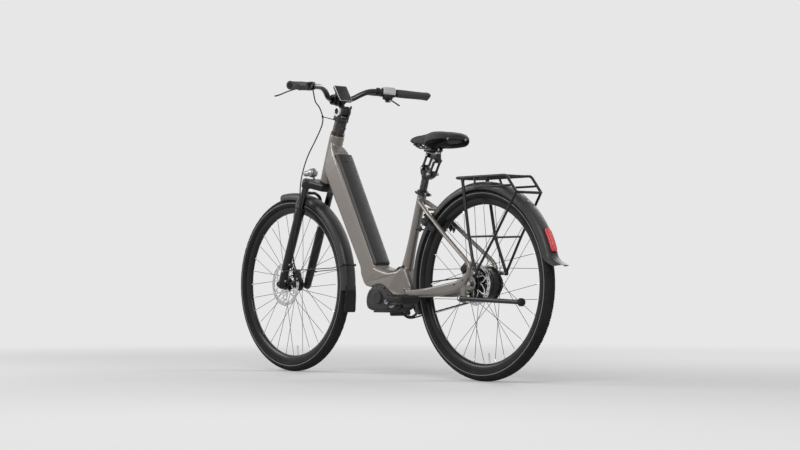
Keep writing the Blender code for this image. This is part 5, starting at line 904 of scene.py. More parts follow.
def cast_lowers():
    form = bmesh.new()
    for side in (1, -1):
        base = on_fork(0.0, LEG_FORWARD, side * LEG_SIDE)
        turned(form, [(0.0, -0.017), (0.0085, -0.016), (0.0128, -0.0125), (0.015, -0.006), (0.0168, 0.03),
                      (0.0182, 0.15), (0.0186, 0.29), (0.0196, 0.296), (0.02, 0.3), (0.02, LOWER_TOP - 0.004),
                      (0.019, LOWER_TOP - 0.001), (0.015, LOWER_TOP - 0.001), (0.0146, LOWER_TOP - 0.004),
                      (0.0146, 0.074), (0.0, 0.074)], base, STEER_UP, 36)
        turned(form, [(0.0144, LOWER_TOP - 0.003), (0.018, LOWER_TOP - 0.0012), (0.0182, LOWER_TOP + 0.0022),
                      (0.016, LOWER_TOP + 0.0046), (0.0144, LOWER_TOP + 0.0048)], base, STEER_UP, 36, 1, closed=True)
        turned(form, mm(0, 0, 10.8, 0, 11.4, 0.8, 11.4, 6.8, 10.4, 8, 0, 8), FRONT_AXLE + LEFT * (side * 0.0755),
               LEFT * side, 36, 0)
        turned(form, mm(0, 0, 6.2, 0, 6.2, 3.5, 5, 4.2, 3.2, 4.2, 3, 2, 0, 2), FRONT_AXLE + LEFT * (side * 0.0788),
               LEFT * side, 24, 2)
    pin(form, FRONT_AXLE, 0.0054, -0.078, 0.078, finish=2)
    half = [on_fork(LOWER_TOP - 0.026, LEG_FORWARD + 0.01, LEG_SIDE), on_fork(LOWER_TOP + 0.01, LEG_FORWARD + 0.034,
                                                                              LEG_SIDE - 0.005),
            on_fork(0.372, LEG_FORWARD + 0.037, 0.046), on_fork(0.388, LEG_FORWARD + 0.036, 0.02),
            on_fork(0.389, LEG_FORWARD + 0.036, 0.0)]
    route = half + mirrored(half[-2::-1])
    tube(form, smoothed(route, 5), 0.0086, 16, 0, 0.74, STEER_UP)
    for up in (0.024, 0.096):
        brick(form, on_fork(up, LEG_FORWARD - 0.02, LEG_SIDE - 0.004), (0.02, 0.012, 0.018), STEER_FORWARD, STEER_UP,
              0.004)
        rod(form, on_fork(up, LEG_FORWARD - 0.02, LEG_SIDE + 0.0015),
            on_fork(up, LEG_FORWARD - 0.02, LEG_SIDE + 0.0065), 0.0042, 0.001, 16, 2)
    return form


made("fork_lower_casting", cast_lowers(), [FORK_BLACK, SOFT_RUBBER, BOLT_STEEL], "lowers", "fork_lowers", sharp=34.0)

# Brake calipers: two forged halves bolted together astride each rotor, with a piston cap on each side, a pad pin and
# a banjo where the hose comes in.
CALIPER_PLANE = 0.0447
FRONT_CALIPER, REAR_CALIPER = (156.0, 0.088), (52.0, 0.078)


def caliper_places(axle_of_wheel, angle, reach):
    outward = Vector((cos(radians(angle)), 0.0, sin(radians(angle))))
    return axle_of_wheel + outward * reach + LEFT * CALIPER_PLANE, outward.cross(LEFT).normalized(), outward


def forge_caliper(axle_of_wheel, angle, reach, cap_out):
    form = bmesh.new()
    centre, along, outward = caliper_places(axle_of_wheel, angle, reach)
    for side in (1, -1):
        brick(form, centre + LEFT * (side * 0.0076) - outward * 0.0005, (0.048, 0.0102, 0.028), along, outward,
              0.0044)
        rim, face = (cap_out * 0.82, cap_out) if side > 0 else (0.0126, 0.0136)
        turned(form, [(0.0, 0.006), (0.0125, 0.006), (0.0125, rim), (0.0105, face), (0.0086, face), (0.008, 0.012),
                      (0.0, 0.012)], centre, LEFT * side, 32)
        for end in (1, -1):
            turned(form, mm(0, 8, 3.4, 8, 3.4, 14.2, 2.6, 15, 1.5, 15, 1.3, 13.8, 0, 13.8),
                   centre + along * (end * 0.0188) + outward * 0.0075, LEFT * side, 18, 1)
    brick(form, centre + outward * 0.0112, (0.044, 0.018, 0.006), along, outward, 0.0022)
    rod(form, centre + outward * 0.004 - LEFT * 0.0135 + along * 0.011,
        centre + outward * 0.004 + LEFT * 0.0135 + along * 0.011, 0.0016, 0.0004, 12, 1)
    turned(form, mm(0, 22.5, 4.8, 22.5, 4.8, 24, 4, 24.8, 0, 24.8), centre + LEFT * 0.006, -along, 6, 1)
    return form


made("front_caliper_forging", forge_caliper(FRONT_AXLE, *FRONT_CALIPER, 0.016), [BLACK_ALLOY, BOLT_STEEL], "lowers",
     "front_caliper", sharp=34.0)
made("rear_caliper_forging", forge_caliper(REAR_AXLE, *REAR_CALIPER, 0.013), [BLACK_ALLOY, BOLT_STEEL], "frame",
     "rear_caliper", sharp=34.0)

# Headlight: a turned alloy drum with a polished rim, cooling ribs and a clear lens. A bent steel strip holds it ahead
# of the crown.
LAMP_RIM = brushed_finish("lamp_rim", (0.46, 0.46, 0.47), (0.32, 0.32, 0.33), 0.24, (1.0, 3.0, 3.0))
LAMP_SHELL = moulded_finish("lamp_shell", (0.2, 0.2, 0.2), (0.26, 0.26, 0.26), 0.3, 700.0, 0.00006, 0.7, 0.3)
LAMP_GLASS = moulded_finish("lamp_glass", (0.5, 0.52, 0.54), (0.58, 0.6, 0.62), 0.1, 300.0, 0.00004, 0.2, 1.0)


def build_headlight():
    form = bmesh.new()
    centre = on_fork(0.468, 0.098)
    aim = Vector((1.0, 0.0, -0.04)).normalized()
    turned(form, mm(0, -19.5, 8.5, -19.2, 13.5, -17.6, 17.2, -14, 18.6, -9.8, 18.6, 7, 17.6, 7.6, 17.6, 9, 16, 10.8,
                    12, 15.5, 11.4, 20, 0, 20.5), centre, aim, 44)
    turned(form, mm(18.2, -10.8, 19, -10, 19, -7, 18.2, -6.2), centre, aim, 44, 1, closed=True)
    turned(form, mm(0, 20.5, 11.3, 20.5, 11.5, 22, 11.5, 46, 10.8, 48.8, 9.6, 49.4, 9, 48, 0, 48), centre, aim, 40, 1)
    turned(form, mm(0, 47.4, 8.8, 47.4, 8.8, 48.4, 6, 49.6, 0, 50), centre, aim, 32, 2)
    for k in range(4):
        turned(form, [(0.0112, 0.025 + 0.0045 * k), (0.0119, 0.0256 + 0.0045 * k), (0.0119, 0.027 + 0.0045 * k),
                      (0.0112, 0.0276 + 0.0045 * k)], centre, aim, 40, 0, closed=True)
    foot, bend = on_fork(CROWN_LOW + 0.018, 0.0545), on_fork(CROWN_LOW + 0.02, 0.07)
    tube(form, bent([foot - STEER_UP * 0.008, foot + STEER_UP * 0.002, bend, centre - STEER_UP * 0.012], 0.006, 3),
         0.0058, 12, 0, 0.34, LEFT)
    brick(form, foot, (0.0042, 0.02, 0.02), STEER_FORWARD, STEER_UP, 0.0014)
    turned(form, mm(0, 0, 5.8, 0, 6.2, 1, 6.2, 3.6, 5.2, 4.4, 0, 4.4), foot + STEER_FORWARD * 0.001, STEER_FORWARD,
           6, 1)
    return form


made("headlight_unit", build_headlight(), [LAMP_SHELL, LAMP_RIM, LAMP_GLASS], "steering", "headlight")

# Wheels: 622 mm black alloy rims on 32 crossed black spokes with bright nipples, with 47 mm street tyres. A tyre is
# moulded in one piece, its blocks raised from the casing and its beads held inside the rim.
TYRE_RADIUS = AXLE_HEIGHT
TYRE_HALF = 0.0235
TREAD_RISE = 0.0013
RIM_EDGE = 0.317
RIM_BED = 0.293
SPOKE_COUNT = 32
SPOKE_RADIUS = 0.001
ROTOR_PLANE = 0.0445
TYRE_RUBBER = moulded_finish("tyre_rubber", (0.007, 0.007, 0.008), (0.013, 0.013, 0.012), 0.8, 900.0, 0.00025)
REFLEX_BAND = moulded_finish("reflex_band", (0.15, 0.15, 0.15), (0.2, 0.2, 0.2), 0.45, 1200.0, 0.0001)
RIM_BLACK = moulded_finish("rim_black", (0.009, 0.009, 0.01), (0.015, 0.015, 0.016), 0.34, 1500.0, 0.00004, 0.6, 0.25)
SPOKE_BLACK = moulded_finish("spoke_black", (0.03, 0.03, 0.032), (0.05, 0.05, 0.053), 0.3, 800.0, 0.00003, 0.9)
NIPPLE_NICKEL = brushed_finish("nipple_nickel", (0.72, 0.71, 0.68), (0.52, 0.51, 0.49), 0.22, (1.0, 6.0, 1.0))
ROTOR_STEEL = brushed_finish("rotor_steel", (0.6, 0.6, 0.6), (0.36, 0.36, 0.37), 0.26, (1.0, 14.0, 1.0))


def build_tyre(name, axle, body):
    form = bmesh.new()
    tread = [-70, -50, -46, -28, -24, -9, -5, 5, 9, 24, 28, 46, 50, 70]
    wall = [74, 79, 81, 84, 92, 100, 103, 106, 114, 122]
    angles = [-a for a in reversed(wall)] + tread + wall
    pitches = 66
    marks = [0.0, 3.1, 3.9, 4.65]
    rows = []
    for angle in angles:
        turn = radians(angle)
        lift = 0.0005 if abs(angle) in (81, 103) else 0.0
        reach = TYRE_RADIUS - TREAD_RISE - TYRE_HALF + (TYRE_HALF + lift) * cos(turn)
        side = (TYRE_HALF + lift) * sin(turn)
        slant = 2.1 * min(abs(angle), 70) / 70.0
        row = []
        for pitch in range(pitches):
            for mark in marks:
                row.append(form.verts.new(round_the_axle(axle, reach, pitch * 360.0 / pitches + mark + slant, side)))
        rows.append(row)
    for foot, side in ((0, -1), (-1, 1)):
        bead = [form.verts.new(round_the_axle(axle, RIM_EDGE - 0.002, k * 360.0 / len(rows[0]), side * 0.0112))
                for k in range(len(rows[0]))]
        rows.insert(0, bead) if foot == 0 else rows.append(bead)
    skin(form, rows + [rows[0]])
    bmesh.ops.recalc_face_normals(form, faces=form.faces)
    form.faces.ensure_lookup_table()
    around = len(rows[0])
    raised = []
    for strip in range(len(tread) - 1):
        width = tread[strip + 1] - tread[strip]
        if width == 4:
            continue
        for k in range(around):
            if k % 4 in (0, 2):
                raised.append(form.faces[(len(wall) + 1 + strip) * around + k])
    bmesh.ops.inset_individual(form, faces=raised, thickness=0.0005, depth=TREAD_RISE)
    for side in (1, -1):
        band = TYRE_HALF * side
        turned(form, [(0.3332, band * 0.985), (0.3334, band * 1.018), (0.3362, band * 1.018),
                      (0.3364, band * 0.985)], axle, LEFT, 264, 1, closed=True)
    made(name + "_casing", form, [TYRE_RUBBER, REFLEX_BAND], body, name, sharp=40.0)


def build_rim(name, axle, body):
    form = bmesh.new()
    half = [(RIM_EDGE - 0.0006, 0.0112), (RIM_EDGE, 0.012), (RIM_EDGE, 0.013), (RIM_EDGE - 0.0008, 0.0136),
            (RIM_EDGE - 0.009, 0.0132), (0.303, 0.0118), (0.296, 0.0076), (RIM_BED + 0.0006, 0.0046),
            (RIM_BED, 0.002)]
    profile = half + [(r, -s) for r, s in reversed(half)] + [(0.3085, -0.01), (0.306, 0.0), (0.3085, 0.01)]
    turned(form, profile, axle, LEFT, 144, 0, closed=True)
    for k in range(SPOKE_COUNT):
        angle = 360.0 * k / SPOKE_COUNT
        lean = 0.0018 if k % 2 == 0 else -0.0018
        foot = round_the_axle(axle, RIM_BED + 0.001, angle, lean)
        head = round_the_axle(axle, RIM_BED - 0.0115, angle, lean * 1.6)
        turned(form, mm(0, -1.2, 3.4, -1.2, 3.4, 0, 2.2, 0.6, 2.1, 10, 1.5, 12.6, 0, 12.8), foot, head - foot, 10, 1)
    valve = round_the_axle(axle, RIM_BED + 0.001, 264.4)
    turned(form, mm(0, 0, 4.4, 0, 4.4, 2, 3, 2.4, 3, 30, 3.8, 30.5, 3.8, 40, 0, 41), valve, axle - valve, 12, 1)
    made(name + "_hoop", form, [RIM_BLACK, NIPPLE_NICKEL], body, name)


def lace_spokes(form, axle, flange, span):
    """Crossed spokes from both faces of each flange, hooked through it by their bent heads."""
    for k in range(SPOKE_COUNT):
        side = 1 if k % 2 == 0 else -1
        lean = 1 if (k // 2) % 2 == 0 else -1
        rim_turn = 360.0 * k / SPOKE_COUNT
        hub_turn = rim_turn + lean * 62.0
        face = side * (span / 2 + lean * 0.0026)
        hook = round_the_axle(axle, flange - 0.0045, hub_turn, side * span / 2 - lean * side * 0.0024)
        bend = round_the_axle(axle, flange - 0.0045, hub_turn, face)
        rim = round_the_axle(axle, RIM_BED - 0.01, rim_turn, side * 0.0029)
        tube(form, [hook, bend, bend.lerp(rim, 0.03), rim], SPOKE_RADIUS, 6, 1)


def cut_rotor(axle, radius):
    """Brake disc: a wavy slotted band on slanted arms, held to the hub by a splined ring."""
    form = bmesh.new()
    band, waves, arms = 72, 12, 6
    faces = []
    rows = []
    for depth in (0.0, 0.0042, 0.0098, 0.0145):
        row = []
        for k in range(band):
            turn = 360.0 * k / band
            ripple = 0.0009 * cos(radians(turn * waves)) if depth < 0.001 or depth > 0.014 else 0.0
            row.append(form.verts.new(round_the_axle(axle, radius - 0.001 - depth + ripple, turn + depth * 500.0,
                                                     ROTOR_PLANE - 0.0009)))
        rows.append(row)
    for line, (low, high) in enumerate(zip(rows, rows[1:])):
        for k in range(band):
            if line == 1 and k % 3 == 0:
                continue
            faces.append(form.faces.new((low[k], low[(k + 1) % band], high[(k + 1) % band], high[k])))
    grown = bmesh.ops.extrude_face_region(form, geom=faces)
    raised = [v for v in grown["geom"] if isinstance(v, bmesh.types.BMVert)]
    bmesh.ops.translate(form, verts=raised, vec=(0.0, 0.0018, 0.0))
    for k in range(arms):
        turn = 360.0 * k / arms
        route = [round_the_axle(axle, 0.018 + (radius - 0.0175 - 0.014) * t, turn + 46.0 * t * t, ROTOR_PLANE)
                 for t in (0, 0.35, 0.7, 1.0)]
        tube(form, route, [0.0042, 0.0032, 0.003, 0.004], 8, 0, 0.3, LEFT.cross(route[1] - route[0]))
        strut = [round_the_axle(axle, 0.02 + (radius - 0.0175 - 0.014) * t, turn + 58.0 - 22.0 * t, ROTOR_PLANE)
                 for t in (0, 0.5, 1.0)]
        tube(form, strut, [0.003, 0.0024, 0.0034], 8, 0, 0.36, LEFT.cross(strut[1] - strut[0]))
    turned(form, mm(0, -2.2, 23.5, -2.2, 24, -0.8, 24, 1, 20.5, 2, 19, 4.2, 15, 4.6, 14.5, 2, 0, 2),
           axle + LEFT * ROTOR_PLANE, LEFT, 32, 1)
    return form


def build_hubs():
    """Slim front hub on a through axle, and the drum of the hub gear behind."""
    form = bmesh.new()
    turned(form, mm(0, 40, 12, 40, 13.5, 38.5, 13.5, 31, 26.5, 30.8, 27.2, 30, 27.2, 26.2, 26.2, 25.2, 19, 23.5, 16,
                    15, 15.2, 0, 16, -15, 19, -23.5, 26.2, -25.2, 27.2, -26.2, 27.2, -30, 26.5, -30.8, 15, -31.2, 14,
                    -38.5, 12, -40, 0, -40), FRONT_AXLE, LEFT, 48)
    lace_spokes(form, FRONT_AXLE, 0.027, 0.056)
    made("front_hub_laced", form, [BLACK_ALLOY, SPOKE_BLACK], "front_wheel", "front_hub")
    form = bmesh.new()
    turned(form, mm(0, 36, 20, 36, 21.5, 34, 30, 32.5, 50, 30.5, 65.5, 29, 66.2, 28, 66.2, 24, 65.5, 23, 60, 22.2,
                    59, 20, 59, 8, 60.6, 7, 60.6, -7, 59, -8, 59, -20, 60, -22.2, 65.5, -23, 66.2, -24, 66.2, -28,
                    65.5, -29, 47, -32, 38, -36, 37, -41.5, 34, -43, 0, -43), REAR_AXLE, LEFT, 64)
    for k in range(6):
        turned(form, mm(0, -2, 4.2, -2, 4.2, 1.8, 3, 2.4, 0, 2.4), round_the_axle(REAR_AXLE, 0.043, 60.0 * k, 0.031),
               LEFT, 12, 2)
    lace_spokes(form, REAR_AXLE, 0.066, 0.052)
    made("rear_hub_laced", form, [BLACK_ALLOY, SPOKE_BLACK, BOLT_STEEL], "rear_wheel", "rear_hub")


for wheel, middle in (("front", FRONT_AXLE), ("rear", REAR_AXLE)):
    build_tyre(wheel + "_tyre", middle, wheel + "_wheel")
    build_rim(wheel + "_rim", middle, wheel + "_wheel")
build_hubs()
for wheel, middle, radius in (("front", FRONT_AXLE, 0.09), ("rear", REAR_AXLE, 0.08)):
    made(wheel + "_rotor_disc", cut_rotor(middle, radius), [ROTOR_STEEL, BLACK_ALLOY], wheel + "_wheel",
         wheel + "_rotor")

# Mudguards: pressed alloy strips with rolled edges, sprayed charcoal. The front one ends in a rubber flap under a wire
# stay, and the rear one flares into a spoiler with the tail light seated on its crown.
GUARD_RADIUS = 0.377
GUARD_HALF = 0.031
GUARD_CHARCOAL = moulded_finish("guard_charcoal", (0.026, 0.025, 0.025), (0.034, 0.033, 0.033), 0.44, 1200.0,
                                0.00008, 0.1, 0.12)
STAY_WIRE = moulded_finish("stay_wire", (0.022, 0.022, 0.023), (0.034, 0.034, 0.036), 0.3, 900.0, 0.00004, 0.8)
REFLEX_RED = moulded_finish("reflex_red", (0.56, 0.012, 0.02), (0.66, 0.02, 0.03), 0.16, 260.0, 0.0003, 0.0, 0.9)
LENS_RED = moulded_finish("lens_red", (0.62, 0.05, 0.07), (0.7, 0.09, 0.11), 0.12, 200.0, 0.0001, 0.0, 1.0)


def press_guard(form, axle_of_wheel, begin, end, steps, flare_at=None, lip_arc=6.5, lip=0.045):
    """A crowned strip with turned-down sides, drawn round the wheel."""
    outer = [(-1.0, -0.0296), (-1.02, -0.028), (-1.015, -0.024), (-0.985, -0.016), (-0.93, -0.01), (-0.82, -0.0055),
             (-0.62, -0.0024), (-0.56, -0.0014), (-0.5, -0.0013), (-0.3, -0.0004), (0.0, 0.0)]
    outer = outer + [(-x, z) for x, z in reversed(outer[:-1])]
    inner = [(x * 0.945, z - 0.002 if abs(x) < 0.9 else z) for x, z in reversed(outer)]
    rows = []
    for k in range(steps + 1):
        angle = begin + (end - begin) * k / steps
        rise = 0.0
        if flare_at is not None and abs(angle - flare_at) < lip_arc:
            rise = lip * (1 - abs(angle - flare_at) / lip_arc) ** 1.6
        end_in = min(1.0, abs(angle - begin) * 0.45 + 0.62,
                     (99.0 if flare_at is not None else abs(end - angle) * 0.45 + 0.9))
        rows.append([round_the_axle(axle_of_wheel, GUARD_RADIUS + z + rise, angle,
                                    x * GUARD_HALF * (1.0 if abs(x) < 0.5 else 0.5 + 0.5 * end_in)) for x,
                     z in outer + inner])
    loft(form, rows)


def front_guard():
    form = bmesh.new()
    press_guard(form, FRONT_AXLE, 80.0, 184.0, 60)
    rows = []
    for k in range(13):
        t = k / 12
        angle = 180.6 + 16.4 * t
        lift = 0.0008 + 0.003 * t + 0.0028 * max(0.0, t - 0.75) * 4
        half = 0.025 + 0.005 * t - 0.0035 * max(0.0, t - 0.92) * 12
        centre = round_the_axle(FRONT_AXLE, GUARD_RADIUS + lift, angle)
        outward = (centre - FRONT_AXLE).normalized()
        ring = section(centre, LEFT, outward, half, 0.0014, 0.001, 2)
        rows.append([p - outward * (0.006 * ((p.y) / half) ** 2 * (1 - 0.6 * t)) for p in ring])
    loft(form, rows, 1)
    clip = round_the_axle(FRONT_AXLE, GUARD_RADIUS - 0.008, 168.0)
    eye = on_fork(0.062, LEG_FORWARD - 0.008, LEG_SIDE + 0.0205)
    left = [eye, eye + Vector((-0.03, 0.0, 0.002)), Vector((clip.x + 0.05, GUARD_HALF + 0.012, clip.z - 0.012)),
            Vector((clip.x, GUARD_HALF + 0.001, clip.z)),
            Vector((clip.x - 0.0095, GUARD_HALF - 0.007, clip.z + 0.001))]
    right = mirrored(left)
    tube(form, bent(left + right[::-1], 0.006, 3), 0.0019, 10, 2)
    for side in (1, -1):
        place = on_fork(0.062, LEG_FORWARD - 0.008, side * (LEG_SIDE + 0.0186))
        turned(form, mm(0, -0.4, 4.8, -0.4, 4.8, 4, 4, 5, 0, 5), place, LEFT * side, 6, 3)
        brick(form, Vector((clip.x + 0.002, side * (GUARD_HALF + 0.0002), clip.z)), (0.014, 0.005, 0.009),
              edge=0.0016, finish=1)
    return form


def rear_guard():
    form = bmesh.new()
    press_guard(form, REAR_AXLE, -18.0, 171.0, 110, flare_at=171.0)
    for angle in (96.0, 128.0):
        place = round_the_axle(REAR_AXLE, GUARD_RADIUS - 0.0008, angle)
        turned(form, mm(0, -1, 4.2, -1, 4.2, 1.2, 3, 2.2, 0, 2.4), place, place - REAR_AXLE, 20, 1)
    return form


def tail_light():
    form = bmesh.new()
    for half, low, high, first, last, finish in ((0.0155, -0.0016, 0.0022, 148.6, 163.0, 0),
                                                 (0.0142, 0.001, 0.0098, 149.2, 162.4, 1),
                                                 (0.006, 0.0088, 0.0104, 150.5, 161.2, 2)):
        rows = []
        steps = 14
        for k in range(steps + 1):
            t = k / steps
            place = round_the_axle(REAR_AXLE, GUARD_RADIUS + (low + high) / 2, first + (last - first) * t)
            shrink = 0.8 if k in (0, steps) else 0.94 if k in (1, steps - 1) else 1.0
            rows.append(section(place, LEFT, place - REAR_AXLE, half * shrink, (high - low) / 2 * shrink,
                                min(0.0032, (high - low) * 0.45) * shrink, 4))
        loft(form, rows, finish)
    return form


made("front_guard_pressing", front_guard(), [GUARD_CHARCOAL, SOFT_RUBBER, STAY_WIRE, BOLT_STEEL], "lowers",
     "front_mudguard", sharp=30.0)
made("rear_guard_pressing", rear_guard(), [GUARD_CHARCOAL, BOLT_STEEL], "frame", "rear_mudguard", sharp=30.0)
made("tail_light", tail_light(), [BLACK_PLASTIC, REFLEX_RED, LENS_RED], "frame", "rear_light", sharp=30.0)

# Rack: a tubular alloy carrier, brazed and powder coated black. Its side rails turn down into a rear loop, pannier
# rails hang below them, and two braced legs a side stand on the dropout eyes.
RACK_BLACK = moulded_finish("rack_black", (0.007, 0.007, 0.008), (0.013, 0.013, 0.014), 0.44, 1500.0, 0.00014, 0.1,
                            0.15)


def braze_rack():
    form = bmesh.new()
    deck, half = 0.75, 0.062
    left = [at(0.104, 0.0, deck), at(0.102, 0.034, deck), at(0.084, half, deck), at(-0.183, half, deck),
            at(-0.236, half, 0.687)]
    right = mirrored(left[1:])
    path = bent(left[::-1] + right, 0.014, 4)
    tube(form, path, 0.0052, 14)
    tube(form, bent([left[-1] + Vector((0.01, 0.0, 0.012)), left[-1], right[-1],
                     right[-1] + Vector((0.01, 0.0, 0.012))], 0.01, 4), 0.0052, 14)
    for x in (0.045, -0.045, -0.12, -0.177):
        rod(form, at(x, -half, deck - 0.001), at(x, half, deck - 0.001), 0.004, 0.0, 14)
    for side in (1, -1):
        tube(form, bent([at(-0.016, side * half, deck - 0.001), at(-0.026, side * 0.072, 0.712),
                         at(-0.19, side * 0.07, 0.712), at(-0.215, side * half, 0.7125)], 0.012, 4), 0.0042, 12)
        tube(form, bent([at(0.052, side * half, deck - 0.001), at(0.011, side * 0.066, 0.531),
                         at(-0.02, side * 0.075, 0.44), at(-0.036, side * 0.0765, 0.398)], 0.014, 3), 0.006, 14)
        tube(form, bent([at(-0.234, side * half, 0.687), at(-0.127, side * 0.066, 0.531),
                         at(-0.036, side * 0.0765, 0.398)], 0.014, 3), 0.0048, 14)
        rod(form, at(0.011, side * 0.066, 0.531), at(-0.127, side * 0.066, 0.531), 0.0038, 0.0, 14)
        eye = at(-0.036, 0.0, 0.398)
        low, high = sorted((side * 0.0708, side * 0.0815))
        pin(form, eye, 0.0088, low, high, 0.0012, 28)
        turned(form, mm(0, 80, 5.2, 80, 5.2, 84.4, 4.2, 85.6, 0, 85.6), eye, LEFT * side, 6, 1)
        brick(form, at(0.0495, side * half, deck - 0.008), (0.016, 0.0085, 0.016), edge=0.003)
    plate = at(-0.0825, 0.0, deck + 0.003)
    brick(form, plate, (0.09, 0.064, 0.0032), edge=0.0014)
    for x in (-0.046, -0.119):
        for y in (-0.024, 0.024):
            turned(form, mm(0, 0, 4, 0, 3.8, 1.2, 2.6, 2, 0, 2.1), at(x, y, deck + 0.004), (0.0, 0.0, 1.0), 18, 1)
    for x in (0.045, -0.12):
        brick(form, at(x, 0.0, deck - 0.006), (0.012, 0.022, 0.005), edge=0.0014)
    return form


made("carrier", braze_rack(), [RACK_BLACK, BOLT_STEEL], "frame", "rear_rack", sharp=34.0)

# Seat: a black post clamped in the seat tube, with a parallelogram of four arms at its head that swings back and down
# against a spring. The collar is split at the back and closed by a cam lever.
POST_BLACK = moulded_finish("post_black", (0.022, 0.022, 0.023), (0.034, 0.034, 0.036), 0.28, 700.0, 0.00003, 0.8,
                            0.2)
LOW_FRONT, LOW_REAR = at(0.33, 0.0, 0.8), at(0.288, 0.0, 0.775)
LINK_REACH = Vector((-0.028, 0.0, 0.05))
RAIL_HEIGHT = 0.874


def build_post():
    form = bmesh.new()
    rod(form, SEAT_TUBE_FOOT + SEAT_ALONG * 0.105, SEAT_TUBE_TOP + SEAT_ALONG * 0.0775, 0.0149, 0.001, 36)
    head = mm(343, 775, 346, 800, 342, 809, 333, 814, 320, 812, 310, 801, 300, 790, 284, 787, 277, 781, 277, 772,
              283, 763, 296, 758, 310, 756)
    slab(form, smoothed([at(x, 0.0, z) for x, z in head], 3, closed=True), -0.0113, 0.0113, 0, 0.0026)
    turned(form, mm(14.9, 0, 17.2, 0.8, 17.6, 4, 17.6, 8, 16.4, 10, 14.9, 10.4), SEAT_TUBE_TOP + SEAT_ALONG * 0.052,
           SEAT_ALONG, 36, 0, closed=True)
    for k in range(1, 9):
        mark = SEAT_TUBE_TOP + SEAT_ALONG * (0.004 + 0.005 * k)
        turned(form, mm(14.6, 0, 15.05, 0, 15.05, 0.4, 14.6, 0.4), mark, SEAT_ALONG, 36, 1, closed=True)
    for place in (LOW_FRONT, LOW_REAR):
        for side in (1, -1):
            turned(form, mm(4, 9, 8.6, 9, 8.6, 10.9, 7.8, 11.4, 4, 11.4), place, LEFT * side, 28, 0, closed=True)
    return form


def build_link(place, pin_half):
    """Two side arms on one through bolt; the arms are ribbed on their outer faces."""
    form = bmesh.new()
    upper = place + LINK_REACH
    along = LINK_REACH.normalized()
    across = along.cross(LEFT)
    for side in (1, -1):
        rows = []
        for k in range(11):
            t = k / 10
            waist = 0.0068 - 0.0022 * sin(pi * t)
            rows.append(section(place.lerp(upper, t) + LEFT * (side * 0.01445), LEFT, across, 0.0025, waist, 0.0012,
                                2))
        loft(form, rows)
        for end in (place, upper):
            turned(form, mm(0, 12.1, 7, 12.1, 7.2, 12.8, 7.2, 16.3, 6.4, 17.2, 0, 17.2), end, LEFT * side, 28)
        turned(form, [(0.0, 0.0165), (0.0056, 0.0165), (0.0058, 0.0175), (0.0058, pin_half - 0.0012),
                      (0.0048, pin_half), (0.0026, pin_half), (0.0023, pin_half - 0.0016), (0.0, pin_half - 0.0016)],
               place, LEFT * side, 28, 1)
    pin(form, place, 0.0035, -pin_half + 0.002, pin_half - 0.002, finish=1)
    return form


def build_head():
    form = bmesh.new()
    front, rear = LOW_FRONT + LINK_REACH, LOW_REAR + LINK_REACH
    side_view = [front + Vector((0.01, 0.0, -0.006)), front + Vector((0.012, 0.0, 0.006)),
                 front + Vector((0.011, 0.0, 0.018)), rear + Vector((0.006, 0.0, 0.0365)),
                 rear + Vector((-0.008, 0.0, 0.035)), rear + Vector((-0.011, 0.0, 0.012)),
                 rear + Vector((-0.01, 0.0, -0.004)), rear + Vector((0.004, 0.0, -0.009)),
                 rear + Vector((0.022, 0.0, 0.006))]
    slab(form, smoothed(side_view, 3, closed=True), -0.0108, 0.0108, 0, 0.0026)
    for place in (front, rear):
        pin(form, place, 0.0035, -0.0205, 0.0205, finish=1)
        for side in (1, -1):
            turned(form, mm(0, 17.6, 5.6, 17.6, 5.6, 20, 4.6, 21, 2.4, 21, 2.2, 19.6, 0, 19.6), place, LEFT * side,
                   24, 1)
    brick(form, at(0.283, 0.0, 0.8655), (0.046, 0.06, 0.0105), edge=0.003)
    for side in (1, -1):
        for x in (0.268, 0.298):
            brick(form, at(x, side * 0.022, 0.8705), (0.01, 0.0125, 0.0045), edge=0.0012)
    rod(form, at(0.258, 0.0, 0.851), at(0.254, 0.0, 0.872), 0.004, 0.0008, 18, 1)
    rod(form, at(0.254, -0.011, 0.8545), at(0.254, 0.011, 0.8545), 0.0058, 0.0008, 24, 1)
    return form


def build_rails():
    form = bmesh.new()
    left = [at(0.378, 0.012, 0.893), at(0.352, 0.018, 0.88), at(0.326, 0.022, RAIL_HEIGHT),
            at(0.236, 0.022, RAIL_HEIGHT), at(0.205, 0.034, 0.884), at(0.176, 0.046, 0.893)]
    route = left[::-1] + mirrored(left)
    tube(form, bent(route, 0.014, 4), 0.0035, 14)
    brick(form, at(0.283, 0.0, RAIL_HEIGHT + 0.0045), (0.036, 0.056, 0.005), edge=0.0016, finish=1)
    for side in (1, -1):
        brick(form, at(0.283, side * 0.022, RAIL_HEIGHT + 0.0058), (0.036, 0.012, 0.006), edge=0.0024, finish=1)
    turned(form, mm(0, 0, 6.2, 0, 6.2, 4, 5.2, 5, 3, 5, 2.8, 3, 0, 3), at(0.283, 0.0, RAIL_HEIGHT + 0.0066),
           (0.0, 0.0, 1.0), 28, 1)
    return form


made("seat_post", build_post(), [POST_BLACK, BOLT_STEEL], "seatpost", "seatpost")
made("front_link_arms", build_link(LOW_FRONT, 0.0225), [POST_BLACK, BOLT_STEEL], "link_front", "post_link_front")
made("rear_link_arms", build_link(LOW_REAR, 0.029), [POST_BLACK, BOLT_STEEL], "link_rear", "post_link_rear")
made("saddle_cradle", build_head(), [POST_BLACK, BOLT_STEEL], "saddle", "post_head")
made("saddle_rail_wire", build_rails(), [POST_BLACK, BOLT_STEEL], "saddle", "saddle_rails")


def clamp_frame():
    back = LEFT.cross(SEAT_ALONG).normalized()
    back = back if back.x < 0 else -back
    return SEAT_TUBE_TOP + back * 0.0275 - SEAT_ALONG * 0.008, back


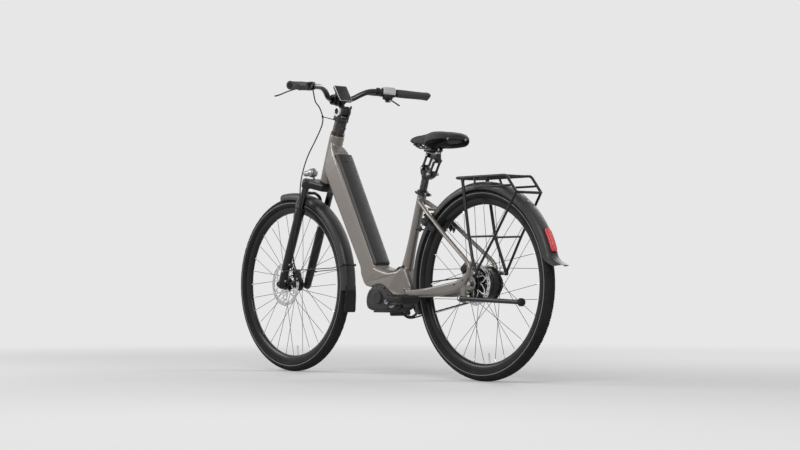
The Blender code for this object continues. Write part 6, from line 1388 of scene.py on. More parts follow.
def build_collar():
    form = bmesh.new()
    place, back = clamp_frame()
    outer, inner = 0.0222, 0.018
    ways = [LEFT * sin(t) - back * cos(t) for t in (radians(-174.0 + 348.0 * k / 48) for k in range(49))]
    profile = [(0.0, outer - 0.0008), (-0.001, outer), (-0.0066, outer), (-0.0074, outer - 0.0008),
               (-0.0084, outer - 0.0008), (-0.0092, outer), (-0.015, outer), (-0.016, outer - 0.0008), (-0.016, inner),
               (0.0, inner)]
    loop = [[form.verts.new(SEAT_TUBE_TOP + SEAT_ALONG * rise + way * radius) for way in ways]
            for rise, radius in profile]
    loop.append(loop[0])
    for low, high in zip(loop, loop[1:]):
        for k in range(48):
            form.faces.new((low[k], low[k + 1], high[k + 1], high[k]))
    for k in (0, 48):
        form.faces.new([row[k] for row in loop[:-1]])
    for side in (1, -1):
        brick(form, SEAT_TUBE_TOP + back * 0.0262 - SEAT_ALONG * 0.008 + LEFT * (side * 0.006),
              (0.013, 0.0094, 0.014), back, SEAT_ALONG, 0.0026)
    turned(form, mm(0, 17, 5.8, 17, 6, 16, 6, 10.5, 2.6, 10, 2.6, -10, 6, -10.5, 6.2, -15, 5.4, -18, 0, -18.4),
           place, LEFT, 24, 1)
    return form


def build_cam_lever():
    form = bmesh.new()
    place, back = clamp_frame()
    centre = place + LEFT * 0.0235
    rod(form, centre - SEAT_ALONG * 0.006, centre + SEAT_ALONG * 0.006, 0.006, 0.001, 28)
    rows = []
    for k in range(15):
        t = k / 14
        middle = centre - back * (0.043 * t) + LEFT * (0.002 + 0.003 * sin(pi * t * 0.9) - 0.001 * t)
        wide = 0.0044 + 0.0014 * sin(pi * min(1.0, t * 1.05)) - 0.0024 * max(0.0, t - 0.85) * 6
        rows.append(section(middle, SEAT_ALONG, LEFT, wide, 0.0019, 0.0014, 3))
    loft(form, rows)
    return form


made("seat_collar", build_collar(), [BLACK_ALLOY, BOLT_STEEL], "frame", "seat_clamp")
made("collar_lever", build_cam_lever(), [BLACK_ALLOY], "clamp_lever", "clamp_lever")

# Saddle: a moulded shell, foam on it and a grained cover pulled over its edge. The cover's top is a lighter, lit copy
# of its black, and the rear skirt and underside a near-black copy with almost no gloss, as painted shade. The foam is
# left to swell inside its cover by a short cloth run, then the seams are sewn on.
# Two copies of one black cover: a lighter one for the lit top, and a near-black, nearly glossless one as painted shade.
SADDLE_LIT_TOP_SKIN = moulded_finish("saddle_lit_top_skin", (0.026, 0.026, 0.026), (0.036, 0.036, 0.036), 0.58, 850.0,
                                 0.00035)
SADDLE_SHADE_SKIN = moulded_finish("saddle_painted_shade_skin", (0.004, 0.004, 0.004), (0.007, 0.007, 0.007), 0.6, 850.0,
                                  0.00025, gleam=0.04)
SEAM_THREAD = moulded_finish("seam_thread", (0.034, 0.034, 0.035), (0.048, 0.048, 0.049), 0.7, 2600.0, 0.0002)
SADDLE_TAIL, SADDLE_LENGTH = 0.146, 0.268
SWELL_FRAMES = 20
SWELL_PRESSURE, SWELL_CAP = 4.0, 0.006
SADDLE_ROWS = [(0.01, 0.056, 0.916, 0.896), (0.045, 0.078, 0.925, 0.885), (0.1, 0.088, 0.9295, 0.878),
               (0.16, 0.0915, 0.9305, 0.874), (0.24, 0.0905, 0.931, 0.873), (0.32, 0.0855, 0.9315, 0.872),
               (0.39, 0.076, 0.931, 0.872), (0.46, 0.0635, 0.93, 0.874), (0.53, 0.05, 0.929, 0.88),
               (0.6, 0.0385, 0.928, 0.886), (0.68, 0.031, 0.927, 0.89), (0.76, 0.0268, 0.926, 0.8925),
               (0.84, 0.0245, 0.925, 0.8935), (0.9, 0.023, 0.9235, 0.8945), (0.95, 0.02, 0.9205, 0.8965),
               (0.985, 0.0145, 0.916, 0.9)]


def saddle_row(t, half, top, low, draw):
    x = SADDLE_TAIL + SADDLE_LENGTH * t
    half, top = half - draw, top - draw
    tall = top - low
    side = [(0.88, low + 0.001), (1.0, low + tall * 0.18), (1.0, low + tall * 0.4), (0.955, low + tall * 0.66),
            (0.86, low + tall * 0.84), (0.7, low + tall * 0.945), (0.48, top - tall * 0.012), (0.24, top)]
    row = [at(x, half * y, z) for y, z in side] + [at(x, 0.0, top)] + [at(x, -half * y, z) for y, z in reversed(side)]
    return row + [at(x, -half * 0.62, low + 0.005), at(x, 0.0, low + 0.009), at(x, half * 0.62, low + 0.005)]


def swell(mesh, voxel, pressure, cap):
    """Lets a closed form puff up like filled fabric, no point moving further than the cap."""
    mesh = regrown(mesh, voxel, 4)
    start = [v.co.copy() for v in mesh.vertices]
    pad = bpy.data.objects.new("swelling_pad", mesh)
    bpy.context.collection.objects.link(pad)
    cloth = pad.modifiers.new("fabric", "CLOTH")
    cloth.settings.use_pressure = True
    cloth.settings.uniform_pressure_force = pressure
    cloth.settings.tension_stiffness = 18.0
    cloth.settings.compression_stiffness = 18.0
    cloth.settings.bending_stiffness = 4.0
    cloth.settings.effector_weights.gravity = 0.0
    cloth.point_cache.frame_start = 1
    cloth.point_cache.frame_end = SWELL_FRAMES
    scene = bpy.context.scene
    for step in range(1, SWELL_FRAMES + 1):
        scene.frame_set(step)
    out = bpy.data.meshes.new_from_object(pad.evaluated_get(bpy.context.evaluated_depsgraph_get()))
    scene.frame_set(1)
    bpy.data.objects.remove(pad, do_unlink=True)
    for corner, home in zip(out.vertices, start):
        move = corner.co - home
        if move.length > cap:
            corner.co = home + move.normalized() * cap
    return out


def pad_the_saddle():
    form = bmesh.new()
    loft(form, [saddle_row(*row, 0.0034) for row in SADDLE_ROWS])
    mesh = mesh_of(form)
    mesh = swell(mesh, 0.0046, SWELL_PRESSURE, SWELL_CAP)
    mesh = worked(mesh, ("SMOOTH", {"factor": 0.5, "iterations": 3}), ("SUBSURF", {"levels": 1, "render_levels": 1}))
    form = form_of(mesh)
    for corner in form.verts:
        t = (corner.co.x - REAR_AXLE_X - SADDLE_TAIL) / SADDLE_LENGTH
        if corner.co.z > 0.9 and 0.03 < t < 0.9:
            depth = 0.0042 * min(1.0, (t - 0.03) / 0.12, (0.9 - t) / 0.15)
            corner.co.z -= depth * max(0.0, 1.0 - (corner.co.y / (0.0075 + 0.01 * (1 - t))) ** 2) ** 1.5
        if t > 0.02 and corner.co.z < 0.872:
            corner.co.z += (0.872 - corner.co.z) * 0.25
    # Faces below a line that falls toward the nose, on the rear skirt and underside, get the near-black skin: painted
    # shade.
    for face in form.faces:
        place = face.calc_center_median()
        t = (place.x - REAR_AXLE_X - SADDLE_TAIL) / SADDLE_LENGTH
        edge = 0.9005 - 0.034 * max(0.0, t - 0.16) if t < 0.42 else 0.0
        face.material_index = 1 if place.z < edge else 0
    return form


def stitch(surface, route, form, radius, finish, lift=0.0003):
    """A corded seam laid on the cover along a route."""
    path = []
    for place in smoothed(route, 5):
        near, normal = surface.find_nearest(place)[:2]
        path.append(near + normal * lift)
    tube(form, path, radius, 8, finish)


pad = pad_the_saddle()
surface = BVHTree.FromBMesh(pad)
trim = bmesh.new()
for side in (1, -1):
    stitch(surface, [at(SADDLE_TAIL + SADDLE_LENGTH * t, side * half * 0.985, top - (top - low)
                        * (0.44 if t > 0.3 else 0.4)) for t, half, top, low in SADDLE_ROWS[:11]], trim, 0.0009, 1)
stitch(surface, [at(SADDLE_TAIL - 0.004, y, 0.907) for y in (-0.054, -0.04, -0.02, 0.0, 0.02, 0.04, 0.054)], trim,
       0.0009, 1)
shell = [section(at(x, 0.0, z), LEFT, (0, 0, 1), half, 0.0026, 0.0022, 3) for x, half,
         z in ((0.16, 0.048, 0.896), (0.174, 0.066, 0.889), (0.205, 0.077, 0.88), (0.24, 0.075, 0.878),
               (0.27, 0.056, 0.88), (0.3, 0.034, 0.889), (0.34, 0.02, 0.896), (0.385, 0.014, 0.899),
               (0.398, 0.01, 0.902))]
loft(trim, shell)
for side in (1, -1):
    rivet, facing = surface.find_nearest(at(0.148, side * 0.045, 0.899))[:2]
    turned(trim, mm(0, -1, 4.6, -1, 4.4, 1.4, 3, 2.4, 0, 2.7), rivet, facing, 24, 2)
    brick(trim, at(0.346, side * 0.017, 0.887), (0.018, 0.006, 0.01), edge=0.0024)
    brick(trim, at(0.186, side * 0.046, 0.8875), (0.02, 0.014, 0.01), edge=0.003)
brick(trim, at(0.374, 0.0, 0.893), (0.018, 0.032, 0.009), edge=0.003)
cover = made("saddle_cover", pad, [SADDLE_LIT_TOP_SKIN, SADDLE_SHADE_SKIN], "saddle", "saddle", sharp=60.0)
made("saddle_shell_and_seams", trim, [BLACK_PLASTIC, SEAM_THREAD, BOLT_STEEL], "saddle", slot="black_plastic")

# Stem: a grey tube clamped on the steerer over the headset cap, forked at its top round a hollow pivot bolt. The arm
# between its cheeks carries the handlebar in a split clamp, and its angle is set by a small side lever.
STEM_GREY = moulded_finish("stem_grey", (0.036, 0.036, 0.037), (0.05, 0.05, 0.051), 0.3, 900.0, 0.00004, 0.65, 0.2)
STEM_BRIGHT = brushed_finish("stem_bright", (0.42, 0.42, 0.42), (0.3, 0.3, 0.31), 0.28, (1.0, 5.0, 5.0))
HEADSET_BRONZE = brushed_finish("headset_bronze", (0.11, 0.062, 0.03), (0.06, 0.036, 0.02), 0.3, (1.0, 4.0, 4.0))
BAR_BLACK = moulded_finish("bar_black", (0.02, 0.02, 0.021), (0.03, 0.03, 0.032), 0.2, 500.0, 0.00002, 0.9, 0.5)
STEM_PIVOT = on_fork(0.762, 0.0045)
BAR_CLAMP = at(0.866, 0.0, 1.1)


def build_stem():
    form = bmesh.new()
    turned(form, mm(15, 665.6, 27.2, 665.6, 28, 666.4, 28, 669, 15, 669), STEER_FOOT, STEER_UP, 48, 3, closed=True)
    turned(form, mm(15, 669, 27.8, 669, 27.4, 670, 28, 670.8, 28, 673.2, 26.2, 675.2, 25.2, 677, 15, 677),
           STEER_FOOT, STEER_UP, 48, 2, closed=True)
    turned(form, mm(0, 677, 25.2, 677, 25, 680, 25, 730, 24, 737.8, 0, 738), STEER_FOOT, STEER_UP, 48)
    for side in (1, -1):
        brick(form, on_fork(0.741, 0.0035, side * 0.0206), (0.04, 0.0106, 0.042), STEER_FORWARD, STEER_UP, 0.004)
        turned(form, mm(0, 15.3, 21.3, 15.3, 21.5, 16, 21.5, 25.5, 20.5, 26.6, 0, 26.6), STEM_PIVOT, LEFT * side, 44)
        low = on_fork(0.7, -0.0255, side * 0.01)
        rod(form, low, low - LEFT * (side * 0.006), 0.0052, 0.001, 20)
    turned(form, mm(11, 25.5, 21.3, 25.5, 21.5, 26.2, 21.5, 31.2, 20.6, 32, 12, 32, 11, 31.2), STEM_PIVOT, LEFT, 48,
           1, closed=True)
    turned(form, mm(0, 26.2, 11.2, 26.2, 11.2, 26.8, 7, 26.8, 0, 27), STEM_PIVOT, LEFT, 36, 2)
    turned(form, mm(0, 26.2, 15, 26.2, 15.6, 27, 15.6, 29.6, 14.6, 30.4, 8, 30.4, 7.6, 29, 0, 29), STEM_PIVOT, -LEFT,
           40, 1)
    pin(form, STEM_PIVOT, 0.0048, -0.02, 0.02, finish=2)
    lever = [STEM_PIVOT - LEFT * 0.0315, STEM_PIVOT - LEFT * 0.033 + STEER_UP * 0.012 - STEER_FORWARD * 0.004,
             STEM_PIVOT - LEFT * 0.0325 + STEER_UP * 0.026 - STEER_FORWARD * 0.006]
    tube(form, smoothed(lever, 5), 0.0052, 12, 2, 0.5, STEER_FORWARD)
    for up in (0.69, 0.712):
        turned(form, mm(0, 0, 4.2, 0, 4.2, 3, 3.4, 3.8, 2, 3.8, 1.8, 2.4, 0, 2.4), on_fork(up, -0.0242),
               -STEER_FORWARD, 20, 2)
    brick(form, on_fork(0.701, -0.0236), (0.0064, 0.015, 0.04), STEER_FORWARD, STEER_UP, 0.002)
    return form


def build_stem_arm():
    form = bmesh.new()
    along = (BAR_CLAMP - STEM_PIVOT).normalized()
    reach = (BAR_CLAMP - STEM_PIVOT).length
    across = along.cross(LEFT).normalized()
    turned(form, mm(5.2, -14.7, 17.6, -14.7, 18.4, -13.8, 18.4, 13.8, 17.6, 14.7, 5.2, 14.7), STEM_PIVOT, LEFT, 40,
           0, closed=True)
    rows = []
    for k in range(9):
        t = k / 8
        rows.append(section(STEM_PIVOT + along * (0.006 + (reach - 0.016) * t), LEFT, across,
                            0.0145 + 0.0035 * max(0.0, t - 0.55) / 0.45, 0.0138 - 0.0016 * sin(pi * t), 0.006, 4))
    loft(form, rows)
    turned(form, mm(16.3, -20.5, 20.5, -20.5, 21.4, -19, 21.4, 19, 20.5, 20.5, 16.3, 20.5), BAR_CLAMP, LEFT, 44, 0,
           closed=True)
    for side in (1, -1):
        for lift in (1, -1):
            seat = BAR_CLAMP + along * 0.014 + across * (lift * 0.0155) + LEFT * (side * 0.0125)
            brick(form, seat, (0.013, 0.0095, 0.009), along, across, 0.0026)
            turned(form, mm(0, 0, 3.8, 0, 3.8, 2.6, 3, 3.4, 1.8, 3.4, 1.6, 2.2, 0, 2.2), seat + along * 0.0062,
                   along, 20, 1)
    return form


made("stem_column", build_stem(), [STEM_GREY, STEM_BRIGHT, BLACK_ALLOY, HEADSET_BRONZE], "steering", "stem")
made("stem_arm_forging", build_stem_arm(), [BLACK_ALLOY, BOLT_STEEL], "bar", "stem_arm", sharp=34.0)

# Handlebar: a swept alloy bar, swaged up to its clamp in the middle, polished black. Everything on it is clamped round
# its two straight ends, which carry the grips.
BAR_RADIUS = 0.0111
GRIP_ROOT = BAR_CLAMP + Vector((-0.092, 0.215, 0.0345))
GRIP_TIP = GRIP_ROOT + Vector((-0.054, 0.135, -0.0095))
GRIP_AXIS = (GRIP_TIP - GRIP_ROOT).normalized()
GRIP_REACH = (GRIP_TIP - GRIP_ROOT).length


def on_grip(reach, side, up=0.0, forward=0.0):
    """A place on the bar's straight end, measured out along it, above it and ahead of it."""
    ahead = (Vector((1.0, 0.0, 0.0)) - GRIP_AXIS * GRIP_AXIS.x).normalized()
    place = GRIP_ROOT + GRIP_AXIS * reach + ahead * forward + ahead.cross(GRIP_AXIS) * up
    return Vector((place.x, side * place.y, place.z))


def grip_ways(side):
    """Out along the bar's end, up from it and ahead of it."""
    home = on_grip(0.0, side)
    return on_grip(1.0, side) - home, on_grip(0.0, side, 1.0) - home, on_grip(0.0, side, 0.0, 1.0) - home


def build_bar():
    form = bmesh.new()
    half = [BAR_CLAMP, BAR_CLAMP + LEFT * 0.034, BAR_CLAMP + Vector((-0.016, 0.064, 0.006)),
            BAR_CLAMP + Vector((-0.038, 0.092, 0.026)), GRIP_ROOT - GRIP_AXIS * 0.094, GRIP_TIP]
    full = mirrored(half[:0:-1]) + half
    tube(form, bent(full, 0.03, 6), BAR_RADIUS, 28)
    turned(form, mm(0, -31, 11.3, -31, 12, -28.5, 15.9, -23.5, 15.9, 23.5, 12, 28.5, 11.3, 31, 0, 31), BAR_CLAMP,
           LEFT, 40)
    return form


made("swept_handlebar", build_bar(), [BAR_BLACK], "bar", "handlebar", sharp=50.0)

# Display: a sealed black unit with a pale metal rim and a dark glass face. Two strips round the bar clamp hold it, and
# three keys sit in its left edge.
DISPLAY_GLASS = moulded_finish("display_glass", (0.01, 0.011, 0.013), (0.014, 0.015, 0.018), 0.08, 40.0, 0.00001, 0.0,
                            1.0)
DISPLAY_RIM = brushed_finish("display_rim", (0.46, 0.45, 0.43), (0.34, 0.33, 0.32), 0.32, (3.0, 1.0, 3.0))


def build_display():
    form = bmesh.new()
    top_edge, low_edge = BAR_CLAMP + Vector((-0.017, 0.0, 0.0565)), BAR_CLAMP + Vector((-0.0575, 0.0, -0.008))
    along = top_edge - low_edge
    length = along.length
    along.normalize()
    normal = along.cross(LEFT).normalized()
    normal = normal if normal.x < 0 else -normal
    centre = (top_edge + low_edge) / 2 - normal * 0.006
    brick(form, centre, (length, 0.064, 0.0116), along, normal, 0.0036)
    rows = []
    for rise, inset in ((0.003, 0.0002), (0.0052, 0.0), (0.0062, 0.0008), (0.0062, 0.0024), (0.005, 0.003)):
        rows.append([form.verts.new(p) for p in section(centre + normal * rise, along, LEFT, length / 2 - inset,
                                                        0.032 - inset, 0.006 - inset, 5)])
    skin(form, rows + [rows[0]], 1)
    brick(form, centre + normal * 0.0042, (length - 0.0056, 0.0584, 0.003), along, normal, 0.0008, 2)
    for side in (1, -1):
        begin, end = centre + LEFT * (side * 0.0262) - normal * 0.004, BAR_CLAMP + LEFT * (side * 0.0262)
        brick(form, (begin + end) / 2, ((end - begin).length + 0.004, 0.005, 0.012), end - begin,
              (end - begin).cross(LEFT), 0.0016)
        turned(form, mm(16.3, -2.4, 20.2, -2.4, 20.8, -1.8, 20.8, 1.8, 20.2, 2.4, 16.3, 2.4), end, LEFT, 36, 0,
               closed=True)
    for k in range(3):
        brick(form, centre + LEFT * 0.0322 + along * (0.012 * (k - 1)), (0.0085, 0.002, 0.0046), along, normal,
              0.0009, 0)
    brick(form, centre - normal * 0.0066, (0.044, 0.036, 0.004), along, normal, 0.0016)
    return form


made("display_unit", build_display(), [BLACK_PLASTIC, DISPLAY_RIM, DISPLAY_GLASS], "display", "display")

# Grips and controls: ribbed rubber grips with a palm wing, locked by alloy rings, and beside them the brake masters
# with their two-finger levers, the gear shifter with its bright top, and the assist remote on the left.
GRIP_RUBBER = moulded_finish("grip_rubber", (0.042, 0.042, 0.043), (0.058, 0.058, 0.059), 0.66, 1500.0, 0.0002)
SHIFT_SILVER = moulded_finish("shift_silver", (0.42, 0.42, 0.43), (0.5, 0.5, 0.51), 0.28, 700.0, 0.00004, 0.3, 0.4)
KEY_GREY = moulded_finish("key_grey", (0.075, 0.075, 0.078), (0.1, 0.1, 0.104), 0.5, 1200.0, 0.0001)
BRAKE_SEAT = {1: -0.019, -1: -0.065}
GRIP_START = {1: 0.035, -1: 0.013}
LEVER_OUT, LEVER_DROP, LEVER_AHEAD = 0.033, 0.006, 0.0345


def mould_grip(side):
    form = bmesh.new()
    start = GRIP_START[side]
    length = GRIP_REACH + 0.0035 - start
    stations = [(0.0, 0.0158, 0.0), (0.1, 0.0166, 0.0012), (0.28, 0.0167, 0.004), (0.45, 0.0162, 0.007),
                (0.6, 0.0159, 0.0105), (0.74, 0.0157, 0.015), (0.86, 0.0158, 0.0205), (0.93, 0.0166, 0.0245),
                (0.97, 0.0172, 0.0258), (0.992, 0.0168, 0.0246), (1.0, 0.015, 0.022)]
    rows = []
    count = 72
    for k in range(count + 1):
        share = k / count
        low = max(i for i in range(len(stations) - 1) if stations[i][0] <= share or i == 0)
        a, b = stations[low], stations[low + 1]
        t = (share - a[0]) / (b[0] - a[0])
        thick, wing = a[1] + (b[1] - a[1]) * t, a[2] + (b[2] - a[2]) * t
        rib = 0.0005 if k % 3 == 0 and 4 < k < 62 else 0.0
        row = []
        for step in range(40):
            turn = 2 * pi * step / 40
            under = rib if sin(turn) < 0.55 else 0.0
            forward, up = (thick - under) * cos(turn), (thick - under) * sin(turn)
            if cos(turn) < 0:
                forward -= wing * (-cos(turn)) ** 1.5
                up *= 1.0 - 0.3 * (wing / 0.026) * (-cos(turn))
            row.append(on_grip(start + length * share, side, up, forward))
        rows.append(row)
    loft(form, rows)
    out = grip_ways(side)[0]
    turned(form, mm(11.6, -0.6, 15.6, -0.6, 16.4, 0.4, 16.4, 5.6, 15.6, 6.4, 11.6, 6.4), on_grip(start, side), out,
           40, 1, closed=True)
    turned(form, mm(0, 0, 11.8, 0, 11.6, 0.4, 0, 0.6), on_grip(start + length - 0.0002, side), out, 36, 1)
    return form


def mould_master(side):
    """Brake master cylinder: clamp band, reservoir with its lid, and the fork for the lever."""
    form = bmesh.new()
    out, up, ahead = grip_ways(side)
    seat = BRAKE_SEAT[side]
    turned(form, mm(11.4, -6.8, 15, -6.8, 16, -5.8, 16, 5.8, 15, 6.8, 11.4, 6.8), on_grip(seat, side), out, 36, 0,
           closed=True)
    begin, end = on_grip(seat - 0.034, side, -0.006, 0.028), on_grip(seat + 0.03, side, -0.006, 0.028)
    rod(form, begin, end, 0.0085, 0.0016, 32)
    brick(form, on_grip(seat - 0.004, side, 0.0022, 0.028), (0.04, 0.017, 0.007), out, up, 0.0024)
    brick(form, on_grip(seat - 0.004, side, 0.0062, 0.028), (0.038, 0.016, 0.0016), out, up, 0.0007, 1)
    for step in (-1, 1):
        turned(form, mm(0, 0, 2, 0, 1.8, 0.8, 0, 1), on_grip(seat - 0.004 + step * 0.015, side, 0.0068, 0.028), up,
               14, 2)
    brick(form, on_grip(seat, side, -0.003, 0.018), (0.014, 0.024, 0.013), ahead, up, 0.003)
    for lift in (1, -1):
        brick(form, on_grip(seat + 0.03, side, -0.006 + lift * 0.006, 0.0305), (0.022, 0.016, 0.0036), ahead, up,
              0.0012)
    turned(form, mm(0, 0, 3.6, 0, 3.6, 2, 2.8, 2.8, 0, 2.8), on_grip(seat, side, -0.01, 0.016), -up, 16, 2)
    turned(form, mm(3, 0, 5.2, 0, 5.2, 6, 4.2, 6.8, 3, 6.8), begin + out * 0.001, -out, 6, 2, closed=True)
    return form


def forge_lever(side):
    form = bmesh.new()
    up, ahead = grip_ways(side)[1:]
    seat = BRAKE_SEAT[side] + LEVER_OUT
    pivot = on_grip(seat, side, -LEVER_DROP, LEVER_AHEAD)
    route = [pivot] + [on_grip(seat + o, side, -drop, forward) for o, drop,
                       forward in ((0.016, 0.009, 0.05), (0.044, 0.018, 0.068), (0.074, 0.029, 0.082),
                                   (0.09, 0.034, 0.094))]
    path = smoothed(route, 6)
    tube(form, path, [0.006 - 0.001 * sin(pi * k / (len(path) - 1)) for k in range(len(path))], 16, 0, 0.5, ahead)
    tip = path[-1]
    turned(form, mm(0, -3, 4.8, -2.2, 5.6, 0, 4.8, 2.2, 0, 3), tip, up, 24)
    turned(form, mm(0, -3.2, 6.6, -3.2, 6.8, -2.6, 6.8, 2.6, 6.6, 3.2, 0, 3.2), pivot, up, 32)
    turned(form, mm(0, -8.6, 2.4, -8.6, 2.4, 8.6, 0, 8.6), pivot, up, 20, 1)
    return form


def mould_shifter():
    form = bmesh.new()
    side, seat = -1, -0.021
    out, up, ahead = grip_ways(side)
    turned(form, mm(11.4, -29, 16.2, -29, 17.8, -27, 17.8, 20, 17.2, 20.5, 17.2, 21.5, 17.8, 22, 17.8, 27.2, 16.2,
                    29, 11.4, 29), on_grip(seat, side), out, 40, 0, closed=True)
    brick(form, on_grip(seat + 0.001, side, 0.0148, -0.001), (0.03, 0.054, 0.012), ahead, up, 0.0046, 1)
    rows = []
    for k in range(13):
        turn = radians(62.0 + 150.0 * k / 12)
        reach = 0.0192 if 0 < k < 12 else 0.018
        centre = on_grip(seat, side, reach * sin(turn), reach * cos(turn))
        rows.append(section(centre, out, ahead * cos(turn) + up * sin(turn), 0.0262, 0.0013, 0.001, 3))
    loft(form, rows, 1)
    brick(form, on_grip(seat + 0.003, side, 0.0205, -0.001), (0.018, 0.03, 0.0014), ahead, up, 0.0006, 2)
    brick(form, on_grip(seat - 0.002, side, -0.019, -0.002), (0.03, 0.04, 0.022), ahead, up, 0.0066)
    turned(form, mm(0, 0, 10, 0, 10, 2.6, 9, 3.4, 0, 3.4), on_grip(seat - 0.002, side, -0.03, 0.0), -up, 32)
    rod(form, on_grip(seat - 0.03, side, -0.01, 0.014), on_grip(seat - 0.05, side, -0.008, 0.015), 0.0036, 0.0008,
        18, 0)
    return form


def mould_paddle():
    form = bmesh.new()
    side = -1
    out, up, ahead = grip_ways(side)
    pivot = on_grip(-0.023, side, -0.0335, 0.0)
    turned(form, mm(0, 0, 8, 0, 8.5, 0.6, 8.5, 5.2, 7.8, 6, 0, 6), pivot, -up, 32)
    start = pivot - up * 0.004 - ahead * 0.004
    rows = []
    for k in range(9):
        t = k / 8
        rows.append(section(start - ahead * (0.026 * t) - up * (0.004 * t * t), out, up,
                            0.005 + 0.0026 * sin(pi * min(1.0, t * 0.75)) - 0.0014 * max(0.0, t - 0.85) * 6, 0.0018,
                            0.0014, 3))
    loft(form, rows)
    return form


def mould_remote():
    form = bmesh.new()
    side, seat = 1, 0.017
    out, up, ahead = grip_ways(side)
    turned(form, mm(11.4, -6, 15, -6, 16, -5, 16, 5, 15, 6, 11.4, 6), on_grip(seat, side), out, 36, 0, closed=True)
    solid = bmesh.new()
    brick(solid, on_grip(seat, side, 0.0078, -0.02), (0.02, 0.032, 0.0124), ahead, up, 0.0036)
    hole = bmesh.new()
    rod(hole, on_grip(seat, side, 0.0104, -0.021), on_grip(seat, side, 0.024, -0.021), 0.0067, 0.0, 32)
    form.from_mesh(cut_by(mesh_of(solid), hole))
    for step in (-1, 1):
        brick(form, on_grip(seat + step * 0.0115, side, 0.0144, -0.0205), (0.011, 0.0052, 0.0016), ahead, up, 0.0007,
              1)
    return form


def mould_key():
    form = bmesh.new()
    up = grip_ways(1)[1]
    turned(form, mm(0, 0, 6.4, 0, 6.4, 2.8, 5.6, 3.8, 3, 3.4, 0, 3.2), on_grip(0.017, 1, 0.0118, -0.021), up, 32)
    return form


for side, hand in ((1, "left"), (-1, "right")):
    made("palm_grip_" + hand, mould_grip(side), [GRIP_RUBBER, BLACK_ALLOY], "bar", "grip_" + hand, sharp=40.0)
    made("brake_master_" + hand, mould_master(side), [BLACK_ALLOY, BLACK_PLASTIC, BOLT_STEEL], "bar",
         "brake_housing_" + hand, sharp=34.0)
    made("lever_blade_" + hand, forge_lever(side), [BLACK_ALLOY, BOLT_STEEL], "brake_lever_" + hand,
         "brake_lever_" + hand, sharp=34.0)
made("gear_shifter", mould_shifter(), [BLACK_PLASTIC, SHIFT_SILVER, DISPLAY_GLASS], "bar", "shifter", sharp=34.0)
made("shift_paddle", mould_paddle(), [BLACK_PLASTIC], "shift_lever", "shift_lever", sharp=34.0)
made("assist_remote", mould_remote(), [BLACK_PLASTIC, KEY_GREY], "bar", "remote", sharp=34.0)
made("assist_key", mould_key(), [KEY_GREY], "remote_key", "remote_key", sharp=34.0)

# Front brake hose: a black hydraulic line from the left master, through a clip on the stem and round the crown, down
# to the caliper. It is held all the way, with a crimped ferrule and a rubber boot at each end.
HOSE_BLACK = moulded_finish("hose_black", (0.014, 0.014, 0.014), (0.022, 0.022, 0.022), 0.42, 2200.0, 0.00008)


def hose_places():
    port = BRAKE_SEAT[1] - 0.0348
    places = [on_grip(port, 1, -0.006, 0.028), on_grip(port - 0.02, 1, -0.0085, 0.029)]
    places += [BAR_CLAMP + Vector(p) for p in ((-0.0144, 0.125, -0.0145), (0.0, 0.093, -0.036),
                                               (0.02, 0.062, -0.0665), (0.036, 0.049, -0.0915),
                                               (0.0547, 0.046, -0.1195))]
    places += [on_fork(*p) for p in ((0.6111, 0.0692, 0.05), (0.5613, 0.079, 0.056), (0.5219, 0.0805, 0.062),
                                     (0.4861, 0.0711, 0.072), (0.4559, 0.0578, 0.082), (0.4197, 0.0391, 0.091),
                                     (0.37, 0.023, 0.09), (0.32, 0.0155, 0.0862), (0.25, 0.0125, 0.083),
                                     (0.17, 0.009, 0.077), (0.125, 0.006, 0.064))]
    centre, along = caliper_places(FRONT_AXLE, *FRONT_CALIPER)[:2]
    return places + [centre - along * 0.043, centre - along * 0.0254]


def run_hose():
    form = bmesh.new()
    path = smoothed(hose_places(), 8)
    tube(form, path, 0.0025, 12)
    for first, second in ((path[0], path[6]), (path[-1], path[-6])):
        way = (second - first).normalized()
        turned(form, mm(0, 0, 4, 0, 4, 5, 3.4, 5.8, 3.4, 10, 2.8, 14, 0, 14.2), first, way, 20, 0)
        turned(form, mm(0, 0, 4.6, 0, 4.6, 3.6, 0, 3.6), first, way, 6, 1)
    return form


def bend_clip():
    """Spring clip that holds the hose off the stem."""
    form = bmesh.new()
    path = smoothed(hose_places(), 8)
    up = min(path, key=lambda p: abs((p - STEER_FOOT).dot(STEER_UP) - 0.724) + (10.0 if (p - BAR_CLAMP).length > 0.2
                                                                                else 0.0))
    foot = on_fork(0.724, 0.008, 0.0225)
    tube(form, smoothed([foot, foot.lerp(up, 0.5) + STEER_FORWARD * 0.001, up - (up - foot).normalized() * 0.003],
                        4), 0.0019, 10)
    near = min(range(len(path)), key=lambda k: (path[k] - up).length)
    way = (path[near + 1] - path[near - 1]).normalized()
    turned(form, mm(2.7, -3.4, 4, -3.4, 4.2, -2.8, 4.2, 2.8, 4, 3.4, 2.7, 3.4), up, way, 20, 0, closed=True)
    turned(form, mm(25.1, -2.8, 26.2, -2.8, 26.4, 0, 26.2, 2.8, 25.1, 2.8), on_fork(0.724, 0.0), STEER_UP, 40, 0,
           closed=True)
    return form


made("front_brake_hose", run_hose(), [HOSE_BLACK, BOLT_STEEL], "steering", "front_hose", sharp=34.0)
made("hose_clip", bend_clip(), [BLACK_ALLOY], "steering", slot="black_anodised")

# Ring lock: a horseshoe housing screwed to the stay bridge across the tyre. A hardened bow slides round inside it when
# its knob is drawn, and is released by the key in the barrel at its left end.
LOCK_BLACK = moulded_finish("lock_black", (0.018, 0.018, 0.019), (0.028, 0.028, 0.029), 0.42, 1500.0, 0.00012)
HARD_STEEL = brushed_finish("hard_steel", (0.48, 0.48, 0.49), (0.32, 0.32, 0.33), 0.24, (2.0, 2.0, 2.0))
LOCK_RING = 0.056
LOCK_UP = Vector((cos(radians(40.2)), 0.0, sin(radians(40.2))))
LOCK_AXIS = Vector((-LOCK_UP.z, 0.0, LOCK_UP.x))
LOCK_CENTRE = REAR_AXLE + LOCK_UP * 0.333 + LOCK_AXIS * 0.01
BARREL_TURN, BARREL_OUT = 14.0, LOCK_RING + 0.0135


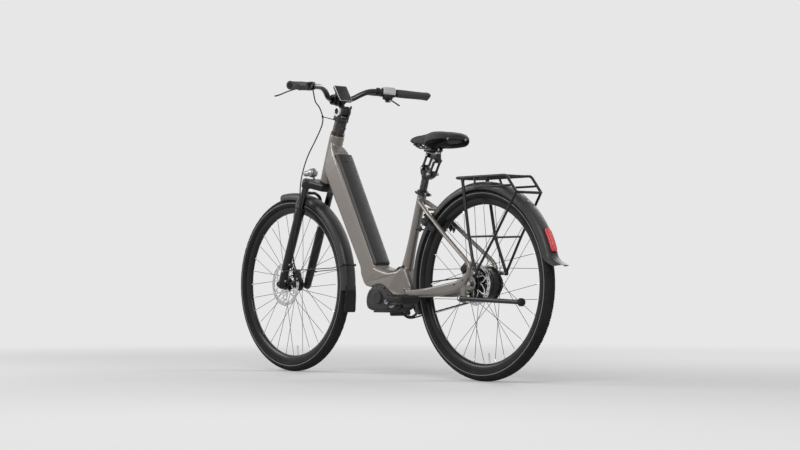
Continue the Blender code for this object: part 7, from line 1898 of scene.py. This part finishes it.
def on_lock(angle, radius, above=0.0):
    turn = radians(angle)
    return LOCK_CENTRE + LEFT * (radius * cos(turn)) + LOCK_UP * (radius * sin(turn)) + LOCK_AXIS * above


def mould_lock():
    form = bmesh.new()
    outer = mm(-7.8, -10.4, -9.2, -9.2, -9.4, 4, -8.4, 8.2, -5.8, 10.2, 5.8, 10.2, 8.4, 8.2, 9.4, 4, 9.2, -9.2, 7.8,
               -10.4, 5.8, -10.4, 5.8, 5.4, -5.4, 5.4, -5.4, -10.4)
    rows = []
    for k in range(63):
        angle = -34.0 + 248.0 * k / 62
        trim = 0.86 if k in (0, 62) else 0.96 if k in (1, 61) else 1.0
        rows.append([on_lock(angle, LOCK_RING + out * trim, above * trim) for out, above in outer])
    loft(form, rows)
    solid, hole = bmesh.new(), bmesh.new()
    barrel = on_lock(BARREL_TURN, BARREL_OUT)
    brick(solid, barrel, (0.03, 0.0125, 0.0196), LOCK_UP, LOCK_AXIS, 0.0034)
    rod(hole, on_lock(BARREL_TURN, BARREL_OUT, -0.014), on_lock(BARREL_TURN, BARREL_OUT, 0.0042), 0.0048, 0.0, 28)
    form.from_mesh(cut_by(mesh_of(solid), hole))
    turned(form, mm(4.7, -10.4, 6.2, -10.4, 6.6, -9.8, 6.2, -9, 4.7, -9), barrel, LOCK_AXIS, 28, 1, closed=True)
    for angle in (58.0, 122.0):
        brick(form, on_lock(angle, LOCK_RING + 0.012, 0.003), (0.01, 0.014, 0.01),
              on_lock(angle, 1.0) - on_lock(angle, 0.0), LOCK_AXIS, 0.0026)
        turned(form, mm(0, 0, 4, 0, 3.8, 1.4, 2.6, 2.2, 0, 2.2), on_lock(angle, LOCK_RING + 0.012, 0.008), LOCK_AXIS,
               20, 1)
    return form


def bend_bow():
    form = bmesh.new()
    tube(form, [on_lock(84.0 + 124.0 * k / 36, LOCK_RING) for k in range(37)], 0.004, 16)
    turned(form, mm(0, 0, 3.8, 0, 3.8, 12.8, 6, 13.6, 6.6, 15, 6.6, 18.6, 5.6, 20, 0, 20), on_lock(90.0, LOCK_RING),
           -LOCK_AXIS, 28, 1)
    return form


def cut_key():
    form = bmesh.new()
    place = on_lock(BARREL_TURN, BARREL_OUT)
    turned(form, mm(0, -3.6, 4.3, -3.6, 4.4, 10.5, 4, 11.4, 0, 11.4), place, -LOCK_AXIS, 28, 1)
    brick(form, place - LOCK_AXIS * 0.018, (0.005, 0.0016, 0.015), LOCK_UP, LOCK_AXIS, 0.0003, 1)
    blade = bmesh.new()
    brick(blade, place - LOCK_AXIS * 0.033, (0.018, 0.005, 0.019), LOCK_UP, LOCK_AXIS, 0.0022)
    eye = bmesh.new()
    rod(eye, place - LOCK_AXIS * 0.037 - LEFT * 0.02, place - LOCK_AXIS * 0.037 + LEFT * 0.02, 0.0028, 0.0, 20)
    form.from_mesh(cut_by(mesh_of(blade), eye))
    return form


made("ring_lock_housing", mould_lock(), [LOCK_BLACK, HARD_STEEL], "frame", "lock_body", sharp=34.0)
made("ring_lock_bow", bend_bow(), [HARD_STEEL, LOCK_BLACK], "shackle", "lock_shackle", sharp=34.0)
made("ring_lock_key", cut_key(), [LOCK_BLACK, HARD_STEEL], "lock_key", "lock_key", sharp=34.0)

# Kickstand: a drawn alloy leg on a sprung pivot under the left dropout, with a moulded foot. It is folded back along
# the chain stay here, and swings down about the slanted pivot bolt.
def build_stand():
    form = bmesh.new()
    tip = STAND_PIVOT + Vector((-0.322, 0.0, -0.012))
    turned(form, mm(0, -10, 11.2, -10, 12, -9, 12, 6.6, 11, 7.8, 6.2, 8, 5.8, 6.8, 0, 6.8), STAND_PIVOT, STAND_AXIS,
           36)
    way = (tip - STAND_PIVOT).normalized()
    path = [STAND_PIVOT.lerp(tip, t) for t in (0.01, 0.06, 0.12, 0.5, 0.96)]
    tube(form, path, [0.0104, 0.0096, 0.009, 0.0086, 0.0082], 24)
    turned(form, mm(0, 0, 10.4, 0, 12.8, 2, 14.2, 6, 14.5, 12, 14.2, 16, 12.8, 18, 0, 18.4), tip - way * 0.012, way,
           32, 1)
    for k in range(3):
        turned(form, mm(13.8, 0, 14.8, 0.6, 14.8, 1.6, 13.8, 2.2), tip - way * (0.008 - 0.004 * k), way, 32, 1,
               closed=True)
    turned(form, mm(0, 0, 5.6, 0, 5.6, 1.8, 4.6, 2.6, 2.6, 2.6, 2.4, 1, 0, 1), STAND_PIVOT + STAND_AXIS * 0.0066,
           STAND_AXIS, 6, 2)
    return form


made("kickstand_leg", build_stand(), [FORK_BLACK, SOFT_RUBBER, BOLT_STEEL], "kickstand", "kickstand", sharp=34.0)
